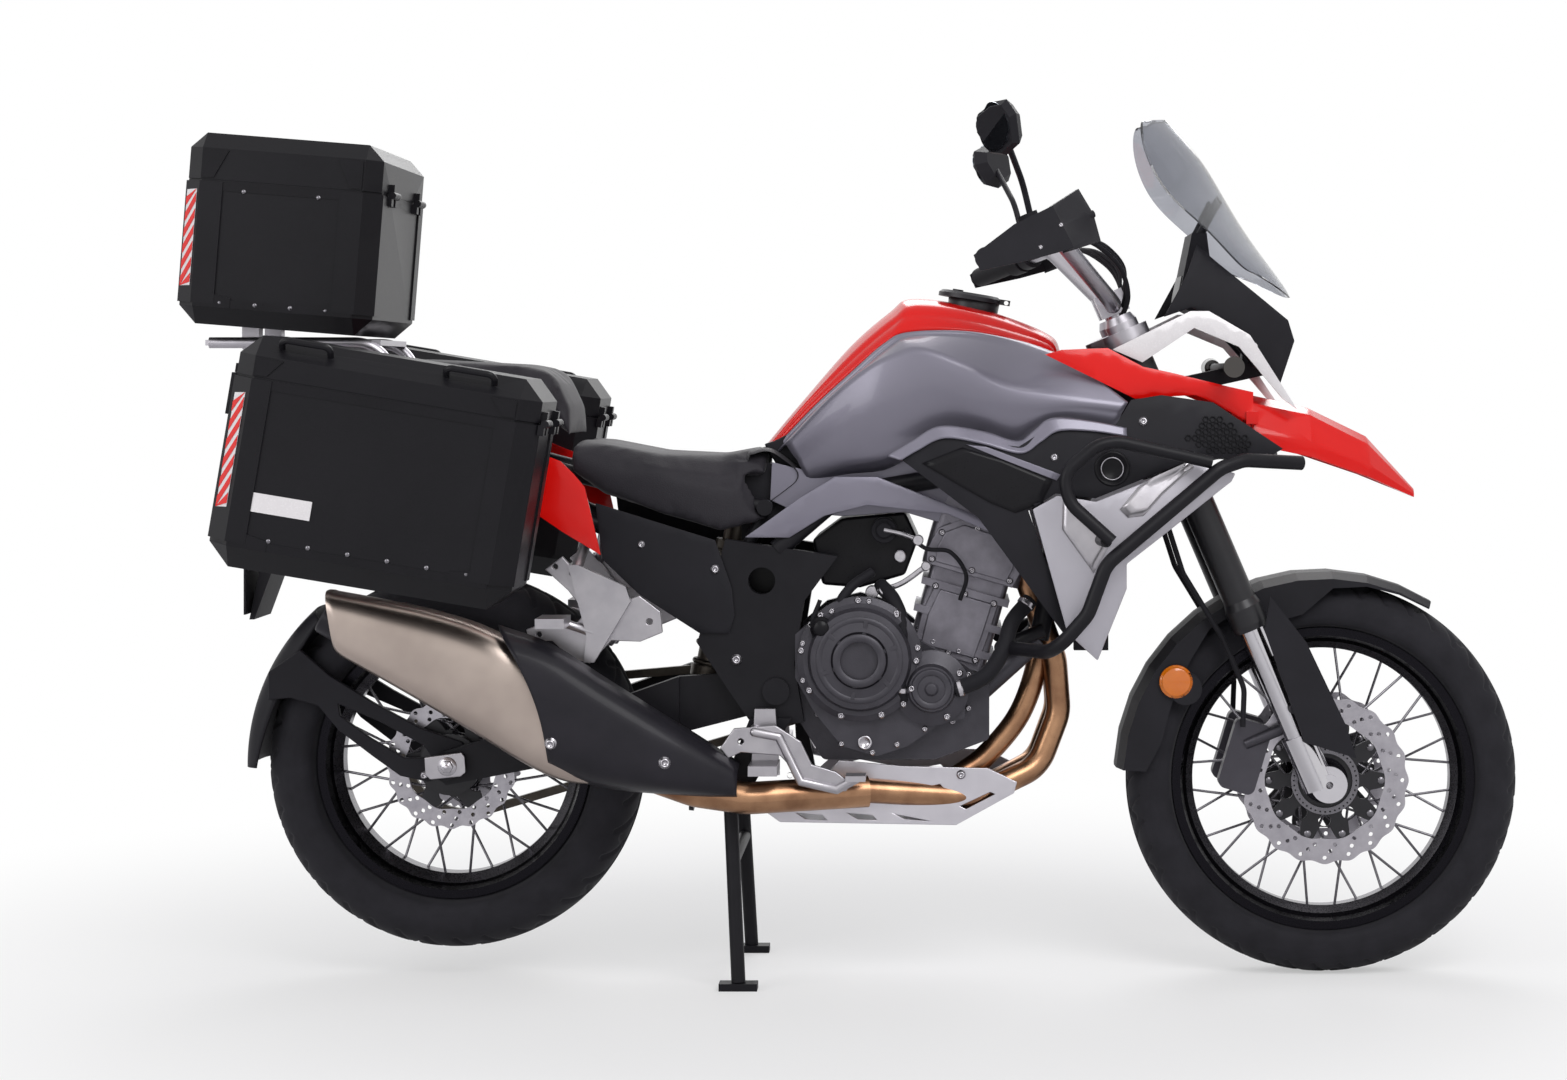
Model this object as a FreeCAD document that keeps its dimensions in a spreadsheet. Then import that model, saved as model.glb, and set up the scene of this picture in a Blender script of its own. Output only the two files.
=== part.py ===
import FreeCAD, Part
import math
import os
import Sketcher
from FreeCAD import Placement, Rotation, Vector

# Adventure motorcycle with a tubular frame, wire wheels and three aluminium cases.
# Millimetres. +X is forward, +Y is the rider's left and +Z is up. The origin is on the
# ground, below the middle of the machine. It stands upright on its centre stand.

doc = FreeCAD.newDocument("AdventureMotorcycle")
sheet = doc.addObject("Spreadsheet::Sheet", "Sizes")
SIDES = (-1, 1)
row_number = 0


def sizes(heading, **lengths):
    """Writes one block of named lengths into the sheet."""
    global row_number
    row_number += 1
    sheet.set(f"A{row_number}", heading)
    for name, value in lengths.items():
        row_number += 1
        sheet.set(f"A{row_number}", name)
        sheet.set(f"B{row_number}", str(value))
        sheet.setAlias(f"B{row_number}", name)
    doc.recompute()


class SheetReader:
    """Gives the sheet's named lengths as attributes."""

    def __getattr__(self, name):
        return float(sheet.get(name))


s = SheetReader()


def bind(thing, **expressions):
    """Binds properties of a document object to expressions in the sheet's names."""
    for name, expression in expressions.items():
        thing.setExpression(name.replace("__", "."), expression)
    return thing


def piece(label, shape, place=None):
    """Adds one sub-part whose shape follows the sheet, and puts it in its place."""
    part = doc.addObject("Part::Feature", label)
    part.Label = label
    part.Shape = shape
    if place:
        part.Placement = place
    return part


def profile(body, role, points):
    """Draws a closed outline on a body's origin plane. Each point is a pair of expressions."""
    plane = next(item for item in body.Origin.OriginFeatures if item.Role == role)
    sketch = body.newObject("Sketcher::SketchObject", body.Label + "_outline")
    sketch.AttachmentSupport = [(plane, "")]
    sketch.MapMode = "FlatFace"
    count = len(points)
    turns = [2 * math.pi * index / count for index in range(count)]
    corners = [Vector(s.front_tyre_radius, 0, 0) + Vector(math.cos(a), math.sin(a), 0) for a in turns]
    for index, corner in enumerate(corners):
        sketch.addGeometry(Part.LineSegment(corner, corners[(index + 1) % count]), False)
    for index, (across, up) in enumerate(points):
        after = (index + 1) % count
        sketch.addConstraint(Sketcher.Constraint("Coincident", index, 2, after, 1))
        for kind, text, value in (("DistanceX", across, corners[index].x), ("DistanceY", up, corners[index].y)):
            number = sketch.addConstraint(Sketcher.Constraint(kind, -1, 1, index, 1, value))
            sketch.setExpression(f"Constraints[{number}]", text)
    return sketch


def turned_body(label, points, place):
    """A body turned about its own Z axis from an outline of radius and height."""
    body = doc.addObject("PartDesign::Body", label)
    body.Label = label
    sketch = profile(body, "XZ_Plane", points)
    turn = body.newObject("PartDesign::Revolution", label + "_turn")
    turn.Profile = sketch
    turn.ReferenceAxis = (sketch, ["V_Axis"])
    turn.Angle = 360
    body.Placement = place
    doc.recompute()
    return body


def local(points, origin_x, origin_z, length, height):
    """Turns shares of a length and a height into points of a side view."""
    return [(origin_x + across * length, origin_z + up * height) for across, up in points]


def plate(points, near, far):
    """A flat plate with a side-view outline, from one distance off the middle to another."""
    corners = [Vector(x, near, z) for x, z in points]
    face = Part.Face(Part.makePolygon(corners + corners[:1]))
    return face.extrude(Vector(0, far - near, 0))


def rod(start, end, radius):
    """A round bar between two points."""
    run = Vector(*end) - Vector(*start)
    return Part.makeCylinder(radius, run.Length, Vector(*start), run)


def block(low, high):
    """A box between two corners."""
    size = Vector(*high) - Vector(*low)
    return Part.makeBox(size.x, size.y, size.z, Vector(*low))


def tube_path(points, bend):
    """Straight runs joined by tangent arcs of one bend radius, or less where a run is short."""
    corners = [Vector(*point) for point in points]
    edges = []
    last = corners[0]
    for before, corner, after in zip(corners, corners[1:], corners[2:]):
        back = (before - corner).normalize()
        ahead = (after - corner).normalize()
        half_turn = (math.pi - back.getAngle(ahead)) / 2
        shortest = min((before - corner).Length, (after - corner).Length)
        setback = min(bend * math.tan(half_turn), BEND_SHARE * shortest)
        first = corner + back * setback
        final = corner + ahead * setback
        radius = setback / math.tan(half_turn)
        inward = (back + ahead).normalize()
        middle = corner + inward * (radius / math.cos(half_turn) - radius)
        edges.append(Part.LineSegment(last, first).toShape())
        edges.append(Part.Arc(first, middle, final).toShape())
        last = final
    edges.append(Part.LineSegment(last, corners[-1]).toShape())
    return Part.Wire(edges)


BEND_SHARE = 0.48


def bent_tube(points, radius, bend):
    """A round tube along straight runs and tangent arcs."""
    path = tube_path(points, bend)
    start = Vector(*points[0])
    run = Vector(*points[1]) - start
    ring = Part.Wire([Part.makeCircle(radius, start, run)])
    return path.makePipeShell([ring], True, True)


def loft(sections, ruled=True):
    """A solid through closed outlines that have the same number of points."""
    wires = []
    for section in sections:
        corners = [Vector(*point) for point in section]
        wires.append(Part.makePolygon(corners + corners[:1]))
    return Part.makeLoft(wires, True, ruled)


def full_width(half):
    """Closes one half of a cross-section, listed from the top down, with its mirror image."""
    return half + [(x, -y, z) for x, y, z in reversed(half)]


def mirrored(shape):
    """The same shape on the other side of the machine."""
    return shape.mirror(Vector(0, 0, 0), Vector(0, 1, 0))


def trimmed(shape, *labels):
    """The shape cut back to the sub-parts named, without the offcuts."""
    for label in labels:
        shape = shape.cut(doc.getObject(label).Shape)
    return max(shape.Solids, key=lambda solid: solid.Volume)


def both(shape):
    """The shape and its mirror image, as solids that do not touch."""
    return Part.makeCompound([shape, mirrored(shape)])


def joined(shapes):
    """Several shapes welded into one."""
    whole = shapes[0].fuse(shapes[1:])
    return whole.removeSplitter()


sizes("Wheels and steering head",
      wheelbase=1438, front_axle_forward=764, front_tyre_radius=325, front_tyre_width=120,
      rear_tyre_radius=312, rear_tyre_width=160, rear_axle_height=354,
      front_bead_radius=241, rear_bead_radius=216, rim_depth=22, rim_lip=9,
      front_rim_width=74, rear_rim_width=100, tyre_gap=0.4,
      hub_radius=34, hub_flange_radius=52, hub_flange_thickness=6,
      front_hub_width=128, rear_hub_width=150, front_bore_radius=12, rear_bore_radius=14,
      spoke_radius=2.2, head_forward=525, head_height=764, fork_offset=32, rake_degrees=23.2,
      cut_overrun=2, seat_gap=0.3, seat_top_height=883)

front_axle = Vector(s.front_axle_forward, 0, s.front_tyre_radius)
rear_axle = Vector(s.front_axle_forward - s.wheelbase, 0, s.rear_axle_height)
steering_place = Placement(Vector(s.head_forward, 0, s.head_height),
                           Rotation(Vector(0, 1, 0), -s.rake_degrees))
wheel_turn = Rotation(Vector(1, 0, 0), -90)
TYRE_SECTION_SHARES = ((0.0, 0.30), (0.115, 0.30), (0.19, 0.46), (0.45, 0.50), (0.70, 0.46), (0.86, 0.36), (0.96, 0.20), (1.0, 0.0))


def tyre(end):
    """A tubeless tyre: a rounded carcass from one bead to the other, open at the rim."""
    bead = f"Sizes.{end}_bead_radius"
    reach = f"(Sizes.{end}_tyre_radius - {bead})"
    width = f"Sizes.{end}_tyre_width"
    outer = [(f"{bead} + Sizes.tyre_gap + {up} * {reach} - {up} * Sizes.tyre_gap", f"{side} * {width}")
             for up, side in TYRE_SECTION_SHARES]
    mirror = [(across, f"-1 * ({up})") for across, up in reversed(outer[:-1])]
    inner = [(f"{bead} + Sizes.tyre_gap + 0.3 * {reach}", f"-0.22 * {width}"),
             (f"{bead} + Sizes.tyre_gap + 0.3 * {reach}", f"0.22 * {width}")]
    axle = front_axle if end == "front" else rear_axle
    return turned_body(f"{end}_tyre", outer + mirror + inner, Placement(axle, wheel_turn))


SPOKES_PER_SIDE = 16


def wire_wheel(end, axle):
    """Rim, hub and crossed spokes of one wheel, welded as one piece. Its own axis is Z."""
    bead = getattr(s, f"{end}_bead_radius")
    half_rim = getattr(s, f"{end}_rim_width") / 2
    half_hub = getattr(s, f"{end}_hub_width") / 2
    bore = getattr(s, f"{end}_bore_radius")
    well = bead - s.rim_depth
    half = ((bead + s.rim_lip, half_rim + s.rim_lip / 2), (bead + s.rim_lip, half_rim),
            (bead, half_rim), (bead, half_rim / 2), (well, half_rim / 3))
    inner = ((well - s.rim_lip / 2, half_rim / 3), (bead - s.rim_lip, half_rim * 0.8),
             (bead - s.rim_lip / 2, half_rim + s.rim_lip / 2))
    outline = list(half) + [(r, -z) for r, z in reversed(half)]
    outline += [(r, -z) for r, z in reversed(inner)] + list(inner)
    shapes = [turned(outline)]
    hub = [(bore, -half_hub), (s.hub_flange_radius * 0.7, -half_hub),
           (s.hub_flange_radius * 0.7, -half_hub + s.hub_flange_thickness)]
    flange = half_hub - 2 * s.hub_flange_thickness
    hub = [(bore, -half_hub), (s.hub_radius, -half_hub), (s.hub_radius, -flange - s.hub_flange_thickness),
           (s.hub_flange_radius, -flange - s.hub_flange_thickness), (s.hub_flange_radius, -flange),
           (s.hub_radius, -flange), (s.hub_radius * 0.8, 0), (s.hub_radius, flange),
           (s.hub_flange_radius, flange), (s.hub_flange_radius, flange + s.hub_flange_thickness),
           (s.hub_radius, flange + s.hub_flange_thickness), (s.hub_radius, half_hub), (bore, half_hub)]
    shapes.append(turned(hub))
    seat = s.hub_flange_radius - s.hub_flange_thickness
    for side in SIDES:
        for index in range(SPOKES_PER_SIDE):
            pair = index // 2
            lean = 1 if index % 2 else -1
            angle = 2 * math.pi * (2 * pair + (side + 1) / 2) / SPOKES_PER_SIDE + lean * SPOKE_SPREAD_SHARE
            foot = angle + lean * SPOKE_LEAN_SHARE * math.pi
            start = (seat * math.cos(foot), seat * math.sin(foot), side * (flange + s.hub_flange_thickness / 2))
            end_reach = well + s.rim_depth * 0.1
            end_point = (end_reach * math.cos(angle), end_reach * math.sin(angle), side * half_rim * 0.2)
            shapes.append(rod(start, end_point, s.spoke_radius))
    return piece(f"{end}_rim", joined(shapes), Placement(axle, wheel_turn))


SPOKE_SPREAD_SHARE = 0.1
SPOKE_LEAN_SHARE = 0.35


def turned(points):
    """A solid turned about Z from an outline of radius and height."""
    corners = [Vector(radius, 0, height) for radius, height in points]
    face = Part.Face(Part.makePolygon(corners + corners[:1]))
    return face.revolve(Vector(0, 0, 0), Vector(0, 0, 1), 360)


sizes("Brakes and drive",
      front_disc_radius=146, front_disc_bore=58, rear_disc_radius=112, disc_thickness=5,
      disc_vent_radius=5, disc_hub_gap=0.2, sprocket_radius=98, sprocket_thickness=7,
      chain_width=12, chain_depth=14, chain_offset=96, chain_clearance=0.6)
DISC_VENTS = 12


def brake_disc(radius, bore, height):
    """A drilled brake disc. It is a ring with a circle of round vents."""
    ring = turned([(bore, height), (radius, height), (radius, height + s.disc_thickness),
                   (bore, height + s.disc_thickness)])
    middle = (radius + bore) / 2
    vents = []
    for index in range(DISC_VENTS):
        angle = 2 * math.pi * index / DISC_VENTS
        reach = middle + (radius - bore) / 5 * (1 if index % 2 else -1)
        vents.append(Part.makeCylinder(
            s.disc_vent_radius * 2, s.disc_thickness + 2 * s.cut_overrun,
            Vector(reach * math.cos(angle), reach * math.sin(angle), height - s.cut_overrun)))
    return ring.cut(Part.makeCompound(vents))


def front_discs():
    """Two discs, one against each end of the front hub."""
    seat = s.front_hub_width / 2 - s.hub_flange_thickness + s.disc_hub_gap
    bore = s.hub_radius + s.disc_hub_gap
    upper = brake_disc(s.front_disc_radius, bore, seat)
    lower = brake_disc(s.front_disc_radius, bore, -seat - s.disc_thickness)
    return piece("front_discs", Part.makeCompound([upper, lower]), Placement(front_axle, wheel_turn))


def toothed_ring(radius, bore, height, thickness, teeth):
    """A sprocket: a ring with pointed teeth."""
    corners = []
    for index in range(2 * teeth):
        reach = radius if index % 2 else radius - s.chain_depth / 2
        angle = math.pi * index / teeth
        corners.append(Vector(reach * math.cos(angle), reach * math.sin(angle), height))
    face = Part.Face(Part.makePolygon(corners + corners[:1]))
    hole = Part.makeCylinder(bore, thickness + 2 * s.cut_overrun, Vector(0, 0, height - s.cut_overrun))
    return face.extrude(Vector(0, 0, thickness)).cut(hole)


SPROCKET_TEETH = 42


def rear_rotors():
    """The rear disc on the right end of the hub and the sprocket on the left end."""
    seat = s.rear_hub_width / 2 - s.hub_flange_thickness + s.disc_hub_gap
    bore = s.hub_radius + s.disc_hub_gap
    disc = brake_disc(s.rear_disc_radius, bore, -seat - s.disc_thickness)
    middle = s.chain_offset - s.sprocket_thickness / 2
    ring = toothed_ring(s.sprocket_radius, bore, middle, s.sprocket_thickness, SPROCKET_TEETH)
    carrier = turned([(bore, seat), (s.hub_flange_radius, seat), (s.hub_flange_radius, middle), (bore, middle)])
    return piece("rear_rotors", Part.makeCompound([disc, ring.fuse(carrier)]), Placement(rear_axle, wheel_turn))


tyre("front")
tyre("rear")
wire_wheel("front", front_axle)
wire_wheel("rear", rear_axle)
front_discs()
rear_rotors()


# Fork, handlebar and everything that turns with them. The local Z axis is the steering axis.
sizes("Fork",
      leg_spacing=105, stanchion_radius=21.5, upper_radius=27, upper_collar_radius=31,
      fork_top=340, upper_bottom=-178, collar_length=38, stanchion_bottom=-420,
      clamp_top=316, clamp_thickness=28, lower_clamp_top=106, lower_clamp_thickness=34,
      clamp_margin=12, stem_radius=15, head_tube_radius=31, head_clearance=1,
      axle_lead=14.7, lug_radius=30, lug_width=34, lug_top=-405, axle_radius=10,
      axle_drop=497.6, axle_nut_radius=17, axle_nut_width=6, fit_gap=0.3)


def clamp(top, thickness):
    """A fork clamp: two rings on the legs, joined by a web round the stem."""
    low = top - thickness
    ring = s.upper_radius + s.clamp_margin
    shapes = [Part.makeCylinder(ring, thickness, Vector(s.fork_offset, side * s.leg_spacing, low))
              for side in SIDES]
    shapes.append(Part.makeCylinder(s.head_tube_radius, thickness, Vector(0, 0, low)))
    edge = s.head_tube_radius * CLAMP_WAIST_SHARE
    web = [Vector(s.fork_offset + edge, -s.leg_spacing, low), Vector(s.fork_offset + edge, s.leg_spacing, low),
           Vector(s.fork_offset - ring, s.leg_spacing, low), Vector(-edge, 0, low),
           Vector(s.fork_offset - ring, -s.leg_spacing, low)]
    face = Part.Face(Part.makePolygon(web + web[:1]))
    shapes.append(face.extrude(Vector(0, 0, thickness)))
    return shapes


CLAMP_WAIST_SHARE = 0.9


def fork_uppers():
    """Both clamps, the stem and the two outer tubes with their caps and seal collars."""
    shapes = clamp(s.clamp_top, s.clamp_thickness) + clamp(s.lower_clamp_top, s.lower_clamp_thickness)
    shapes.append(Part.makeCylinder(s.stem_radius, s.clamp_top - s.lower_clamp_top + s.lower_clamp_thickness,
                                    Vector(0, 0, s.lower_clamp_top - s.lower_clamp_thickness)))
    collar_low = s.upper_bottom - s.collar_length
    outline = [(s.stanchion_radius, collar_low), (s.upper_collar_radius - s.fit_gap * 6, collar_low),
               (s.upper_collar_radius, collar_low + s.collar_length / 4),
               (s.upper_collar_radius, s.upper_bottom), (s.upper_radius, s.upper_bottom + s.collar_length / 3),
               (s.upper_radius, s.fork_top - s.clamp_margin), (s.stanchion_radius, s.fork_top),
               (s.stanchion_radius / 2, s.fork_top), (s.stanchion_radius / 2, s.fork_top - s.clamp_margin),
               (0, s.fork_top - s.clamp_margin), (0, s.upper_bottom + s.collar_length),
               (s.stanchion_radius, s.upper_bottom + s.collar_length)]
    for side in SIDES:
        leg = turned(outline)
        leg.translate(Vector(s.fork_offset, side * s.leg_spacing, 0))
        shapes.append(leg)
    return piece("fork_uppers", joined(shapes), steering_place)


def fork_lowers():
    """The chrome inner tubes, their axle lugs and the front axle across them."""
    shapes = []
    axle_forward = s.fork_offset + s.axle_lead
    for side in SIDES:
        top = s.upper_bottom + s.collar_length - s.fit_gap
        shapes.append(Part.makeCylinder(s.stanchion_radius - s.fit_gap / 10, top - s.stanchion_bottom,
                                        Vector(s.fork_offset, side * s.leg_spacing, s.stanchion_bottom)))
        inner = side * s.leg_spacing - s.lug_width / 2
        boss = Part.makeCylinder(s.lug_radius, s.lug_width, Vector(axle_forward, inner, -s.axle_drop),
                                 Vector(0, 1, 0))
        reach = s.stanchion_radius + s.clamp_margin / 2
        sleeve = Part.makeCone(s.lug_radius * 0.9, reach, s.lug_top + s.axle_drop,
                               Vector(s.fork_offset, side * s.leg_spacing, -s.axle_drop))
        shapes += [boss, sleeve]
    length = 2 * s.leg_spacing + s.lug_width + 2 * s.axle_nut_width
    shapes.append(Part.makeCylinder(s.axle_radius, length, Vector(axle_forward, -length / 2, -s.axle_drop),
                                    Vector(0, 1, 0)))
    for side in SIDES:
        start = side * (s.leg_spacing + s.lug_width / 2)
        shapes.append(Part.makeCylinder(s.axle_nut_radius, s.axle_nut_width,
                                        Vector(axle_forward, start, -s.axle_drop), Vector(0, side, 0)))
    spacer_end = s.leg_spacing - s.lug_width / 2
    for side in SIDES:
        start = side * (s.front_hub_width / 2 + s.seat_gap)
        shapes.append(Part.makeCylinder(s.axle_nut_radius, spacer_end - abs(start),
                                        Vector(axle_forward, start, -s.axle_drop), Vector(0, side, 0)))
    whole = joined(shapes)
    bore = Part.makeCylinder(s.axle_radius * 0.6, length + 12 * s.cut_overrun,
                             Vector(axle_forward, -length / 2 - 6 * s.cut_overrun, -s.axle_drop), Vector(0, 1, 0))
    return piece("fork_lowers", whole.cut(bore), steering_place)


sizes("Handlebar and controls",
      bar_radius=14, bar_end_radius=11, bar_bend=55, riser_radius=15, riser_spacing=46, riser_top=361,
      bar_reach=440, bar_sweep=52, grip_radius=17, grip_length=125, bar_rise=133, bar_centre_back=34,
      lever_thickness=7, mirror_spread=420, mirror_width=112, mirror_height=82, mirror_depth=26,
      mirror_rise=168, mirror_turn=32, stem_rod_radius=5, guard_height=72, guard_length=150, guard_bulge=132,
      guard_wall=6)
GRIP_BACK_SHARE = 3.3
BAR_KNEE_SHARE = 0.9


def bar_points():
    """The handlebar's route in the steering frame, from the left end to the right end."""
    half = [(0, s.riser_spacing * 2, 0),
            (-s.bar_sweep * BAR_KNEE_SHARE, s.bar_reach * 0.5, s.bar_rise),
            (-s.bar_sweep * GRIP_BACK_SHARE, s.bar_reach, s.bar_rise * 1.06)]
    centre = Vector(s.bar_centre_back, 0, s.riser_top)
    right = [tuple(Vector(x, -y, z) + centre) for x, y, z in half]
    left = [tuple(Vector(x, y, z) + centre) for x, y, z in reversed(half)]
    return left + right


def handlebar():
    """A tapered silver bar with its two risers and clamp caps."""
    shapes = [bent_tube(bar_points(), s.bar_radius, s.bar_bend)]
    for side in SIDES:
        foot = (s.bar_centre_back, side * s.riser_spacing, s.clamp_top + s.seat_gap)
        head = (s.bar_centre_back, side * s.riser_spacing, s.riser_top)
        shapes.append(rod(foot, head, s.riser_radius))
        near = (s.bar_centre_back - s.riser_radius * 1.6, side * s.riser_spacing - s.riser_radius * 1.15,
                s.riser_top - s.bar_radius * 1.2)
        far = (s.bar_centre_back + s.riser_radius * 1.6, side * s.riser_spacing + s.riser_radius * 1.15,
               s.riser_top + s.bar_radius * 1.5)
        shapes.append(block(near, far))
    return piece("handlebar", joined(shapes), steering_place)


def along_grip(share, lift=0, ahead=0):
    """A point on the right-hand grip, from its inner end (0) to the bar end (1)."""
    inner, outer = [Vector(*point) for point in bar_points()[-2:]]
    run = (outer - inner).normalize()
    return outer - run * (s.grip_length * (1 - share)) + Vector(ahead, 0, lift)


def hand_controls():
    """Grips, switch blocks, master cylinders and levers on both sides."""
    inner = along_grip(0)
    outer = along_grip(1)
    switch = along_grip(-0.32)
    run = (outer - inner).normalize()
    sleeve = Part.makeCylinder(s.grip_radius, s.grip_length, inner, run)
    shapes = [sleeve.cut(Part.makeCylinder(s.bar_radius + s.fit_gap, s.grip_length, inner, run))]
    housing = Part.makeCylinder(s.grip_radius * 1.35, s.grip_length * 0.3, switch, run)
    shapes.append(housing.cut(Part.makeCylinder(s.bar_radius + s.fit_gap, s.grip_length, switch, run)))
    root = along_grip(-0.25, 0, s.grip_radius * 2.2)
    tip = along_grip(0.95, -s.grip_radius * 0.4, s.grip_radius * 2.2)
    shapes.append(rod(along_grip(-0.17, 0, s.grip_radius), root, s.lever_thickness))
    shapes.append(rod(root, along_grip(0.1, 0, s.grip_radius * 2.4), s.lever_thickness * 0.8))
    shapes.append(rod(along_grip(0.1, 0, s.grip_radius * 2.4), tip, s.lever_thickness * 0.8))
    shapes.append(Part.makeSphere(s.lever_thickness, tip))
    shapes.append(Part.makeSphere(s.lever_thickness * 0.8, along_grip(0.1, 0, s.grip_radius * 2.4)))
    cup = along_grip(-0.2, s.grip_radius * 0.8, s.grip_radius * 0.9)
    shapes.append(Part.makeCylinder(s.grip_radius, s.grip_radius * 2, cup))
    side = joined(shapes)
    side.Placement = steering_place
    controls = side.cut(doc.getObject("handlebar").Shape)
    return piece("hand_controls", both(controls))


def hand_guards():
    """Wrap-round guards: a curved shell in front of each grip, held at the bar end and by an arm."""
    end = along_grip(1)
    grid = []
    for across, bulge, high, low in ((-0.06, 0.9, 0.45, 0.55), (0.45, 1.22, 0.62, 0.60),
                                     (0.80, 1.0, 0.58, 0.55), (1.0, 0.72, 0.42, 0.42)):
        y = end.y + across * s.guard_length
        x = end.x + bulge * s.guard_bulge + across * s.guard_length * GUARD_SLOPE_SHARE
        grid.append([(x, y, end.z + high * s.guard_height), (x + s.guard_wall, y, end.z),
                     (x, y, end.z - low * s.guard_height),
                     (x - s.guard_wall, y, end.z - low * s.guard_height),
                     (x - s.guard_wall / 2, y, end.z), (x - s.guard_wall, y, end.z + high * s.guard_height)])
    shell = loft(grid)
    cap_out = end + Vector(0, -s.guard_wall * 2, 0)
    cap = rod(tuple(cap_out), tuple(end + Vector(0, -s.guard_wall * 0.9, 0)), s.grip_radius)
    arm = rod(tuple(cap_out + Vector(0, s.guard_wall, 0)), tuple(Vector(*grid[1][1])), s.guard_wall)
    inner_seat = along_grip(-0.62)
    stay = rod(tuple(Vector(*grid[2][1])), tuple(inner_seat), s.guard_wall)
    run = (end - inner_seat).normalize()
    bar = Part.makeCylinder(s.bar_radius + s.fit_gap * 2, s.grip_radius * 4, inner_seat - run * s.grip_radius * 2, run)
    stay = max(stay.cut(bar).Solids, key=lambda solid: solid.Volume)
    cheek = [(end.x + along * s.guard_bulge, end.z + up * s.guard_height) for along, up in GUARD_CHEEK_SHARES]
    side_wall = plate(cheek, end.y - s.guard_wall * 2.6, end.y - s.guard_wall * 1.15)
    whole = joined([shell, cap, arm, stay, side_wall])
    whole.Placement = steering_place
    return piece("hand_guards", both(trimmed(whole, "handlebar", "hand_controls", "mirrors")))


GUARD_SLOPE_SHARE = 0.22
GUARD_CHEEK_SHARES = ((-0.12, 0.16), (0.45, 0.42), (0.94, 0.46), (0.98, -0.54), (0.50, -0.42), (-0.12, -0.20))


def mirrors():
    """Two mirrors. Each has a slim stem from its clamp and a rounded five-sided head."""
    foot = along_grip(-0.45, s.bar_radius * 0.9, 0)
    centre = Vector(foot.x + s.mirror_width * 0.11, -s.mirror_spread, foot.z + s.mirror_rise)
    knee = Vector(foot.x + s.bar_radius, foot.y - s.grip_radius, foot.z + s.mirror_rise * 0.5)
    clamp_ring = Part.makeCylinder(s.bar_radius + s.stem_rod_radius * 1.4, s.grip_radius * 1.4,
                                   along_grip(-0.55), (along_grip(1) - along_grip(0)))
    clamp_ring = clamp_ring.cut(Part.makeCylinder(s.bar_radius + s.fit_gap, s.grip_radius * 3,
                                                  along_grip(-0.6), (along_grip(1) - along_grip(0))))
    stem = bent_tube([tuple(foot), tuple(knee), tuple(centre)], s.stem_rod_radius, s.bar_bend)
    outlines = []
    turn = math.radians(s.mirror_turn)
    for depth_share, scale_share in ((-0.5, 0.86), (-0.15, 1.0), (0.5, 0.7)):
        ring = []
        for across, up in MIRROR_SHARES:
            out = depth_share * s.mirror_depth
            wide = across * s.mirror_width * scale_share
            ring.append((centre.x + out * math.cos(turn) - wide * math.sin(turn),
                         centre.y + out * math.sin(turn) + wide * math.cos(turn),
                         centre.z + up * s.mirror_height * scale_share))
        outlines.append(ring)
    head = loft(outlines)
    whole = joined([clamp_ring, stem, head])
    whole.Placement = steering_place
    return piece("mirrors", both(trimmed(whole, "handlebar", "hand_controls")))


MIRROR_SHARES = ((-0.5, 0.1), (-0.42, 0.42), (-0.1, 0.5), (0.35, 0.44), (0.5, 0.15), (0.4, -0.35),
                 (0.1, -0.5), (-0.3, -0.42))

sizes("Front fender and brakes",
      fender_gap=20, fender_wall=4, fender_half_width=74, fender_skirt=62, fender_front_degrees=58,
      fender_rear_degrees=177, guard_plate_thickness=4, guard_boss_radius=8, guard_plate_offset=136,
      reflector_radius=27, reflector_thickness=8, caliper_length=118, caliper_height=62,
      caliper_thickness=34, hose_radius=4.5, hose_spacing=90)
FENDER_STATIONS = 13


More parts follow.
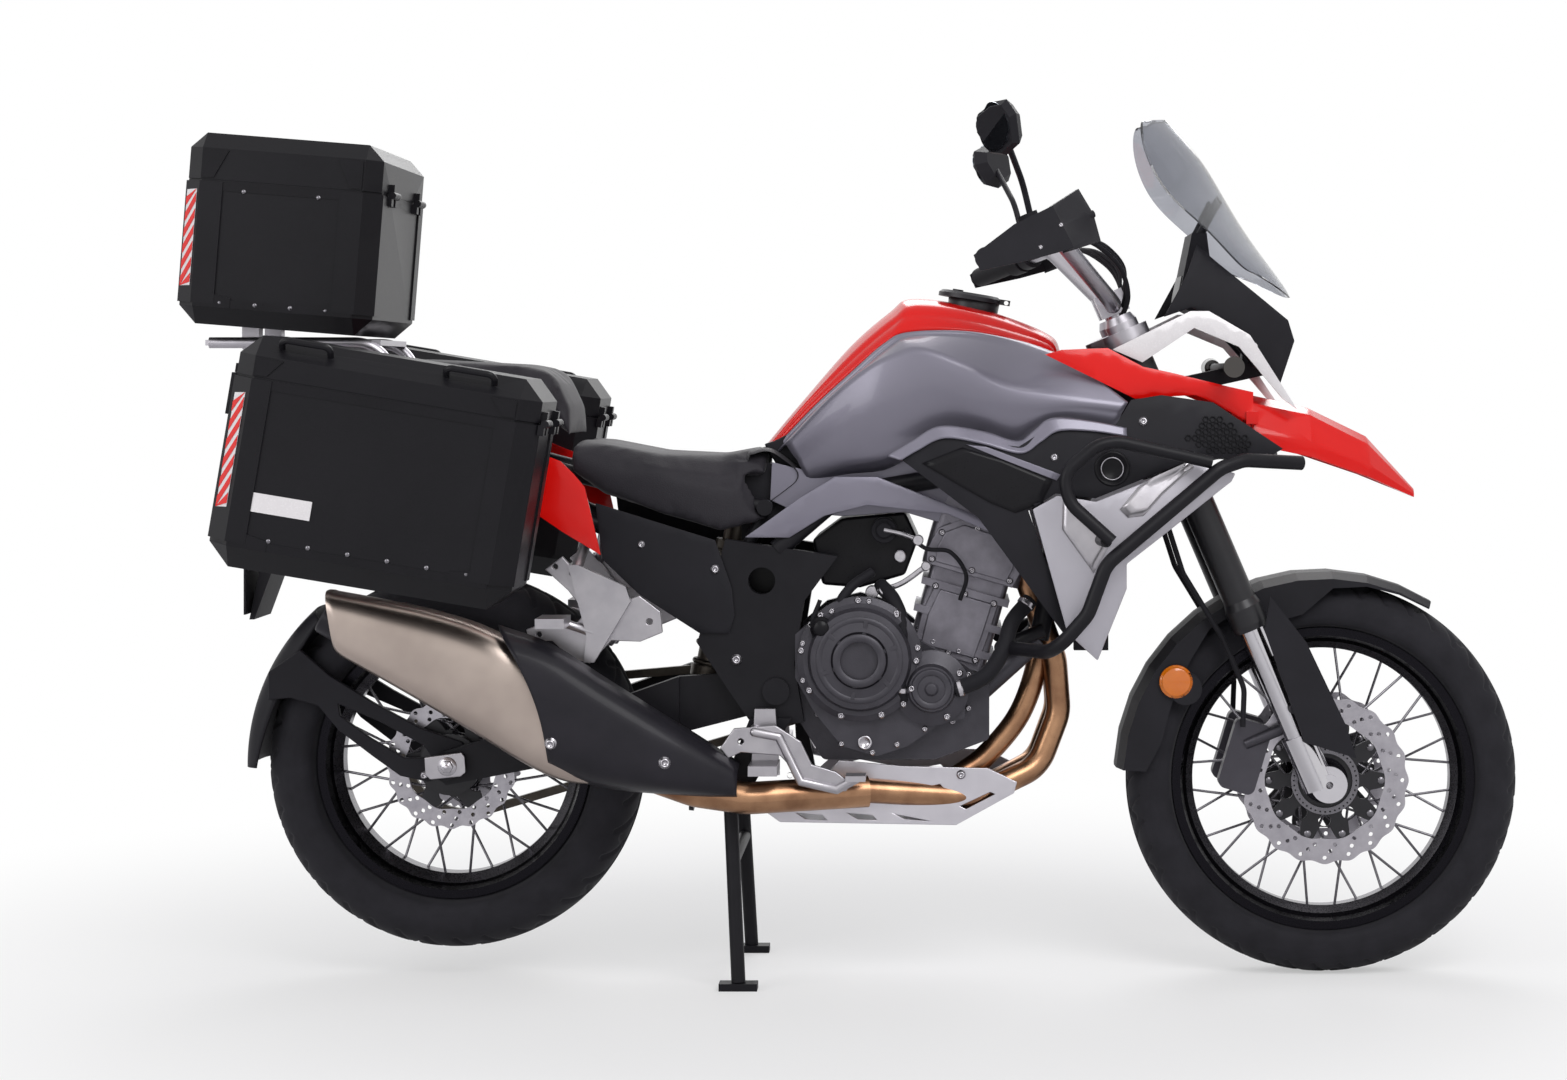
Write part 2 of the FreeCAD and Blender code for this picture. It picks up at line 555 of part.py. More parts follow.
def front_fender():
    """An arched fender, deep at the fork, with a fork guard plate and a reflector each side."""
    inner = s.front_tyre_radius + s.fender_gap - s.fender_wall
    sections = []
    for index in range(FENDER_STATIONS):
        share = index / (FENDER_STATIONS - 1)
        angle = math.radians(s.fender_front_degrees
                             + share * (s.fender_rear_degrees - s.fender_front_degrees))
        width = s.fender_half_width * min(1, FENDER_TIP_SHARE + 2.2 * share)
        skirt = s.fender_skirt * (SKIRT_SHARES[index])
        half = [(inner + s.fender_wall, 0), (inner + s.fender_wall * 0.6, width * 0.5), (inner - s.fender_wall * 2, width),
                (inner - s.fender_wall * 2 - skirt, width)]
        back = [(inner - s.fender_wall * 2 - skirt, width - s.fender_wall),
                (inner - s.fender_wall * 2.6, width - s.fender_wall), (inner - s.fender_wall * 0.4, width * 0.5),
                (inner, 0)]
        ring = half + back + [(r, -y) for r, y in reversed(back[:-1])] + [(r, -y) for r, y in reversed(half[1:])]
        sections.append([(front_axle.x + r * math.cos(angle), y, front_axle.z + r * math.sin(angle))
                         for r, y in ring])
    shell = loft(sections)
    panel = plate(local(FORK_GUARD_SHARES, front_axle.x, front_axle.z, s.front_tyre_radius, s.front_tyre_radius),
                  -s.guard_plate_offset - s.guard_plate_thickness, -s.guard_plate_offset)
    strut = block((front_axle.x - s.front_tyre_radius * 0.24, -s.guard_plate_offset - s.guard_plate_thickness,
                   front_axle.z + s.front_tyre_radius * 0.62),
                  (front_axle.x - s.front_tyre_radius * 0.12, -s.fender_half_width + s.fender_wall,
                   front_axle.z + s.front_tyre_radius * 0.66))
    disc_place = Vector(front_axle.x - s.front_tyre_radius * REFLECTOR_SHARES[0], -s.fender_half_width + s.fit_gap,
                        front_axle.z + s.front_tyre_radius * REFLECTOR_SHARES[1])
    reflector = Part.makeCylinder(s.reflector_radius, s.reflector_thickness, disc_place, Vector(0, -1, 0))
    boss_x = front_axle.x - s.front_tyre_radius * 0.178
    boss_z = front_axle.z + s.front_tyre_radius * 0.385
    boss = rod((boss_x, -s.guard_plate_offset - s.guard_plate_thickness / 2, boss_z), (boss_x, -s.leg_spacing, boss_z), s.guard_boss_radius)
    right = joined([panel, strut, boss.cut(doc.getObject("fork_lowers").Shape)])
    shapes = joined([shell, right, mirrored(right), reflector, mirrored(reflector)])
    for label in ("fork_uppers", "fork_lowers"):
        shapes = shapes.cut(doc.getObject(label).Shape)
    return piece("front_fender", shapes)


FENDER_TIP_SHARE = 0.55
SKIRT_SHARES = (0.04, 0.06, 0.1, 0.25, 0.9, 0.95, 0.3, 0.3, 0.55, 0.7, 0.85, 0.9, 0.6)
FORK_GUARD_SHARES = ((-0.30, 0.95), (-0.33, 0.78), (-0.13, 0.22), (0.13, 0.14), (0.08, 0.30), (-0.12, 0.72))
REFLECTOR_SHARES = (0.71, 0.47)
fork_lowers()
fork_uppers()
handlebar()
hand_controls()
mirrors()
hand_guards()
front_fender()


# Frame, engine and everything that the chassis carries low down.
sizes("Frame",
      frame_tube_radius=16, rear_tube_radius=13, plate_near=124, plate_thickness=26,
      plate_rear=-264, plate_length=205, plate_bottom=424, plate_rise=306,
      pivot_back=-136, pivot_height=481, pivot_radius=12, pivot_cap_radius=22, pivot_cap_width=8,
      spar_width=125, spar_head_height=905, spar_head_forward=415, spar_mid_forward=250,
      spar_mid_height=845, spar_foot_height=725, down_tube_forward=292, down_tube_foot=560,
      down_tube_width=88, frame_bend=90, rail_rear=-860, rail_rear_height=935, rail_height=815,
      rail_width=98, stay_foot_height=655, stay_height=790)
PIVOT_PLATE_SHARES = ((0.20, 0.99), (1.0, 0.90), (0.76, 0.66), (0.69, 0.33), (0.76, 0.02), (0.40, 0.0),
                      (0.25, 0.16), (0.0, 0.44))
PLATE_HOLE_SHARES = (0.51, 0.77)


def on_axis(height_along, ahead=0, side=0):
    """A point given in the steering frame, in the frame of the machine."""
    return steering_place.multVec(Vector(ahead, side, height_along))


def main_frame():
    """Head tube, two spars, down tubes, cross tubes and the two forged pivot plates."""
    low = s.lower_clamp_top + s.head_clearance
    high = s.clamp_top - s.clamp_thickness - s.head_clearance
    head = Part.makeCylinder(s.head_tube_radius, high - low, Vector(0, 0, low))
    head = head.cut(Part.makeCylinder(s.stem_radius + s.head_clearance, high - low, Vector(0, 0, low)))
    head.Placement = steering_place
    stem_space = Part.makeCylinder(s.stem_radius + s.head_clearance, high - low + 2 * s.cut_overrun,
                                   Vector(0, 0, low - s.cut_overrun))
    stem_space.Placement = steering_place
    r = s.frame_tube_radius
    upper = on_axis(high * 0.82)
    lower = on_axis(low + 2 * r)
    shapes = [head]
    for side in SIDES:
        spar = [(upper.x, side * r, upper.z), (s.spar_mid_forward, side * s.spar_width * 0.75, s.spar_mid_height),
                (s.pivot_back + s.plate_length * 0.5, side * s.spar_width, s.spar_mid_height - 3 * r),
                (s.pivot_back, side * (s.plate_near + s.plate_thickness / 2), s.spar_foot_height - r)]
        down = [(lower.x, side * r, lower.z), (lower.x - r * 3.4, side * r * 1.4, lower.z - r * 0.6),
                (s.down_tube_forward + 2 * r, side * s.down_tube_width, s.spar_foot_height),
                (s.down_tube_forward, side * s.down_tube_width, s.down_tube_foot)]
        shapes += [bent_tube(spar, r, s.frame_bend), bent_tube(down, r, s.frame_bend)]
        shapes.append(rod((s.spar_mid_forward, side * s.spar_width * 0.75, s.spar_mid_height),
                          (s.down_tube_forward + 2 * r, side * s.down_tube_width, s.spar_foot_height), r * 0.7))
    outline = local(PIVOT_PLATE_SHARES, s.plate_rear, s.plate_bottom, s.plate_length / PLATE_SPAN_SHARE,
                    s.plate_rise)
    window = local((PLATE_HOLE_SHARES,), s.plate_rear, s.plate_bottom, s.plate_length, s.plate_rise)[0]
    for side in SIDES:
        near, far = side * s.plate_near, side * (s.plate_near + s.plate_thickness)
        panel = plate(outline, near, far)
        hole = Part.makeCylinder(s.pivot_cap_radius, s.plate_thickness + 2 * s.cut_overrun,
                                 Vector(window[0], near - side * s.cut_overrun, window[1]), Vector(0, side, 0))
        shapes.append(panel.cut(hole))
        shapes.append(Part.makeCylinder(s.pivot_cap_radius, s.pivot_cap_width,
                                        Vector(s.pivot_back, far, s.pivot_height), Vector(0, side, 0)))
    width = s.plate_near + s.plate_thickness
    shapes.append(rod((s.pivot_back, -width, s.spar_foot_height - 2 * r), (s.pivot_back, width, s.spar_foot_height - 2 * r), r))
    shapes.append(rod((s.pivot_back, -width, s.pivot_height), (s.pivot_back, width, s.pivot_height), s.pivot_radius))
    whole = joined(shapes)
    return piece("main_frame", whole.cut(stem_space))


PLATE_SPAN_SHARE = 0.9


def subframe():
    """Rear frame: two top rails, two stays and three cross tubes."""
    r = s.rear_tube_radius
    shapes = []
    seat_front = (s.pivot_back - s.plate_length * 0.1, s.spar_foot_height + r)
    for side in SIDES:
        y = side * s.rail_width
        shapes.append(bent_tube([(seat_front[0], y, seat_front[1] + 3 * r), (s.plate_rear - s.plate_length * 0.7, y, s.rail_height),
                                 (s.rail_rear, y * 0.8, s.rail_rear_height)], r, s.frame_bend))
        shapes.append(bent_tube([(s.plate_rear + 4 * r, y, s.stay_foot_height), (s.plate_rear - s.plate_length, y, s.stay_height - 2 * r),
                                 (s.rail_rear * 0.9, y * 0.84, s.rail_rear_height - 2 * r)], r, s.frame_bend))
        shapes.append(rod((seat_front[0], y, seat_front[1] + 3 * r), (s.plate_rear + 4 * r, y, s.stay_foot_height), r * 0.8))
        shapes.append(rod((seat_front[0], y, seat_front[1] + 3 * r),
                          (seat_front[0], side * (s.plate_near - s.fit_gap), seat_front[1] + 3 * r), r))
        shapes.append(rod((s.plate_rear + 4 * r, y, s.stay_foot_height),
                          (s.plate_rear + 4 * r, side * (s.plate_near + s.plate_thickness / 2), s.stay_foot_height), r * 0.8))
    for x, z in ((s.rail_rear + 2 * r, s.rail_rear_height - r * 0.6), (s.plate_rear - s.plate_length * 0.7, s.rail_height),
                 (seat_front[0], seat_front[1] + 3 * r)):
        shapes.append(rod((x, -s.rail_width, z), (x, s.rail_width, z), r * 0.8))
    return piece("subframe", trimmed(joined(shapes), "main_frame"))


sizes("Engine",
      case_rear=-105, case_length=315, case_bottom=366, case_rise=235, case_half_width=118,
      cover_reach=190, cylinder_foot_forward=138, cylinder_foot_height=520, cylinder_lean=15.9,
      cylinder_radius=66, cylinder_rise=150, head_rise=105, head_half_depth=82, head_half_width=96,
      front_sprocket_forward=-58, front_sprocket_height=470, front_sprocket_radius=36,
      fin_gap=46, fin_thickness=12, fin_reach=8, clutch_height=534, clutch_radius=84,
      clutch_ring_radius=101, clutch_seat=150, pump_forward=116, pump_height=487, pump_radius=61,
      pump_cap_radius=40, generator_radius=92, generator_forward=20, generator_height=486, edge_round=10)
CASE_SHARES = ((0.0, 0.62), (0.0, 0.30), (0.14, 0.0), (0.72, 0.0), (1.0, 0.14), (1.0, 0.52), (0.78, 0.72),
               (0.62, 0.84), (0.42, 1.0), (0.14, 0.92))
SIDE_COVER_SHARES = ((0.0, 0.88), (0.13, 1.03), (0.31, 1.09), (0.48, 1.03), (0.60, 0.90), (0.67, 0.72), (0.84, 0.64),
                     (0.88, 0.44), (0.87, 0.30), (0.74, 0.26), (0.58, 0.11), (0.42, 0.04), (0.24, 0.11), (0.10, 0.34),
                     (0.0, 0.58))


def engine_case():
    """The crankcase, one closed block under the cylinder, with its mounting ears."""
    outline = local(CASE_SHARES, s.case_rear, s.case_bottom, s.case_length, s.case_rise)
    body = plate(outline, -s.case_half_width, s.case_half_width)
    edges = [edge for edge in body.Edges if abs(edge.Vertexes[0].Y - edge.Vertexes[-1].Y) > s.case_half_width]
    body = body.makeFillet(s.edge_round, edges)
    ears = []
    for side in SIDES:
        y = side * s.down_tube_width
        ears.append(rod((s.case_rear + s.case_length * 0.95, y, s.case_bottom + s.case_rise * 0.45),
                        (s.down_tube_forward, y, s.down_tube_foot - s.fit_gap), s.frame_tube_radius))
        ears.append(rod((s.case_rear + s.edge_round, side * s.case_half_width * 0.8, s.pivot_height + s.case_rise * 0.3),
                        (s.case_rear + s.edge_round, side * (s.plate_near - s.fit_gap), s.pivot_height + s.case_rise * 0.3),
                        s.frame_tube_radius))
    pocket_radius = s.front_sprocket_radius + s.chain_depth + s.fin_reach
    low = s.chain_offset - s.chain_width
    pocket = Part.makeCylinder(pocket_radius, s.case_half_width, Vector(s.front_sprocket_forward, low, s.front_sprocket_height), Vector(0, 1, 0))
    tail = block((s.case_rear - pocket_radius, low, s.front_sprocket_height - pocket_radius),
                 (s.front_sprocket_forward, low + s.case_half_width, s.front_sprocket_height + pocket_radius))
    whole = joined([body] + ears).cut(pocket.fuse(tail))
    return piece("engine_case", trimmed(whole, "main_frame"))


def cylinder_block():
    """The ribbed water-cooled cylinder with its head and cam cover, leaning forward."""
    wide = s.cylinder_radius + s.fin_reach
    jacket = block((-s.cylinder_radius, -wide, 0), (s.cylinder_radius, wide, s.cylinder_rise))
    jacket_edges = [edge for edge in jacket.Edges if abs(edge.Vertexes[0].Z - edge.Vertexes[-1].Z) > s.head_rise]
    shapes = [jacket.makeFillet(s.edge_round, jacket_edges)]
    count = int(s.cylinder_rise / s.fin_gap)
    for index in range(count):
        low = s.fin_gap * (index + 0.5)
        reach = s.cylinder_radius + s.fin_reach
        fin = block((-reach, -reach * 1.12, low), (reach, reach * 1.12, low + s.fin_thickness))
        shapes.append(fin)
    depth, width = s.head_half_depth, s.head_half_width
    top = s.cylinder_rise + s.head_rise
    head = block((-depth, -width, s.cylinder_rise), (depth, width, top))
    upright = [edge for edge in head.Edges if abs(edge.Vertexes[0].Z - edge.Vertexes[-1].Z) > s.head_rise / 2]
    shapes.append(head.makeFillet(s.edge_round * 1.6, upright))
    for side in SIDES:
        shapes.append(Part.makeCylinder(depth * 0.42, 2 * width + s.edge_round, Vector(side * depth * 0.45, -width - s.edge_round / 2, top),
                                        Vector(0, 1, 0)))
    place = Placement(Vector(s.cylinder_foot_forward, 0, s.cylinder_foot_height + s.fit_gap),
                      Rotation(Vector(0, 1, 0), s.cylinder_lean))
    cutter = plate(local(CASE_SHARES, s.case_rear, s.case_bottom, s.case_length, s.case_rise),
                   -s.case_half_width - s.fin_gap, s.case_half_width + s.fin_gap)
    whole = joined(shapes)
    whole.Placement = place
    return piece("cylinder_block", whole.cut(cutter))


def engine_covers():
    """Clutch, pump and side covers on the right and the generator cover on the left."""
    near = s.case_half_width + s.fit_gap
    outline = local(SIDE_COVER_SHARES, s.case_rear, s.case_bottom, s.case_length, s.case_rise)
    panel = plate(outline, -near - (s.clutch_seat - s.case_half_width), -near)
    clutch = turned([(0, 0), (s.clutch_ring_radius, 0), (s.clutch_ring_radius, s.edge_round * 1.4),
                     (s.clutch_ring_radius - s.edge_round, s.edge_round * 2), (s.clutch_radius, s.edge_round * 2),
                     (s.clutch_radius - s.edge_round / 2, s.edge_round * 3.4), (s.clutch_radius * 0.55, s.edge_round * 4),
                     (s.clutch_radius * 0.5, s.edge_round * 3.6), (0, s.edge_round * 3.6)])
    clutch.Placement = Placement(Vector(0, -s.clutch_seat, s.clutch_height), Rotation(Vector(1, 0, 0), 90))
    pump = turned([(0, 0), (s.pump_radius, 0), (s.pump_radius, s.edge_round), (s.pump_cap_radius, s.edge_round * 2),
                   (s.pump_cap_radius * 0.9, s.edge_round * 3), (0, s.edge_round * 3.2)])
    pump.Placement = Placement(Vector(s.pump_forward, -s.clutch_seat, s.pump_height), Rotation(Vector(1, 0, 0), 90))
    right = joined([panel, clutch, pump])
    left_panel = plate(outline, near, near + s.edge_round * 2)
    generator = turned([(0, 0), (s.generator_radius, 0), (s.generator_radius, s.edge_round * 2),
                        (s.generator_radius * 0.8, s.edge_round * 3.2), (0, s.edge_round * 3.6)])
    generator.Placement = Placement(Vector(s.generator_forward, near + s.edge_round * 2, s.generator_height),
                                    Rotation(Vector(1, 0, 0), -90))
    left = joined([left_panel, generator])
    return piece("engine_covers", Part.makeCompound([trimmed(half, "main_frame", "engine_case") for half in (right, left)]))


sizes("Radiator and exhaust",
      radiator_rear=352, radiator_length=44, radiator_bottom=560, radiator_rise=172, radiator_half_width=150,
      radiator_tank=26, header_radius=20, header_spacing=52, header_bend=95, muffler_front=-498,
      muffler_front_height=420, muffler_length=385, muffler_height=136, muffler_thickness=104,
      muffler_offset=205, muffler_rise_degrees=30, shield_offset=262, shield_post_radius=8, shield_thickness=4,
      shield_rear=-584, shield_length=381, shield_bottom=308, shield_rise=277, outlet_radius=24,
      pipe_offset=150)
HEADER_SHARES = ((1.0, 1.0), (1.12, 0.80), (1.16, 0.45), (0.95, 0.10), (0.30, -0.08), (-0.9, -0.02))
MUFFLER_SHARES = ((-0.5, -0.30), (-0.36, -0.5), (0.30, -0.5), (0.5, -0.28), (0.5, 0.30), (0.34, 0.5), (-0.34, 0.5),
                  (-0.5, 0.30))
SHIELD_SHARES = ((0.0, 1.0), (0.52, 0.61), (0.71, 0.32), (0.99, 0.19), (1.0, 0.0), (0.74, 0.03), (0.13, 0.27),
                 (0.16, 0.48), (0.0, 0.92))
SHIELD_POST_SHARES = ((0.22, 0.62), (0.62, 0.15))


def radiator():
    """A cross-flow radiator with two side tanks and a row of shallow tube ribs in front."""
    core = block((s.radiator_rear, -s.radiator_half_width, s.radiator_bottom),
                 (s.radiator_rear + s.radiator_length, s.radiator_half_width, s.radiator_bottom + s.radiator_rise))
    shapes = [core]
    for side in SIDES:
        y = side * s.radiator_half_width
        low = min(y, y - side * s.radiator_tank)
        shapes.append(block((s.radiator_rear - s.radiator_tank * 0.2, low, s.radiator_bottom - s.radiator_tank / 2),
                            (s.radiator_rear + s.radiator_length * 1.15, low + s.radiator_tank,
                             s.radiator_bottom + s.radiator_rise + s.radiator_tank / 2)))
        shapes.append(rod((s.radiator_rear + s.radiator_length / 2, side * s.down_tube_width, s.spar_foot_height),
                          (s.down_tube_forward + s.frame_tube_radius * 2.6, side * s.down_tube_width, s.spar_foot_height),
                          s.frame_tube_radius / 2))
    return piece("radiator", trimmed(joined(shapes), "main_frame"))


def exhaust_pipes():
    """Two header pipes from the head, down in front of the engine and back along the right."""
    foot = s.cylinder_foot_forward
    drop = s.cylinder_foot_height - s.case_bottom
    port = Placement(Vector(foot, 0, s.cylinder_foot_height), Rotation(Vector(0, 1, 0), s.cylinder_lean))
    shapes = []
    for side in SIDES:
        y = side * s.header_spacing
        start = port.multVec(Vector(s.head_half_depth + s.fit_gap, y, s.cylinder_rise + s.head_rise * 0.3))
        points = [tuple(start)]
        for index, (across, up) in enumerate(HEADER_SHARES[1:]):
            inward = HEADER_SIDE_SHARES[index]
            merge = -s.pipe_offset * (1 - inward)
            points.append((foot + across * drop * 1.05, y * inward + merge * 0.94 + side * s.header_radius * 0.2 * (1 - inward),
                           s.case_bottom + up * drop * 1.62 - s.header_radius * 2.1))
        shapes.append(bent_tube(points, s.header_radius, s.header_bend * 0.7))
    whole = joined(shapes)
    last = points[-1]
    link = [(last[0] + s.header_radius, -s.pipe_offset, last[2]),
            (s.plate_rear + s.plate_length * 0.4, -s.muffler_offset * 0.94, last[2] - s.header_radius * 0.3),
            (s.plate_rear, -s.muffler_offset * 0.94, last[2] + s.header_radius * 0.3),
            (s.muffler_front + s.header_radius * 2, -s.muffler_offset, s.muffler_front_height - s.header_radius * 1.2),
            (s.muffler_front - s.header_radius * 2, -s.muffler_offset, s.muffler_front_height + s.header_radius)]
    whole = joined([whole, bent_tube(link, s.header_radius * 1.3, s.header_bend)])
    return piece("exhaust_pipes", trimmed(whole, "cylinder_block"))


HEADER_SIDE_SHARES = (1.0, 1.0, 0.85, 0.4, 0.1)


def muffler():
    """A five-sided brushed can, tapered at its front, with a recessed end plate and an outlet."""
    length = s.muffler_length
    sections = []
    for along, scale in ((-0.06, 0.42), (0.10, 0.78), (0.30, 1.0), (0.94, 1.0), (1.0, 0.93)):
        ring = [(-along * length, across * s.muffler_thickness * scale, up * s.muffler_height * scale)
                for across, up in MUFFLER_SHARES]
        sections.append(ring)
    can = loft(sections)
    outlet = Part.makeCylinder(s.outlet_radius, s.outlet_radius, Vector(-length * 1.02, 0, -s.muffler_height * 0.12), Vector(-1, 0, -0.2))
    hole = Part.makeCylinder(s.outlet_radius * 0.8, s.outlet_radius * 2, Vector(-length * 0.98, 0, -s.muffler_height * 0.12), Vector(-1, 0, -0.2))
    whole = joined([can, outlet]).cut(hole)
    inlet = Part.makeCylinder(s.header_radius * 1.3 + s.fit_gap, length * 0.5, Vector(s.header_radius * 2.4, 0, 0), Vector(-1, 0, 0))
    place = Placement(Vector(s.muffler_front, -s.muffler_offset, s.muffler_front_height + s.header_radius),
                      Rotation(Vector(0, 1, 0), s.muffler_rise_degrees))
    whole.Placement = place
    return whole


def silencer():
    """The muffler, cut back round the link pipe that enters it, with its hanger tab."""
    can = muffler()
    pipes = doc.getObject("exhaust_pipes").Shape
    can = can.cut(pipes)
    can = max(can.Solids, key=lambda solid: solid.Volume)
    return piece("muffler", can)


def muffler_shield():
    """The pressed heat shield outside the link pipe, with one slot and two bolt bosses."""
    outline = local(SHIELD_SHARES, s.shield_rear, s.shield_bottom, s.shield_length, s.shield_rise)
    near = -s.shield_offset
    panel = plate(outline, near - s.shield_thickness, near)
    slot = block((s.shield_rear + s.shield_length * 0.22, near - s.shield_thickness - s.cut_overrun,
                  s.shield_bottom + s.shield_rise * 0.30),
                 (s.shield_rear + s.shield_length * 0.52, near + s.cut_overrun, s.shield_bottom + s.shield_rise * 0.36))
    shapes = [panel.cut(slot)]
    for across, up in SHIELD_POST_SHARES:
        x = s.shield_rear + s.shield_length * across
        z = s.shield_bottom + s.shield_rise * up
        shapes.append(rod((x, near, z), (x, -s.muffler_offset, z), s.shield_post_radius))
    return piece("muffler_shield", trimmed(joined(shapes), "muffler", "exhaust_pipes"))


sizes("Skid plate",
      skid_rear=-155, skid_length=411, skid_bottom=262, skid_rise=106, skid_half_width=132,
      skid_wall=4, window_height=14)
SKID_SHARES = ((0.0, 0.14), (0.17, 0.71), (0.29, 0.98), (0.58, 0.83), (0.74, 0.77), (0.89, 0.88), (1.0, 0.64),
               (0.76, 0.0), (0.14, 0.03))
SKID_WINDOW_SHARES = ((0.20, 0.40), (0.44, 0.62), (0.66, 0.80))


def skid_plate():
    """A folded alloy tray under the engine. Its side walls have windows and lightening holes."""
    outline = local(SKID_SHARES, s.skid_rear, s.skid_bottom, s.skid_length, s.skid_rise)
    wall = plate(outline, -s.skid_half_width, -s.skid_half_width + s.skid_wall)
    under = [outline[0], outline[8], outline[7], outline[6]]
    over = [(x - s.skid_wall, z + s.skid_wall) for x, z in reversed(under)]
    floor = plate(under + over, -s.skid_half_width, s.skid_half_width)
    tray = joined([wall, mirrored(wall), floor])
    cuts = []
    for start, end in SKID_WINDOW_SHARES:
        cuts.append(block((s.skid_rear + start * s.skid_length, -s.skid_half_width - s.cut_overrun,
                           s.skid_bottom + s.skid_rise * 0.56),
                          (s.skid_rear + end * s.skid_length, s.skid_half_width + s.cut_overrun,
                           s.skid_bottom + s.skid_rise * 0.56 + s.window_height)))
    for share in (0.18, 0.30, 0.42, 0.54, 0.66):
        cuts.append(Part.makeCylinder(s.window_height * 0.4, 2 * s.skid_half_width + 2 * s.cut_overrun,
                                      Vector(s.skid_rear + share * s.skid_length, -s.skid_half_width - s.cut_overrun,
                                             s.skid_bottom + s.skid_rise * 0.2), Vector(0, 1, 0)))
    return piece("skid_plate", trimmed(tray.cut(Part.makeCompound(cuts)), "exhaust_pipes", "engine_case"))


main_frame()
subframe()
engine_case()
cylinder_block()
engine_covers()
radiator()
exhaust_pipes()
silencer()
muffler_shield()
skid_plate()


# Swinging arm, chain, brakes, rests and stands.
sizes("Swinging arm",
      arm_pivot_radius=26, arm_spacing=104, arm_width=30, arm_height=62, arm_end_height=46,
      arm_crown=40, axle_block_length=66, axle_block_height=52, rear_axle_radius=14,
      rear_nut_radius=20, rear_nut_width=8, arm_clearance=14, litre_side=100)
ARM_SIDE_SHARES = ((0.0, 0.5), (0.0, -0.5), (0.62, -0.60), (1.0, -0.45), (1.04, 0.0), (1.0, 0.45), (0.62, 0.62),
                   (0.3, 0.95))


def swingarm():
    """Two box arms from the pivot to the axle, a cross brace in front of the wheel, and the axle."""
    run_x = rear_axle.x - s.pivot_back
    run_z = rear_axle.z - s.pivot_height
    outline = []
    for along, up in ARM_SIDE_SHARES:
        outline.append((s.pivot_back + along * run_x, s.pivot_height + along * run_z + up * s.arm_height))
    shapes = []
    for side in SIDES:
        near = side * s.arm_spacing
        shapes.append(plate(outline, near, near + side * s.arm_width))
        nut = near + side * s.arm_width
        shapes.append(Part.makeCylinder(s.rear_nut_radius, s.rear_nut_width, Vector(rear_axle.x, nut, rear_axle.z), Vector(0, side, 0)))
    brace_x = rear_axle.x + s.rear_tyre_radius + s.arm_clearance
    share = (brace_x - s.pivot_back) / run_x
    brace_z = s.pivot_height + share * run_z
    shapes.append(block((brace_x, -s.arm_spacing, brace_z - s.arm_height * 0.3),
                        (brace_x + s.arm_crown, s.arm_spacing, brace_z + s.arm_height * 0.3)))
    shapes.append(rod((s.pivot_back, -s.arm_spacing - s.arm_width + s.arm_clearance / 2, s.pivot_height),
                      (s.pivot_back, s.arm_spacing + s.arm_width - s.arm_clearance / 2, s.pivot_height), s.arm_pivot_radius))
    reach = s.arm_spacing + s.arm_width
    shapes.append(rod((rear_axle.x, -reach, rear_axle.z), (rear_axle.x, reach, rear_axle.z), s.rear_axle_radius - s.fit_gap))
    for side in SIDES:
        shapes.append(rod((rear_axle.x, side * (s.rear_hub_width / 2 + s.seat_gap), rear_axle.z),
                          (rear_axle.x, side * s.arm_spacing, rear_axle.z), s.hub_radius * 0.8))
    whole = joined(shapes)
    limit = s.plate_near - s.fit_gap
    slab = block((s.plate_rear - s.arm_height, -limit, 0), (s.case_rear - s.arm_clearance + s.arm_height, limit, s.seat_top_height))
    front = whole.common(slab)
    rest = whole.cut(block((s.plate_rear - s.arm_height / 2, -reach * 2, 0),
                           (s.case_rear + s.arm_height, reach * 2, s.seat_top_height)))
    pin = rod((s.pivot_back, -reach * 2, s.pivot_height), (s.pivot_back, reach * 2, s.pivot_height), s.pivot_radius + s.fit_gap)
    return piece("swingarm", joined([front, rest]).cut(pin))




def drive_chain():
    """The closed chain on the left: a loop of plates round both sprockets, and the small sprocket."""
    big, small = s.sprocket_radius + s.chain_clearance, s.front_sprocket_radius + s.chain_clearance
    start = Vector(s.front_sprocket_forward, 0, s.front_sprocket_height)
    end = Vector(rear_axle.x, 0, rear_axle.z)
    outer = chain_loop(start, end, small + s.chain_depth, big + s.chain_depth)
    inner = chain_loop(start, end, small, big)
    low = s.chain_offset - s.chain_width / 2
    band = Part.Face(outer).extrude(Vector(0, s.chain_width, 0))
    hole = Part.Face(inner).extrude(Vector(0, s.chain_width, 0))
    loop = band.cut(hole)
    loop.translate(Vector(0, low, 0))
    ring = toothed_ring(s.front_sprocket_radius, s.pivot_radius, -s.sprocket_thickness / 2, s.sprocket_thickness, 17)
    ring.Placement = Placement(Vector(start.x, s.chain_offset, start.z), wheel_turn)
    shaft = rod((start.x, s.front_hub_width / 2, start.z), (start.x, s.chain_offset + s.sprocket_thickness, start.z), s.pivot_radius)
    solids = [trimmed(shape, "engine_case", "swingarm") for shape in (loop, ring.fuse(shaft))]
    return piece("drive_chain", Part.makeCompound(solids))


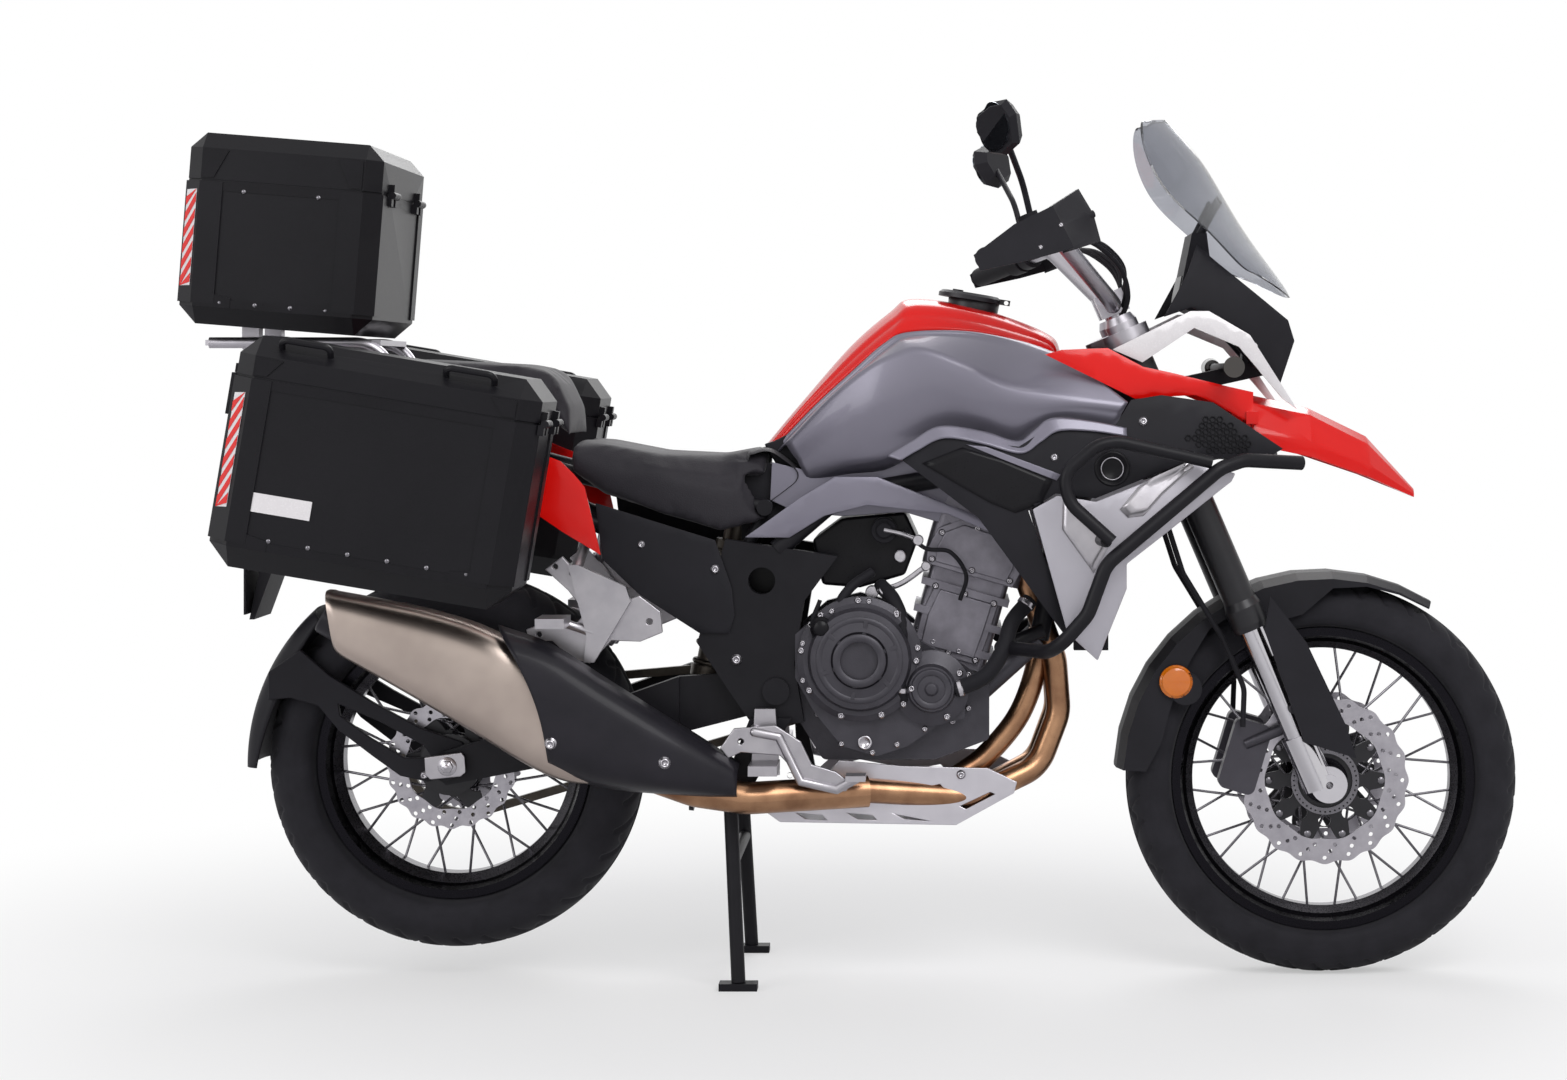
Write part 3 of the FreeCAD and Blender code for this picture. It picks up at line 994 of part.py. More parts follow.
def chain_loop(start, end, small, big):
    """The outline of a belt round two circles in the side view."""
    run = end - start
    along = Vector(run).normalize()
    across = Vector(-along.z, 0, along.x)
    lean = math.asin((big - small) / run.Length)
    corners = []
    for side in SIDES:
        normal = across * (side * math.cos(lean)) - along * math.sin(lean)
        corners.append((start + normal * small, end + normal * big))
    near, far = corners
    edges = [Part.LineSegment(near[0], near[1]).toShape(),
             Part.Arc(near[1], end + along * big, far[1]).toShape(),
             Part.LineSegment(far[1], far[0]).toShape(),
             Part.Arc(far[0], start - along * small, near[0]).toShape()]
    return Part.Wire(edges)


sizes("Rear fender and springing",
      hugger_gap=14, hugger_wall=4, hugger_half_width=86, hugger_front_degrees=62, hugger_rear_degrees=188,
      hugger_arm_radius=10, shock_radius=24, shock_spring_radius=34, shock_wire=9,
      shock_top_forward=-205, shock_top_height=745, shock_foot_forward=-262, shock_foot_height=455)
HUGGER_STATIONS = 10
SHOCK_COILS = 7


def rear_hugger():
    """A thin fender that follows the rear tyre, with two arms to the swinging arm on each side."""
    inner = s.rear_tyre_radius + s.hugger_gap
    sections = []
    for index in range(HUGGER_STATIONS):
        share = index / (HUGGER_STATIONS - 1)
        angle = math.radians(s.hugger_front_degrees + share * (s.hugger_rear_degrees - s.hugger_front_degrees))
        width = s.hugger_half_width * (0.7 + 0.3 * math.sin(math.pi * min(1, 0.35 + share * 0.5)))
        half = [(inner + s.hugger_wall, 0), (inner + s.hugger_wall * 0.5, width * 0.6), (inner - s.hugger_wall * 3, width),
                (inner - s.hugger_wall * 4, width)]
        back = [(inner - s.hugger_wall * 4, width - s.hugger_wall), (inner - s.hugger_wall * 0.7, width * 0.58), (inner, 0)]
        ring = half + back + [(r, -y) for r, y in reversed(back[:-1])] + [(r, -y) for r, y in reversed(half[1:])]
        sections.append([(rear_axle.x + r * math.cos(angle), y, rear_axle.z + r * math.sin(angle)) for r, y in ring])
    shell = loft(sections)
    arms = []
    outer = s.arm_spacing + s.arm_width + s.hugger_arm_radius + s.seat_gap
    for degrees, drop in HUGGER_ARM_SHARES:
        angle = math.radians(degrees * 180)
        top = (rear_axle.x + inner * math.cos(angle), -s.hugger_half_width * 0.9, rear_axle.z + inner * math.sin(angle))
        foot = (rear_axle.x - s.arm_height * 0.3, -outer, rear_axle.z + drop * s.arm_height)
        arms.append(rod(top, foot, s.hugger_arm_radius))
        arms.append(Part.makeSphere(s.hugger_arm_radius, Vector(*foot)))
    return piece("rear_hugger", trimmed(joined([shell] + arms + [mirrored(arm) for arm in arms]), "swingarm"))


HUGGER_ARM_SHARES = ((0.83, 0.2), (0.95, -0.1))


def shock_absorber():
    """A spring and damper between the swinging arm's linkage and the frame."""
    top = Vector(s.shock_top_forward, 0, s.shock_top_height)
    foot = Vector(s.shock_foot_forward, 0, s.shock_foot_height)
    run = foot - top
    length = run.Length
    shapes = [turned([(0, 0), (s.shock_radius, 0), (s.shock_radius, length * 0.45), (s.shock_radius * 0.5, length * 0.45),
                      (s.shock_radius * 0.5, length * 0.82), (s.shock_spring_radius, length * 0.82),
                      (s.shock_spring_radius, length * 0.88), (s.shock_radius * 0.7, length), (0, length)])]
    for index in range(SHOCK_COILS):
        height = length * (0.16 + 0.64 * index / (SHOCK_COILS - 1))
        shapes.append(Part.makeTorus(s.shock_spring_radius - s.shock_wire / 2, s.shock_wire / 2, Vector(0, 0, height)))
    collar = turned([(0, length * 0.1), (s.shock_spring_radius, length * 0.1), (s.shock_spring_radius, length * 0.15), (0, length * 0.15)])
    core = turned([(0, length * 0.15), (s.shock_spring_radius - s.shock_wire * 0.8, length * 0.15),
                   (s.shock_spring_radius - s.shock_wire * 0.8, length * 0.84), (0, length * 0.84)])
    whole = joined(shapes + [collar, core])
    whole.Placement = Placement(top, Rotation(Vector(0, 0, 1), run))
    upper = rod(tuple(top), (s.pivot_back - s.plate_length * 0.1, 0, s.spar_foot_height + 4 * s.rear_tube_radius), s.shock_radius * 0.6)
    brace_x = rear_axle.x + s.rear_tyre_radius + s.arm_clearance + s.arm_crown / 2
    share = (brace_x - s.pivot_back) / (rear_axle.x - s.pivot_back)
    lower = rod(tuple(foot), (brace_x, 0, s.pivot_height + share * (rear_axle.z - s.pivot_height)), s.shock_radius * 0.6)
    return piece("shock_absorber", trimmed(joined([whole, upper, lower]), "subframe", "swingarm"))


sizes("Rests and brake gear",
      peg_forward=-152, peg_height=364, peg_inner=162.3, peg_length=92, peg_width=46, peg_thickness=16,
      hanger_offset=166, hanger_thickness=14, pillion_peg_forward=-490, pillion_peg_height=598, pillion_peg_length=88,
      hanger_front=-369, hanger_length=101, hanger_bottom=530, hanger_rise=157, hanger_hole=20,
      pedal_thickness=9, pedal_offset=206, gear_offset=168, reservoir_radius=24, reservoir_height=38,
      reservoir_back=-347, reservoir_seat=553)
HANGER_SHARES = ((0.0, 1.0), (0.30, 0.27), (0.25, 0.0), (0.42, 0.0), (1.0, 0.63), (0.92, 0.78), (0.16, 1.0))
PEDAL_SHARES = ((0.0, 0.35), (0.10, 0.82), (0.26, 1.0), (0.44, 0.92), (0.60, 0.14), (0.86, 0.0), (1.0, 0.18))


def footrests():
    """Rider and pillion rests with their brackets, the brake pedal and the gear lever."""
    right = []
    peg = block((s.peg_forward - s.peg_width / 2, -s.peg_inner - s.peg_length, s.peg_height - s.peg_thickness / 2),
                (s.peg_forward + s.peg_width / 2, -s.peg_inner, s.peg_height + s.peg_thickness / 2))
    bracket = plate([(s.peg_forward - s.peg_width / 2, s.peg_height - s.peg_thickness),
                     (s.peg_forward + s.peg_width / 2, s.peg_height - s.peg_thickness),
                     (s.pivot_back, s.pivot_height - s.pivot_cap_radius * 1.2),
                     (s.pivot_back - s.pivot_cap_radius * 1.5, s.pivot_height - s.pivot_cap_radius * 1.2)],
                    -s.peg_inner - s.hanger_thickness, -s.peg_inner)
    right += [peg, bracket]
    hanger = plate(local(HANGER_SHARES, s.hanger_front - s.hanger_length, s.hanger_bottom, s.hanger_length, s.hanger_rise),
                   -s.hanger_offset - s.hanger_thickness, -s.hanger_offset)
    rest = block((s.pillion_peg_forward - s.peg_width / 2, -s.hanger_offset - s.pillion_peg_length, s.pillion_peg_height - s.peg_thickness / 2),
                 (s.pillion_peg_forward + s.peg_width / 2, -s.hanger_offset, s.pillion_peg_height + s.peg_thickness / 2))
    arm = rod((s.pillion_peg_forward, -s.hanger_offset - s.hanger_thickness / 2, s.pillion_peg_height),
              (s.hanger_front - s.hanger_length * 0.6, -s.hanger_offset - s.hanger_thickness / 2, s.hanger_bottom + s.hanger_rise * 0.3),
              s.pedal_thickness * 0.8)
    mount = rod((s.hanger_front - s.hanger_length * 0.7, -s.rail_width, s.stay_foot_height + s.hanger_rise * 0.6),
                (s.hanger_front - s.hanger_length * 0.9, -s.hanger_offset - s.hanger_thickness / 2, s.hanger_bottom + s.hanger_rise * 0.9), s.pedal_thickness)
    mount = trimmed(mount, "subframe")
    right.append(joined([hanger, rest, arm, mount]))
    pedal_points = local(PEDAL_SHARES, s.peg_forward - s.peg_width * 1.6, s.peg_height - s.peg_thickness * 2.2,
                         s.peg_length * 2.4, s.peg_length)
    pedal = [rod((a[0], -s.pedal_offset, a[1]), (b[0], -s.pedal_offset, b[1]), s.pedal_thickness * 0.8)
             for a, b in zip(pedal_points[2:], pedal_points[3:])]
    pedal += [Part.makeSphere(s.pedal_thickness * 0.8, Vector(x, -s.pedal_offset, z)) for x, z in pedal_points[2:]]
    pad_x, pad_z = pedal_points[-1]
    pedal.append(block((pad_x - s.peg_thickness, -s.pedal_offset - s.peg_width * 0.7, pad_z),
                       (pad_x + s.peg_thickness, -s.pedal_offset + s.peg_width * 0.3, pad_z + s.pedal_thickness)))
    root = pedal_points[2]
    pedal.append(rod((root[0], -s.pedal_offset, root[1]), (root[0], -s.peg_inner, root[1]), s.pedal_thickness))
    gear = [shape.copy() for shape in pedal]
    whole_right = [joined([peg, bracket] + pedal), joined([hanger, rest, arm, mount])]
    return piece("footrests", Part.makeCompound(whole_right + [mirrored(shape) for shape in whole_right]))


sizes("Calipers and hoses",
      caliper_wall=9, pad_gap=1.2, front_caliper_back=-178, front_caliper_rise=62, front_caliper_turn=40,
      rear_caliper_ahead=92, rear_caliper_rise=58, hose_bend=45)


def caliper(length, height, disc_near, disc_far, wall):
    """A bridge over the disc's edge: two blocks of pistons with the disc's slot between them."""
    low = min(disc_near, disc_far) - wall
    high = max(disc_near, disc_far) + wall
    body = block((-length / 2, low, -height / 2), (length / 2, high, height / 2))
    corners = [edge for edge in body.Edges if abs(edge.Vertexes[0].Y - edge.Vertexes[-1].Y) > wall]
    body = body.makeFillet(wall, corners)
    slot = block((-length, min(disc_near, disc_far) - s.pad_gap, -height), (length, max(disc_near, disc_far) + s.pad_gap, height * 0.28))
    return body.cut(slot)


def front_calipers():
    """Two calipers on the front discs, each on a lug that reaches the fork leg."""
    near = s.front_hub_width / 2 - s.hub_flange_thickness + s.disc_hub_gap
    shape = caliper(s.caliper_length, s.caliper_height, near, near + s.disc_thickness, s.caliper_wall * 1.4)
    turn = math.radians(180 - s.front_caliper_turn)
    reach = s.front_disc_radius - s.caliper_height * 0.12
    centre = Vector(s.fork_offset + s.axle_lead + reach * math.cos(turn), 0, -s.axle_drop + reach * math.sin(turn))
    shape.Placement = Placement(centre, Rotation(Vector(0, 1, 0), 90 - math.degrees(turn)))
    far = near + s.disc_thickness + s.caliper_wall
    lug = rod((centre.x + s.caliper_wall, far, centre.z + s.caliper_height * 0.3),
              (s.fork_offset, s.leg_spacing - s.stanchion_radius, centre.z + s.caliper_height * 0.3), s.caliper_wall)
    lug = lug.cut(Part.makeCylinder(s.stanchion_radius + s.fit_gap, s.axle_drop, Vector(s.fork_offset, s.leg_spacing, -s.axle_drop)))
    return piece("front_calipers", both(joined([shape, lug])), steering_place)


def rear_caliper():
    """The rear caliper on top of the right arm."""
    near = s.rear_hub_width / 2 - s.hub_flange_thickness + s.disc_hub_gap
    shape = caliper(s.caliper_length * 0.8, s.caliper_height * 0.8, near, near + s.disc_thickness, s.caliper_wall)
    shape = mirrored(shape)
    centre = Vector(rear_axle.x + s.rear_caliper_ahead, 0, rear_axle.z + s.rear_caliper_rise)
    angle = math.degrees(math.atan2(s.rear_caliper_rise, s.rear_caliper_ahead))
    shape.Placement = Placement(centre, Rotation(Vector(0, 1, 0), 90 - angle))
    hanger = block((centre.x - s.caliper_wall, -s.arm_spacing - s.caliper_wall, centre.z - s.rear_caliper_rise / 2 + s.caliper_wall),
                   (centre.x + s.caliper_wall, -near - s.disc_thickness - s.caliper_wall / 2, centre.z))
    hanger = hanger.cut(doc.getObject("swingarm").Shape)
    hanger = max(hanger.Solids, key=lambda solid: solid.Volume)
    return piece("rear_caliper", joined([shape, hanger]))


def brake_hoses():
    """Two brake hoses, held on the fork legs from the lower clamp down to the calipers."""
    behind = s.fork_offset - s.upper_collar_radius - s.hose_radius * 2
    route = [(behind + s.hose_radius, s.hose_spacing, s.lower_clamp_top - s.lower_clamp_thickness - s.fit_gap),
             (behind - s.hose_radius * 4, s.hose_spacing, s.lower_clamp_top - s.lower_clamp_thickness * 3),
             (behind - s.hose_radius * 6, s.hose_spacing, s.upper_bottom * 0.5),
             (behind - s.hose_radius * 2, s.hose_spacing, s.upper_bottom * 1.2),
             (behind - s.hose_radius * 2, s.hose_spacing, s.upper_bottom * 1.7),
             (behind - s.hose_radius * 8, s.hose_spacing, s.upper_bottom * 2.02)]
    tube = bent_tube(route, s.hose_radius, s.hose_bend)
    tube.Placement = steering_place
    return piece("brake_hoses", both(trimmed(tube, "front_calipers", "fork_uppers")))


sizes("Stands",
      centre_pivot_back=-212, centre_pivot_height=318, centre_pivot_width=132, centre_leg_radius=11.5,
      centre_foot_forward=-196, centre_foot_width=165, centre_foot_length=62, centre_foot_height=12,
      centre_bar_radius=10, side_pivot_back=-92, side_pivot_height=248, side_pivot_width=190,
      side_leg_length=205, side_leg_radius=12, side_foot_radius=26, side_foot_thickness=8,
      stand_pin_radius=8, stand_lug=14, bracket_thickness=12)


def centre_stand():
    """Two legs with feet on the ground, a cross tube, and the pivot sleeves under the frame."""
    shapes = []
    for side in SIDES:
        pivot = (s.centre_pivot_back, side * s.centre_pivot_width, s.centre_pivot_height)
        foot = (s.centre_foot_forward, side * s.centre_foot_width, s.centre_foot_height)
        shapes.append(rod(pivot, foot, s.centre_leg_radius))
        low = (s.centre_foot_forward - s.centre_foot_length / 2, side * s.centre_foot_width - s.centre_leg_radius * 1.4, 0)
        high = (s.centre_foot_forward + s.centre_foot_length / 2, side * s.centre_foot_width + s.centre_leg_radius * 1.4, s.centre_foot_height)
        shapes.append(block(low, high))
        y = side * (s.centre_pivot_width - s.stand_lug)
        shapes.append(rod((pivot[0], y, pivot[2]), (pivot[0], side * (s.centre_pivot_width + s.stand_lug), pivot[2]), s.centre_leg_radius * 1.5))
    height = s.centre_pivot_height * (1 - STAND_BAR_SHARE)
    share = STAND_BAR_SHARE
    across = s.centre_pivot_width + share * (s.centre_foot_width - s.centre_pivot_width)
    middle = s.centre_pivot_back + share * (s.centre_foot_forward - s.centre_pivot_back)
    shapes.append(rod((middle, -across, height), (middle, across, height), s.centre_bar_radius))
    pin = rod((s.centre_pivot_back, -s.centre_foot_width * 2, s.centre_pivot_height),
              (s.centre_pivot_back, s.centre_foot_width * 2, s.centre_pivot_height), s.stand_pin_radius + s.fit_gap)
    return piece("centre_stand", joined(shapes).cut(pin))


STAND_BAR_SHARE = 0.36


def stand_brackets():
    """Plates on the outside of the pivot plates that carry both stands on their pins."""
    shapes = []
    face = s.plate_near + s.plate_thickness
    for side in SIDES:
        points = [(s.centre_pivot_back - s.stand_lug * 1.6, s.centre_pivot_height - s.stand_lug * 1.4),
                  (s.centre_pivot_back + s.stand_lug * 1.6, s.centre_pivot_height - s.stand_lug * 1.4),
                  (s.plate_rear + s.plate_length * 0.75, s.plate_bottom + s.stand_lug),
                  (s.plate_rear + s.plate_length * 0.42, s.plate_bottom + s.stand_lug)]
        panel = plate(points, side * face, side * (face + s.bracket_thickness))
        pin = rod((s.centre_pivot_back, side * (s.centre_pivot_width - s.stand_lug), s.centre_pivot_height),
                  (s.centre_pivot_back, side * (face + s.bracket_thickness / 2), s.centre_pivot_height), s.stand_pin_radius)
        shapes.append([panel, pin])
    y = s.side_pivot_width
    top = s.plate_bottom + s.stand_lug
    lug_rear = s.plate_rear + s.plate_length * 0.68
    side_lug = plate([(s.side_pivot_back - s.stand_lug * 1.5, s.side_pivot_height - s.stand_lug),
                      (s.side_pivot_back + s.stand_lug * 1.5, s.side_pivot_height - s.stand_lug),
                      (lug_rear + s.stand_lug, top), (lug_rear, top)], y - s.stand_lug, y - s.fit_gap)
    pin = rod((s.side_pivot_back, y - s.stand_lug / 2, s.side_pivot_height),
              (s.side_pivot_back, y + s.stand_lug * 1.3, s.side_pivot_height), s.stand_pin_radius)
    spacer = block((lug_rear, face + s.bracket_thickness / 2, s.plate_bottom - s.stand_lug), (lug_rear + s.stand_lug, y - s.stand_lug / 2, top))
    right, left = shapes
    return piece("stand_brackets", Part.makeCompound([joined(right), joined(left + [side_lug, pin, spacer])]))


def side_stand():
    """The side stand, folded back along the left side. One leg, one foot and its pivot eye."""
    y = s.side_pivot_width + s.side_leg_radius + s.fit_gap
    pivot = Vector(s.side_pivot_back, y, s.side_pivot_height)
    eye = Part.makeCylinder(s.side_leg_radius * 1.7, s.stand_lug, Vector(pivot.x, s.side_pivot_width + s.fit_gap, pivot.z), Vector(0, 1, 0))
    tip = (pivot.x - s.side_leg_length, y + s.stand_lug * 0.6, pivot.z + s.stand_lug)
    leg = rod(tuple(pivot), tip, s.side_leg_radius * 0.95)
    foot = Part.makeCylinder(s.side_foot_radius, s.side_foot_thickness, Vector(tip[0], tip[1], tip[2]), Vector(-1, 0, 0.1))
    pin = rod((pivot.x, 0, pivot.z), (pivot.x, 2 * y, pivot.z), s.stand_pin_radius + s.fit_gap)
    return piece("side_stand", joined([eye, leg, foot]).cut(pin))


swingarm()
drive_chain()
rear_hugger()
shock_absorber()
footrests()
front_calipers()
rear_caliper()
brake_hoses()
centre_stand()
stand_brackets()
side_stand()


# Bodywork. Right-hand panels are drawn and then mirrored.
PANEL_GRID = 5


def curved_panel(outline, offset, bulge, thickness, toe=0, lean=0):
    """A right-hand panel with a side-view outline. It bulges outwards, and it can toe or lean."""
    low_x, high_x = min(x for x, z in outline) - thickness, max(x for x, z in outline) + thickness
    low_z, high_z = min(z for x, z in outline) - thickness, max(z for x, z in outline) + thickness
    grid = []
    for column in range(PANEL_GRID):
        along = column / (PANEL_GRID - 1)
        line = []
        for step in range(PANEL_GRID):
            up = step / (PANEL_GRID - 1)
            crown = (1 - (2 * along - 1) ** 2) * (1 - (2 * up - 1) ** 2)
            depth = offset + bulge * crown + toe * (along - 0.5) + lean * (up - 0.5)
            line.append(Vector(low_x + along * (high_x - low_x), -depth, low_z + up * (high_z - low_z)))
        grid.append(line)
    surface = Part.BSplineSurface()
    surface.interpolate(grid)
    slab = surface.toShape().extrude(Vector(0, thickness, 0))
    return slab.common(plate(outline, -offset - bulge - abs(toe) - abs(lean) - thickness, 0))


def cross_sections(table, rear, length, half_width, base, height):
    """Closed cross-sections from rows of an along share and half-section shares."""
    rows = []
    for along, half in table:
        rows.append(full_width([(rear + along * length, across * half_width, base + up * height)
                                for across, up in half]))
    return rows


sizes("Fuel tank",
      tank_rear=-158, tank_length=490, tank_half_width=180, tank_base=845, tank_height=275,
      wing_rear=300, wing_length=141, wing_base=895, wing_rise=118, wing_inner=150, wing_thickness=28,
      filler_forward=176, filler_radius=52, filler_ring=8, filler_rise=12, cap_thickness=11,
      cap_slope=9, cap_pin_radius=3.5, cap_lug=9, stripe_thickness=40, tank_mount_radius=12)
TANK_SHARES = (
    (0.016, ((0.25, 0.14), (0.40, 0.08), (0.50, 0.0), (0.52, -0.12), (0.45, -0.20))),
    (0.17, ((0.25, 0.47), (0.42, 0.40), (0.66, 0.22), (0.68, 0.0), (0.55, -0.13))),
    (0.32, ((0.25, 0.76), (0.50, 0.67), (0.86, 0.48), (0.84, 0.10), (0.60, -0.03))),
    (0.475, ((0.25, 1.0), (0.60, 0.81), (0.96, 0.68), (0.90, 0.20), (0.60, 0.03))),
    (0.625, ((0.28, 0.98), (0.62, 0.81), (1.0, 0.62), (0.94, 0.20), (0.60, 0.10))),
    (0.82, ((0.28, 0.88), (0.64, 0.75), (1.0, 0.49), (0.94, 0.22), (0.60, 0.17))),
    (0.97, ((0.30, 0.77), (0.66, 0.69), (1.0, 0.45), (0.94, 0.24), (0.75, 0.20))),
    (1.0, ((0.30, 0.70), (0.66, 0.62), (0.95, 0.43), (0.92, 0.26), (0.75, 0.23))))
WING_SHARES = ((0.0, 0.08), (0.30, 0.14), (0.94, 0.29), (1.0, 0.52), (0.35, 0.90), (0.0, 1.0))
STRIPE_EDGE_SHARES = ((0.0, 0.10), (0.03, 0.10), (0.24, 0.44), (0.40, 0.65), (0.50, 0.79), (0.56, 0.815), (0.72, 0.79), (1.0, 0.68))


def filler_place():
    """Where the filler stands on the tank's sloping top."""
    along = (s.filler_forward - s.tank_rear) / s.tank_length
    top = s.tank_base + s.tank_height * (TANK_SHARES[4][1][0][1] - (along - 0.625) * 0.5)
    return Placement(Vector(s.filler_forward, 0, top), Rotation(Vector(0, 1, 0), s.cap_slope))


def fuel_tank():
    """The tank and its red top band. The band's lower edge is one cut through both."""
    whole = loft(cross_sections(TANK_SHARES, s.tank_rear, s.tank_length, s.tank_half_width, s.tank_base, s.tank_height))
    wing = plate(local(WING_SHARES, s.wing_rear, s.wing_base, s.wing_length, s.wing_rise),
                 -s.wing_inner - s.wing_thickness, -s.wing_inner)
    edge = local(STRIPE_EDGE_SHARES, s.tank_rear, s.tank_base, s.tank_length, s.tank_height)
    above = edge + [(edge[-1][0] + s.wing_length, edge[-1][1] - s.wing_thickness),
                    (edge[-1][0] + s.wing_length, edge[-1][1] + s.tank_height), (edge[0][0], edge[-1][1] + s.tank_height)]
    upper = plate(above, -s.tank_half_width * 2, s.tank_half_width * 2)
    spars = doc.getObject("main_frame").Shape
    ring = Part.makeCylinder(s.filler_radius + s.filler_ring, s.filler_rise + s.stripe_thickness, Vector(0, 0, -s.stripe_thickness))
    ring.Placement = filler_place()
    band = joined([whole.common(upper), ring])
    lower = joined([whole.cut(upper), wing, mirrored(wing)]).cut(band).cut(spars)
    lower = max(lower.Solids, key=lambda solid: solid.Volume)
    piece("fuel_tank", lower)
    lug_space = block((s.filler_radius * 0.9, -s.cap_lug * 1.6, s.filler_rise - s.cap_lug * 1.4),
                      (s.filler_radius + s.filler_ring + s.cut_overrun, s.cap_lug * 1.6, s.filler_rise + s.cut_overrun))
    lug_space.Placement = filler_place()
    ears = []
    for side in SIDES:
        ear = block((s.filler_radius + s.cap_lug / 2, side * s.cap_lug * 2 - s.cap_lug / 2, 0),
                    (s.filler_radius + s.cap_lug * 1.8, side * s.cap_lug * 2 + s.cap_lug / 2, s.filler_rise + s.cap_lug))
        ear.Placement = filler_place()
        ears.append(ear)
    pin = Part.makeCylinder(s.cap_pin_radius, s.cap_lug * 4, Vector(s.filler_radius + s.cap_lug * 1.1, -s.cap_lug * 2, s.filler_rise + s.cap_lug / 2), Vector(0, 1, 0))
    pin.Placement = filler_place()
    return piece("tank_stripe", joined([band.cut(lug_space)] + ears + [pin]))


def filler_cap():
    """The hinged filler cap: a disc with a key boss and a knuckle at its front edge."""
    base = s.filler_rise + s.fit_gap
    disc = turned([(0, base), (s.filler_radius, base), (s.filler_radius, base + s.cap_thickness * 0.6),
                   (s.filler_radius * 0.9, base + s.cap_thickness), (0, base + s.cap_thickness)])
    knuckle = block((s.filler_radius * 0.9, -s.cap_lug, base), (s.filler_radius + s.cap_lug * 1.8, s.cap_lug, base + s.cap_thickness * 0.8))
    boss = Part.makeCylinder(s.cap_lug, s.cap_thickness * 1.3, Vector(-s.filler_radius * 0.4, 0, base))
    pin = Part.makeCylinder(s.cap_pin_radius + s.fit_gap, s.cap_lug * 6, Vector(s.filler_radius + s.cap_lug * 1.1, -s.cap_lug * 3, s.filler_rise + s.cap_lug / 2), Vector(0, 1, 0))
    return piece("filler_cap", joined([disc, knuckle, boss]).cut(pin), filler_place())


sizes("Seats",
      seat_rear=-470, seat_length=318, seat_half_width=148, seat_base=736, seat_height=147, seat_floor=833,
      seat_tunnel=114, pillion_rear=-850, pillion_length=372, pillion_half_width=128, pillion_base=952, pillion_height=62)
SEAT_SHARES = (
    (0.0, ((0.55, 1.0), (0.85, 0.96), (1.0, 0.85), (1.0, 0.68))),
    (0.16, ((0.55, 0.98), (0.85, 0.95), (1.0, 0.80), (1.0, 0.45))),
    (0.45, ((0.50, 0.86), (0.82, 0.84), (1.0, 0.70), (0.98, 0.20))),
    (0.76, ((0.42, 0.83), (0.66, 0.80), (0.86, 0.62), (0.92, 0.0))),
    (1.0, ((0.34, 0.93), (0.52, 0.90), (0.70, 0.72), (0.80, 0.10))))
PILLION_SHARES = (
    (0.0, ((0.40, 0.90), (0.80, 0.86), (0.92, 0.60), (0.92, 0.30))),
    (0.35, ((0.45, 1.0), (0.85, 0.95), (1.0, 0.60), (1.0, 0.12))),
    (0.80, ((0.45, 0.86), (0.86, 0.80), (1.0, 0.45), (1.0, 0.0))),
    (0.93, ((0.45, 0.72), (0.86, 0.66), (1.0, 0.30), (1.0, -0.10))),
    (1.0, ((0.45, -0.20), (0.80, -0.30), (0.95, -0.70), (0.95, -1.05))))


def rider_seat():
    """The rider's seat: a scooped cushion whose sides come down over the rails."""
    cushion = loft(cross_sections(SEAT_SHARES, s.seat_rear, s.seat_length, s.seat_half_width, s.seat_base, s.seat_height))
    tunnel = block((s.seat_rear * 2, -s.seat_tunnel, 0), (0, s.seat_tunnel, s.seat_floor))
    tank = doc.getObject("fuel_tank").Shape.copy()
    return piece("rider_seat", trimmed(cushion.cut(tunnel).cut(tank), "subframe", "tank_stripe"))


def pillion_seat():
    """The pillion seat, one step above the rider's."""
    return piece("pillion_seat", loft(cross_sections(PILLION_SHARES, s.pillion_rear, s.pillion_length, s.pillion_half_width, s.pillion_base, s.pillion_height)))


sizes("Side panels",
      panel_post_radius=6,
      panel_wall=4, shroud_rear=69, shroud_length=613, shroud_base=568, shroud_rise=393, shroud_offset=196,
      shroud_bulge=22, low_rear=278, low_length=324, low_base=537, low_rise=318, low_offset=222, low_bulge=22,
      knee_rear=-187, knee_length=406, knee_base=730, knee_rise=107, knee_offset=150, cover_rear=-428,
      cover_length=225, cover_base=575, cover_rise=222, cover_offset=155, cover_bulge=8, tail_rear=-850,
      tail_length=431, tail_base=702, tail_rise=262, tail_offset=155, tail_bulge=12)
SHROUD_SHARES = ((0.0, 0.735), (0.11, 0.855), (0.25, 0.80), (0.305, 0.79), (0.39, 0.875), (0.56, 0.88), (0.60, 0.98),
                 (0.68, 1.0), (0.815, 0.97), (1.0, 0.78), (0.965, 0.75), (0.76, 0.74), (0.505, 0.58), (0.40, 0.60),
                 (0.33, 0.53), (0.435, 0.05), (0.435, 0.0), (0.20, 0.50))
LOW_SHROUD_SHARES = ((0.0, 0.76), (0.12, 0.83), (0.31, 0.80), (0.80, 1.0), (1.0, 0.94), (0.98, 0.90), (0.46, 0.49),
                     (0.46, 0.365), (0.32, 0.0), (0.17, 0.14))
KNEE_SHARES = ((0.0, 0.0), (0.18, 0.0), (0.32, 0.33), (0.49, 0.49), (0.81, 0.36), (1.0, 0.05), (0.98, 0.26),
               (0.53, 0.92), (0.36, 0.92), (0.22, 0.60))
COVER_SHARES = ((0.0, 0.95), (0.86, 0.68), (0.98, 0.33), (1.0, 0.13), (0.96, 0.0), (0.75, 0.0), (0.31, 0.29),
                (0.05, 0.54))
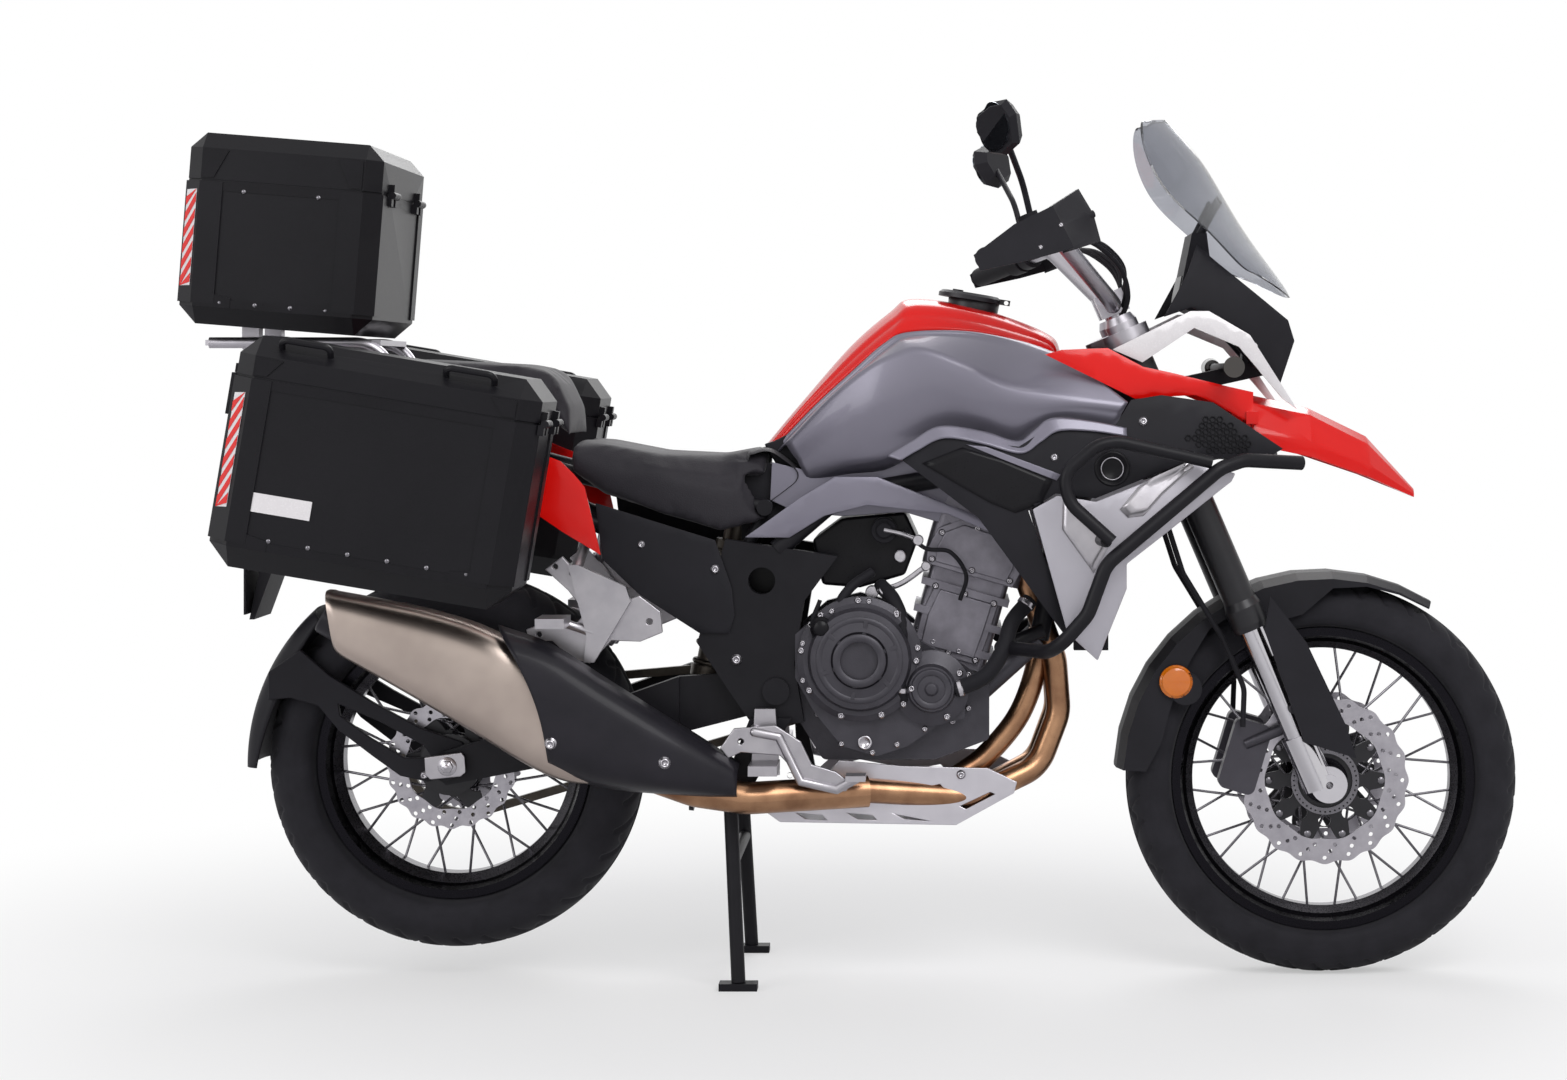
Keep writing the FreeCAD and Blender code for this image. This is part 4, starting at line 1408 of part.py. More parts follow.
TAIL_SHARES = ((0.0, 0.80), (0.0, 0.97), (0.45, 0.88), (0.74, 0.65), (0.85, 0.58), (0.90, 0.50), (0.94, 0.42), (1.0, 0.0),
               (0.86, 0.14), (0.71, 0.31))


def side_shrouds():
    """The long black tank shrouds with the fin that runs down beside the radiator."""
    outline = local(SHROUD_SHARES, s.shroud_rear, s.shroud_base, s.shroud_length, s.shroud_rise)
    panel = curved_panel(outline, s.shroud_offset, s.shroud_bulge, s.panel_wall, -s.shroud_bulge)
    x = s.shroud_rear + s.shroud_length * 0.2
    z = s.shroud_base + s.shroud_rise * 0.82
    post = rod((x, -s.shroud_offset - s.shroud_bulge / 2, z), (x, -s.tank_half_width / 2, z), s.panel_post_radius)
    return piece("side_shrouds", both(trimmed(joined([panel, post]), "fuel_tank", "tank_stripe")))


def lower_shrouds():
    """The silver shrouds that cover the radiator's sides."""
    outline = local(LOW_SHROUD_SHARES, s.low_rear, s.low_base, s.low_length, s.low_rise)
    panel = curved_panel(outline, s.low_offset, s.low_bulge, s.panel_wall)
    x = s.radiator_rear + s.radiator_length / 2
    z = s.radiator_bottom + s.radiator_rise / 2
    post = rod((x, -s.low_offset - s.low_bulge / 2, z), (x, -s.radiator_half_width / 2, z), s.panel_post_radius)
    return piece("lower_shrouds", both(trimmed(joined([panel, post]), "radiator", "side_shrouds")))


def knee_covers():
    """The grey frame covers between the seat and the engine."""
    outline = local(KNEE_SHARES, s.knee_rear, s.knee_base, s.knee_length, s.knee_rise)
    return piece("knee_covers", both(curved_panel(outline, s.knee_offset + s.panel_wall, s.panel_wall, s.panel_wall)))


def side_covers():
    """The black covers under the seat."""
    outline = local(COVER_SHARES, s.cover_rear, s.cover_base, s.cover_length, s.cover_rise)
    panel = curved_panel(outline, s.cover_offset, s.cover_bulge, s.panel_wall)
    x = s.plate_rear + s.plate_length * 0.22
    z = s.plate_bottom + s.plate_rise * 0.74
    post = rod((x, -s.cover_offset, z), (x, -s.plate_near - s.plate_thickness / 2, z), s.panel_post_radius)
    return piece("side_covers", both(trimmed(joined([panel, post]), "main_frame")))


def tail_panels():
    """The red panels below the pillion seat."""
    outline = local(TAIL_SHARES, s.tail_rear, s.tail_base, s.tail_length, s.tail_rise)
    panel = curved_panel(outline, s.tail_offset, s.tail_bulge, s.panel_wall, s.tail_bulge)
    x = s.tail_rear + s.tail_length / 2
    z = (s.rail_height + s.rail_rear_height) / 2
    post = rod((x, -s.tail_offset - 2 * s.panel_wall, z), (x, -s.rail_width * 0.9, z), s.panel_post_radius)
    return piece("tail_panels", both(trimmed(joined([panel, post]), "subframe")))


fuel_tank()
filler_cap()
rider_seat()
pillion_seat()
side_shrouds()
lower_shrouds()
knee_covers()
side_covers()
tail_panels()


# Front fairing, lamps and screen.
sizes("Fairing",
      beak_front=919, beak_length=282, beak_half_width=138, beak_base=795, beak_rise=170, beak_wall=4,
      beak_wing_rear=299, beak_wing_length=338, beak_wing_base=885, beak_wing_rise=152, beak_wing_offset=176,
      beak_wing_bulge=6, beak_wing_toe=22, cheek_rear=495, cheek_length=217, cheek_base=979, cheek_rise=227,
      cheek_offset=100, cheek_bulge=10, cheek_toe=40, trim_rear=409, trim_length=302, trim_base=937, trim_rise=160,
      trim_offset=158, trim_bulge=8, trim_toe=26, trim_wall=8, lamp_rear=612, lamp_length=92, lamp_base=1030, lamp_rise=92,
      lamp_half_width=84, lamp_eye_radius=30, bracket_half_width=20, bracket_height=26, bracket_front=672,
      dash_rear=520, dash_length=60, dash_half_width=78, dash_base=1109, dash_rise=118, dash_slope=24,
      screen_wall=4, brace_radius=7, indicator_offset=158, indicator_length=62, indicator_radius=17,
      indicator_forward=600, indicator_height=1006, rear_indicator_forward=-905, rear_indicator_height=925)
BEAK_SHARES = (
    (0.0, ((0.35, 0.98), (0.85, 0.90), (1.0, 0.62), (1.0, 0.50))),
    (0.35, ((0.35, 0.85), (0.72, 0.78), (0.86, 0.52), (0.84, 0.38))),
    (0.70, ((0.28, 0.57), (0.46, 0.50), (0.56, 0.30), (0.54, 0.18))),
    (1.0, ((0.04, 0.05), (0.07, 0.03), (0.09, 0.0), (0.08, -0.03))))
BEAK_WING_SHARES = ((0.0, 0.93), (0.08, 0.98), (0.30, 1.0), (0.47, 0.80), (0.60, 0.74), (0.88, 0.59), (1.0, 0.53),
                    (1.0, 0.18), (0.81, 0.42), (0.72, 0.50), (0.43, 0.46))
CHEEK_SHARES = ((0.25, 1.0), (0.41, 0.87), (0.95, 0.46), (1.0, 0.31), (0.89, 0.0), (0.60, 0.35), (0.21, 0.55), (0.0, 0.48),
                (0.17, 0.78))
TRIM_SHARES = ((0.0, 0.61), (0.42, 1.0), (0.52, 1.0), (0.74, 0.76), (1.0, 0.0), (0.92, 0.11), (0.68, 0.64), (0.44, 0.83),
               (0.16, 0.48))
LAMP_SHARES = ((0.0, 0.30), (0.05, 1.0), (0.45, 0.92), (0.80, 0.66), (1.0, 0.40), (0.92, 0.05), (0.60, 0.0))
SCREEN_CENTRE_SHARES = ((0.0, 1.0), (0.20, 0.84), (0.38, 0.66), (0.62, 0.38), (0.88, 0.13), (1.0, 0.0))
SCREEN_EDGE_SHARES = ((-0.20, 0.98), (-0.22, 0.86), (-0.07, 0.60), (0.24, 0.38), (0.50, 0.20), (0.70, 0.12))
SCREEN_WIDTH_SHARES = (0.46, 0.72, 0.94, 1.0, 0.88, 0.66)
SCREEN_COLUMNS = 7


def beak():
    """The red beak: an arched shell in front and two wings back to the tank."""
    outer = loft(cross_sections(BEAK_SHARES, s.beak_front - s.beak_length, s.beak_length, s.beak_half_width, s.beak_base, s.beak_rise))
    inner = outer.copy()
    inner.scale(1 - 2 * s.beak_wall / s.beak_half_width, Vector(s.beak_front - s.beak_length, 0, s.beak_base))
    inner.translate(Vector(-s.cut_overrun, 0, -s.beak_wall * 3))
    shell = outer.cut(inner)
    shell = max(shell.Solids, key=lambda solid: solid.Volume)
    outline = local(BEAK_WING_SHARES, s.beak_wing_rear, s.beak_wing_base, s.beak_wing_length, s.beak_wing_rise)
    wing = curved_panel(outline, s.beak_wing_offset - s.beak_wing_toe / 2, s.beak_wing_bulge, s.beak_wall, -s.beak_wing_toe)
    seat = s.beak_front - s.beak_length
    web = block((seat - s.beak_wall * 3, -s.beak_wing_offset + s.beak_wing_toe / 2 + s.beak_wall, s.beak_base + s.beak_rise * 0.70),
                (seat + s.beak_wall * 2, -s.beak_half_width * 0.75, s.beak_base + s.beak_rise * 0.82))
    return piece("beak", joined([shell, wing, web, mirrored(wing), mirrored(web)]))


def nose_fairing():
    """The black cheeks beside the lamp."""
    outline = local(CHEEK_SHARES, s.cheek_rear, s.cheek_base, s.cheek_length, s.cheek_rise)
    return piece("nose_fairing", both(curved_panel(outline, s.cheek_offset, s.cheek_bulge, s.panel_wall, -s.cheek_toe)))


def nose_trim():
    """The white chevron trim on each side of the nose."""
    outline = local(TRIM_SHARES, s.trim_rear, s.trim_base, s.trim_length, s.trim_rise)
    panel = curved_panel(outline, s.trim_offset - s.trim_toe / 2, s.trim_bulge, s.trim_wall, -s.trim_toe)
    x = s.trim_rear + s.trim_length * 0.76
    z = s.trim_base + s.trim_rise * 0.64
    post = rod((x, -s.trim_offset + s.trim_toe * 0.7, z), (x, -s.cheek_offset + s.cheek_toe / 4, z), s.brace_radius)
    return piece("nose_trim", both(trimmed(joined([panel, post]), "nose_fairing")))


def headlight():
    """A low twin lamp with a sloping lens."""
    outline = local(LAMP_SHARES, s.lamp_rear, s.lamp_base, s.lamp_length, s.lamp_rise)
    body = plate(outline, -s.lamp_half_width, s.lamp_half_width)
    corners = [edge for edge in body.Edges if edge.Length > 2 * s.lamp_half_width * 0.98]
    eyes = []
    for side in SIDES:
        eye = Part.makeCylinder(s.lamp_eye_radius, s.beak_wall * 2, Vector(s.lamp_rear + s.lamp_length * 0.86, side * s.lamp_half_width / 2,
                                s.lamp_base + s.lamp_rise * 0.5), Vector(1, 0, 0.35))
        eyes.append(eye)
    return piece("headlight", trimmed(body.cut(Part.makeCompound(eyes)), "nose_fairing"))


def screen_grid():
    """Points of the screen's outer face, row by row from its top edge down."""
    rows = []
    for centre, edge, width in zip(SCREEN_CENTRE_SHARES, SCREEN_EDGE_SHARES, SCREEN_WIDTH_SHARES):
        row = []
        for column in range(SCREEN_COLUMNS):
            across = 2 * column / (SCREEN_COLUMNS - 1) - 1
            blend = across * across
            along = centre[0] + (edge[0] - centre[0]) * blend
            up = centre[1] + (edge[1] - centre[1]) * blend
            row.append(Vector(s.screen_rear + along * s.screen_length, across * width * s.screen_half_width,
                              s.screen_base + up * s.screen_rise))
        rows.append(row)
    return rows


sizes("Screen", screen_rear=508, screen_length=205, screen_base=1122, screen_rise=296, screen_half_width=158)


def windshield():
    """A tall bubble screen, curved both ways and of one thickness."""
    surface = Part.BSplineSurface()
    surface.interpolate(screen_grid())
    return piece("windshield", surface.toShape().extrude(Vector(-s.screen_wall, 0, 0)))


def instrument_panel():
    """The dash, the screen's stays and the bracket that carries the nose on the head tube."""
    dash = [(s.dash_rear, s.dash_base), (s.dash_rear + s.dash_slope, s.dash_base + s.dash_rise),
            (s.dash_rear + s.dash_slope + s.dash_length * 0.4, s.dash_base + s.dash_rise),
            (s.dash_rear + s.dash_length, s.dash_base + s.dash_rise * 0.2), (s.dash_rear + s.dash_length * 0.8, s.dash_base - s.bracket_height)]
    shapes = [plate(dash, -s.dash_half_width, s.dash_half_width)]
    root = on_axis((s.lower_clamp_top + s.clamp_top) / 2)
    half = s.bracket_half_width
    beam = [(root.x, root.z + s.bracket_height / 2), (root.x + s.bracket_height * 0.42, root.z - s.bracket_height / 2),
            (s.bracket_front, s.lamp_base - s.bracket_height * 1.4), (s.bracket_front, s.lamp_base - s.bracket_height * 0.4)]
    shapes.append(plate(beam, -half, half))
    cross = s.lamp_base - s.bracket_height * 0.7
    shapes.append(rod((s.bracket_front - half, -s.cheek_offset, cross), (s.bracket_front - half, s.cheek_offset, cross), s.brace_radius))
    shapes.append(rod((s.indicator_forward, -s.indicator_offset, s.indicator_height),
                      (s.indicator_forward, s.indicator_offset, s.indicator_height), s.brace_radius))
    shapes.append(block((s.bracket_front - 2 * half, -half, s.lamp_base - s.bracket_height),
                        (s.bracket_front, half, s.lamp_base - s.fit_gap)))
    for side in SIDES:
        y = side * s.dash_half_width * 0.8
        shapes.append(rod((s.dash_rear + s.dash_length * 0.8, y, s.dash_base), (s.bracket_front - half, y * 0.6, cross), s.brace_radius))
        shapes.append(rod((s.dash_rear + s.dash_slope * 1.4, y, s.dash_base + s.dash_rise * 0.9),
                          (s.screen_rear + s.screen_length * 0.40, y, s.screen_base + s.screen_rise * 0.55), s.brace_radius))
    whole = trimmed(joined(shapes), "windshield", "nose_fairing", "nose_trim", "headlight", "main_frame")
    return piece("instrument_panel", whole)


def signal_lamps():
    """Four indicators on short stalks, and the tail lamp."""
    shapes = []
    for side in SIDES:
        start = Vector(s.indicator_forward, side * s.indicator_offset, s.indicator_height)
        stalk = Part.makeCylinder(s.indicator_radius * 0.55, s.indicator_length * 0.45, start, Vector(0, side, 0))
        lamp = Part.makeCone(s.indicator_radius * 0.8, s.indicator_radius, s.indicator_length * 0.55, start + Vector(0, side * s.indicator_length * 0.45, 0), Vector(0, side, 0))
        shapes.append(joined([stalk, lamp]))
    bar = block((s.plate_holder_rear - s.indicator_radius, -s.tail_lamp_half_width, s.tail_lamp_base),
                (s.plate_holder_rear + s.indicator_radius * 1.6, s.tail_lamp_half_width, s.tail_lamp_base + s.tail_lamp_rise))
    corners = [edge for edge in bar.Edges if edge.Length > s.tail_lamp_half_width]
    shapes.append(bar.makeFillet(s.panel_wall, corners))
    for side in SIDES:
        start = Vector(s.plate_holder_rear + s.indicator_radius * 0.6, side * s.plate_holder_half_width, s.tail_lamp_base - s.tail_lamp_rise * 0.6)
        stalk = Part.makeCylinder(s.indicator_radius * 0.55, s.indicator_length * 0.45, start, Vector(0, side, 0))
        lamp = Part.makeCone(s.indicator_radius * 0.8, s.indicator_radius, s.indicator_length * 0.55, start + Vector(0, side * s.indicator_length * 0.45, 0), Vector(0, side, 0))
        shapes.append(joined([stalk, lamp]))
    return piece("signal_lamps", Part.makeCompound(shapes))


# Rear mudguard, rack, guards and the three cases.
sizes("Rear mudguard and rack",
      plate_holder_rear=-918, plate_holder_half_width=62, tail_lamp_half_width=58, tail_lamp_base=872, tail_lamp_rise=34,
      mudguard_front=-800, mudguard_top=926, mudguard_bottom=590, mudguard_rear=-1010, mudguard_half_width=72, mudguard_wall=4,
      number_plate_width=180, number_plate_height=200, number_plate_wall=3, number_plate_base=600,
      rack_height=1046, rack_rear=-1062, rack_front=-790, rack_half_width=118, rack_tube=9, rack_slat=14, frame_front=-562, frame_front_height=916,
      frame_back=-864, frame_back_height=964, frame_low=738,
      crash_radius=11.5, crash_bend=55)
CRASH_MAIN_SHARES = ((0.0, 0.0, 0.40), (0.17, 0.02, 0.98), (0.28, 0.22, 1.0), (0.34, 0.48, 1.0), (0.72, 0.98, 0.90),
                     (0.80, 1.02, 0.84), (1.0, 1.0, 0.68))
CRASH_LOOP_SHARES = ((0.36, 0.60, 1.0), (0.22, 0.80, 0.98), (0.20, 0.95, 0.97), (0.31, 1.10, 0.95), (0.38, 1.12, 0.94),
                     (0.69, 1.01, 0.90))

sizes("Crash bars", crash_rear=228, crash_length=482, crash_base=549, crash_rise=303, crash_half_width=292)


def crash_bars():
    """A lower hoop and an upper loop of tube on each side, bolted to the frame and under the beak."""
    def point(along, up, across):
        return (s.crash_rear + along * s.crash_length, -across * s.crash_half_width, s.crash_base + up * s.crash_rise)
    hoop = bent_tube([point(*row) for row in CRASH_MAIN_SHARES], s.crash_radius, s.crash_bend)
    loop = bent_tube([point(*row) for row in CRASH_LOOP_SHARES], s.crash_radius * 0.9, s.crash_bend)
    foot = rod(point(*CRASH_MAIN_SHARES[0]), (s.down_tube_forward + s.frame_tube_radius * 0.4, -s.down_tube_width - s.frame_tube_radius, s.down_tube_foot + s.frame_tube_radius), s.crash_radius)
    stay = rod(point(0.34, 0.60, 1.0), (s.radiator_rear + s.radiator_length / 2, -s.radiator_half_width - s.fit_gap, s.crash_base + s.crash_rise * 0.60), s.crash_radius * 0.8)
    side = trimmed(joined([hoop, loop, foot, stay]), "main_frame", "engine_case", "radiator", "lower_shrouds", "side_shrouds")
    return piece("crash_bars", both(side))


def rear_mudguard():
    """The tail piece behind the seat: a tongue that carries the tail lamp and the blank plate."""
    tongue = [(s.mudguard_front, s.mudguard_top), (s.plate_holder_rear - s.indicator_radius * 1.4, s.mudguard_top),
              (s.mudguard_rear, s.mudguard_bottom), (s.mudguard_rear + s.mudguard_wall * 2, s.mudguard_bottom),
              (s.plate_holder_rear, s.tail_lamp_base - s.tail_lamp_rise * 1.6), (s.mudguard_front, s.tail_lamp_base - s.tail_lamp_rise)]
    body = plate(tongue, -s.plate_holder_half_width, s.plate_holder_half_width)
    lamps = doc.getObject("signal_lamps").Shape
    top = (s.mudguard_rear - s.number_plate_wall, s.number_plate_base + s.number_plate_height)
    board = block((s.mudguard_rear - s.number_plate_wall, -s.number_plate_width / 2, s.number_plate_base),
                  (s.mudguard_rear, s.number_plate_width / 2, s.number_plate_base + s.number_plate_height))
    carrier = block((s.mudguard_rear - s.number_plate_wall / 2, -s.plate_holder_half_width * 0.6, s.number_plate_base + s.number_plate_height * 0.5),
                    (s.plate_holder_rear - s.indicator_radius, s.plate_holder_half_width * 0.6, s.number_plate_base + s.number_plate_height * 0.62))
    rails = doc.getObject("subframe").Shape
    whole = joined([body, board, carrier]).cut(lamps).cut(rails)
    return piece("rear_mudguard", max(whole.Solids, key=lambda solid: solid.Volume))


sizes("Cases",
      case_wall=3, case_tilt=9.5, pannier_forward=-725, pannier_height=845, pannier_length=465, pannier_rise=355,
      pannier_lid=63, pannier_inner=270, pannier_width=230, pannier_chamfer=34, top_tilt=4.5, top_forward=-930,
      top_height=1220, top_length=312, top_rise=308, top_lid=76, top_width=420, top_chamfer=28,
      hinge_radius=6, hinge_pin_radius=2.5, hinge_length=52, hinge_stand_off=9, handle_rise=22, handle_radius=5,
      handle_span=74, latch_width=38, latch_height=64, latch_depth=9, corner_guard=3, guard_size=62)


def chamfered_box(length, width, low, high, chamfer, top, bottom):
    """A box with its upright edges bevelled, and its top or bottom edges too if asked."""
    box = block((-length / 2, -width / 2, low), (length / 2, width / 2, high))
    tall = high - low
    chosen = []
    for edge in box.Edges:
        z = [vertex.Z for vertex in edge.Vertexes]
        upright = abs(z[0] - z[1]) > tall / 2
        at_top = min(z) > high - tall / 4
        at_bottom = max(z) < low + tall / 4
        if upright or (top and at_top) or (bottom and at_bottom):
            chosen.append(edge)
    return box.makeChamfer(chamfer, chosen)


def hollow_case(length, width, rise, lid, chamfer):
    """Body and lid of one case in its own frame: two open shells that meet at the seam."""
    seam = rise / 2 - lid
    body = chamfered_box(length, width, -rise / 2, seam, chamfer, False, True)
    wall = s.case_wall
    room = chamfered_box(length - 2 * wall, width - 2 * wall, -rise / 2 + wall, seam + chamfer, chamfer, False, True)
    body = body.cut(room)
    cover = chamfered_box(length, width, seam + s.fit_gap, rise / 2, chamfer * 0.9, True, False)
    space = chamfered_box(length - 2 * wall, width - 2 * wall, seam - chamfer, rise / 2 - wall, chamfer * 0.9, True, False)
    return body, cover.cut(space), seam


def hinge_parts(length, width, seam):
    """Two hinges at the front edge: outer knuckles and pin on the body, middle knuckle on the lid."""
    x = length / 2 + s.hinge_stand_off
    fixed = []
    moving = []
    for share in (-0.28, 0.28):
        y = share * width
        part = s.hinge_length / 3
        for side in SIDES:
            near = y + side * part / 2 + (s.fit_gap if side > 0 else -part - s.fit_gap)
            fixed.append(Part.makeCylinder(s.hinge_radius, part, Vector(x, near, seam), Vector(0, 1, 0)))
            fixed.append(block((length / 2 - s.fit_gap, near, seam - s.hinge_radius * 3), (x, near + part, seam - s.hinge_radius * 0.4)))
        fixed.append(Part.makeCylinder(s.hinge_pin_radius, s.hinge_length, Vector(x, y - s.hinge_length / 2, seam), Vector(0, 1, 0)))
        knuckle = Part.makeCylinder(s.hinge_radius, part - s.fit_gap, Vector(x, y - part / 2 + s.fit_gap / 2, seam), Vector(0, 1, 0))
        leaf = block((length / 2 - s.fit_gap, y - part / 2 + s.fit_gap / 2, seam + s.hinge_radius * 0.4),
                     (x, y + part / 2 - s.fit_gap / 2, seam + s.hinge_radius * 3))
        bore = Part.makeCylinder(s.hinge_pin_radius + s.fit_gap, part * 2, Vector(x, y - part, seam), Vector(0, 1, 0))
        moving += [knuckle.fuse(leaf).cut(bore)]
    return fixed, moving


def latch_parts(length, width, seam):
    """Two over-centre latches at the rear: the base on the body and the strike on the lid."""
    base = []
    strike = []
    for share in (-0.26, 0.26):
        y = share * width
        base.append(block((-length / 2 - s.latch_depth, y - s.latch_width / 2, seam - s.latch_height),
                          (-length / 2, y + s.latch_width / 2, seam - s.fit_gap)))
        strike.append(block((-length / 2 - s.latch_depth * 0.7, y - s.latch_width / 3, seam + s.fit_gap * 2),
                            (-length / 2, y + s.latch_width / 3, seam + s.latch_depth * 1.6)))
    return base, strike


def grab_handle(width, top, chamfer, along, side):
    """A strap handle with two feet on the lid's outer chamfer."""
    half = s.handle_span / 2
    path = [(-half, 0, -s.fit_gap), (-half, 0, s.handle_rise), (half, 0, s.handle_rise), (half, 0, -s.fit_gap)]
    handle = bent_tube(path, s.handle_radius, s.handle_rise * 0.6)
    seat = Vector(along, side * (width / 2 - chamfer / 2), top - chamfer / 2)
    handle.Placement = Placement(seat, Rotation(Vector(1, 0, 0), -side * CHAMFER_DEGREES))
    return handle


CHAMFER_DEGREES = 45
HANDLE_SHARES = (-0.28, 0.26)


def corner_guards(length, width, low, high, chamfer):
    """Four raised edge plates up the case's corners."""
    outer = chamfered_box(length + 2 * s.corner_guard, width + 2 * s.corner_guard, low, high, chamfer, False, False)
    inner = chamfered_box(length, width, low - s.cut_overrun, high + s.cut_overrun, chamfer, False, False)
    skin = outer.cut(inner)
    cross = [block((-length / 2 + s.guard_size, -width, low - s.cut_overrun), (length / 2 - s.guard_size, width, high + s.cut_overrun)),
             block((-length, -width / 2 + s.guard_size, low - s.cut_overrun), (length, width / 2 - s.guard_size, high + s.cut_overrun))]
    return skin.cut(Part.makeCompound(cross)).Solids


def case_set(prefix, place, length, width, rise, lid, chamfer, handles):
    """Writes one case: its body with hinge halves and latches, and its lid with its handles."""
    body, cover, seam = hollow_case(length, width, rise, lid, chamfer)
    fixed, moving = hinge_parts(length, width, seam)
    base, strike = latch_parts(length, width, seam)
    guards = corner_guards(length, width, -rise / 2 + chamfer * 1.2, seam - s.corner_guard, chamfer)
    grips = [grab_handle(width, rise / 2, chamfer, along, side) for along, side in handles]
    piece(f"{prefix}_case", joined([body] + fixed + base + guards), place)
    piece(f"{prefix}_case_lid", joined([cover] + moving + strike + grips), place)


def cases():
    """Two side cases on their frames and the top case on the rack."""
    middle = s.pannier_inner + s.pannier_width / 2
    for name, side in (("right", -1), ("left", 1)):
        place = Placement(Vector(s.pannier_forward, side * middle, s.pannier_height), Rotation(Vector(0, 1, 0), s.case_tilt))
        case_set(name, place, s.pannier_length, s.pannier_width, s.pannier_rise, s.pannier_lid, s.pannier_chamfer,
                 [(along * s.pannier_length, side) for along in HANDLE_SHARES])
    place = Placement(Vector(s.top_forward, 0, s.top_height), Rotation(Vector(0, 1, 0), s.top_tilt))
    case_set("top", place, s.top_length, s.top_width, s.top_rise, s.top_lid, s.top_chamfer, ())


def luggage_rack():
    """The top rack with its slats, its four posts, and a tube frame behind each side case."""
    shapes = []
    top = s.rack_height
    for side in SIDES:
        y = side * s.rack_half_width
        shapes.append(bent_tube([(s.rack_front + s.guard_size, y * 0.8, s.rail_rear_height), (s.rack_front, y, top), (s.rack_rear, y, top)], s.rack_tube, s.handle_span * 0.8))
        shapes.append(rod((s.rack_rear + s.guard_size, y, top), (s.rail_rear + s.rear_tube_radius * 2, side * s.rail_width * 0.8, s.rail_rear_height), s.rack_tube))
        out = side * (s.pannier_inner - s.rack_tube - s.seat_gap)
        loop = [(s.frame_front, out, s.frame_front_height), (s.frame_front - s.guard_size / 2, out, s.frame_low),
                (s.frame_back - s.rack_slat, out, s.frame_low + s.guard_size / 2), (s.frame_back, out, s.frame_back_height)]
        shapes.append(bent_tube(loop, s.rack_tube, s.handle_span / 2))
        shapes.append(rod(loop[0], loop[3], s.rack_tube))
        shapes += [Part.makeSphere(s.rack_tube, Vector(*loop[0])), Part.makeSphere(s.rack_tube, Vector(*loop[3]))]
        shapes.append(rod((s.frame_front, side * s.rail_width * 0.96, s.frame_front_height), (s.frame_front, side * s.rail_width * 0.96, s.rail_height), s.rack_tube))
    reach = s.pannier_inner - s.rack_tube - s.seat_gap
    for x, z in ((s.frame_front, s.frame_front_height), (s.frame_back, s.frame_back_height)):
        shapes.append(rod((x, -reach, z), (x, reach, z), s.rack_tube))
    for x in (s.rack_front - s.guard_size / 2, s.rack_rear + s.guard_size):
        for side in SIDES:
            y = side * s.rack_half_width * 0.7
            shapes.append(block((x - s.rack_slat, y - s.rack_slat, top), (x + s.rack_slat, y + s.rack_slat, top + s.guard_size / 2)))
    count = 5
    for index in range(count):
        x = s.rack_rear + (s.rack_front - s.rack_rear) * index / (count - 1)
        shapes.append(block((x - s.rack_slat / 2, -s.rack_half_width, top - s.rack_tube / 2), (x + s.rack_slat / 2, s.rack_half_width, top + s.rack_tube / 2)))
    return piece("luggage_rack", trimmed(joined(shapes), "subframe", "pillion_seat", "top_case", "rear_mudguard"))


beak()
nose_fairing()
nose_trim()
headlight()
windshield()
instrument_panel()
signal_lamps()
crash_bars()
rear_mudguard()
cases()
luggage_rack()


def is_step(thing, inner):
    """True for the objects that are sub-parts themselves, not features inside one."""
    return hasattr(thing, "Shape") and thing.Name not in inner and not thing.TypeId.startswith("App::")


def write_parts():
    """Checks every object and writes each sub-part under its own name."""
    doc.recompute()
    inner = {item.Name for thing in doc.Objects for item in thing.OutList if thing is not sheet}
    faults = [thing.Label for thing in doc.Objects if {"Invalid", "Error"} & set(thing.State)]
    parts = [thing for thing in doc.Objects if is_step(thing, inner)]
    faults += [part.Label for part in parts
               if part.Shape.isNull() or not part.Shape.isValid() or not part.Shape.Solids]
    if faults:
        raise RuntimeError(f"these did not build: {faults}")
    os.makedirs("parts", exist_ok=True)
    for part in parts:
        part.Shape.exportStep(f"parts/{part.Label}.step")
        print(part.Label, len(part.Shape.Solids), round(part.Shape.Volume / s.litre_side ** 3, 2))


write_parts()
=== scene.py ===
import bmesh
import bpy
import math
import numpy as np
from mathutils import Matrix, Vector
from mathutils.bvhtree import BVHTree
from mathutils.geometry import delaunay_2d_cdt


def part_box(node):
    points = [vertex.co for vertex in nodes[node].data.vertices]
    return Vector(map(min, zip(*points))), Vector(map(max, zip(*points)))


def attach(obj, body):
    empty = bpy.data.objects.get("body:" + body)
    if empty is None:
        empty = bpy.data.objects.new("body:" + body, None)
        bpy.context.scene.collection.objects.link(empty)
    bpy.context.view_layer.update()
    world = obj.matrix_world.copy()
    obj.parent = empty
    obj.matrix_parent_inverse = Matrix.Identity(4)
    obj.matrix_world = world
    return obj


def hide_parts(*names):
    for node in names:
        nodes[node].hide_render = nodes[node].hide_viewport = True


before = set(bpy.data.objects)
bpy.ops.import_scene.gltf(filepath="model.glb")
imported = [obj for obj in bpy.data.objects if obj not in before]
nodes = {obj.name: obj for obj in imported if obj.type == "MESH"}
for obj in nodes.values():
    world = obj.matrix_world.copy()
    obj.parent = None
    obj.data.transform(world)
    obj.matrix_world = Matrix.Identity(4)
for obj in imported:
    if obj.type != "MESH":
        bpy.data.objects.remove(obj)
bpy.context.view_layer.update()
print("frame loaded:", len(nodes), "nodes")


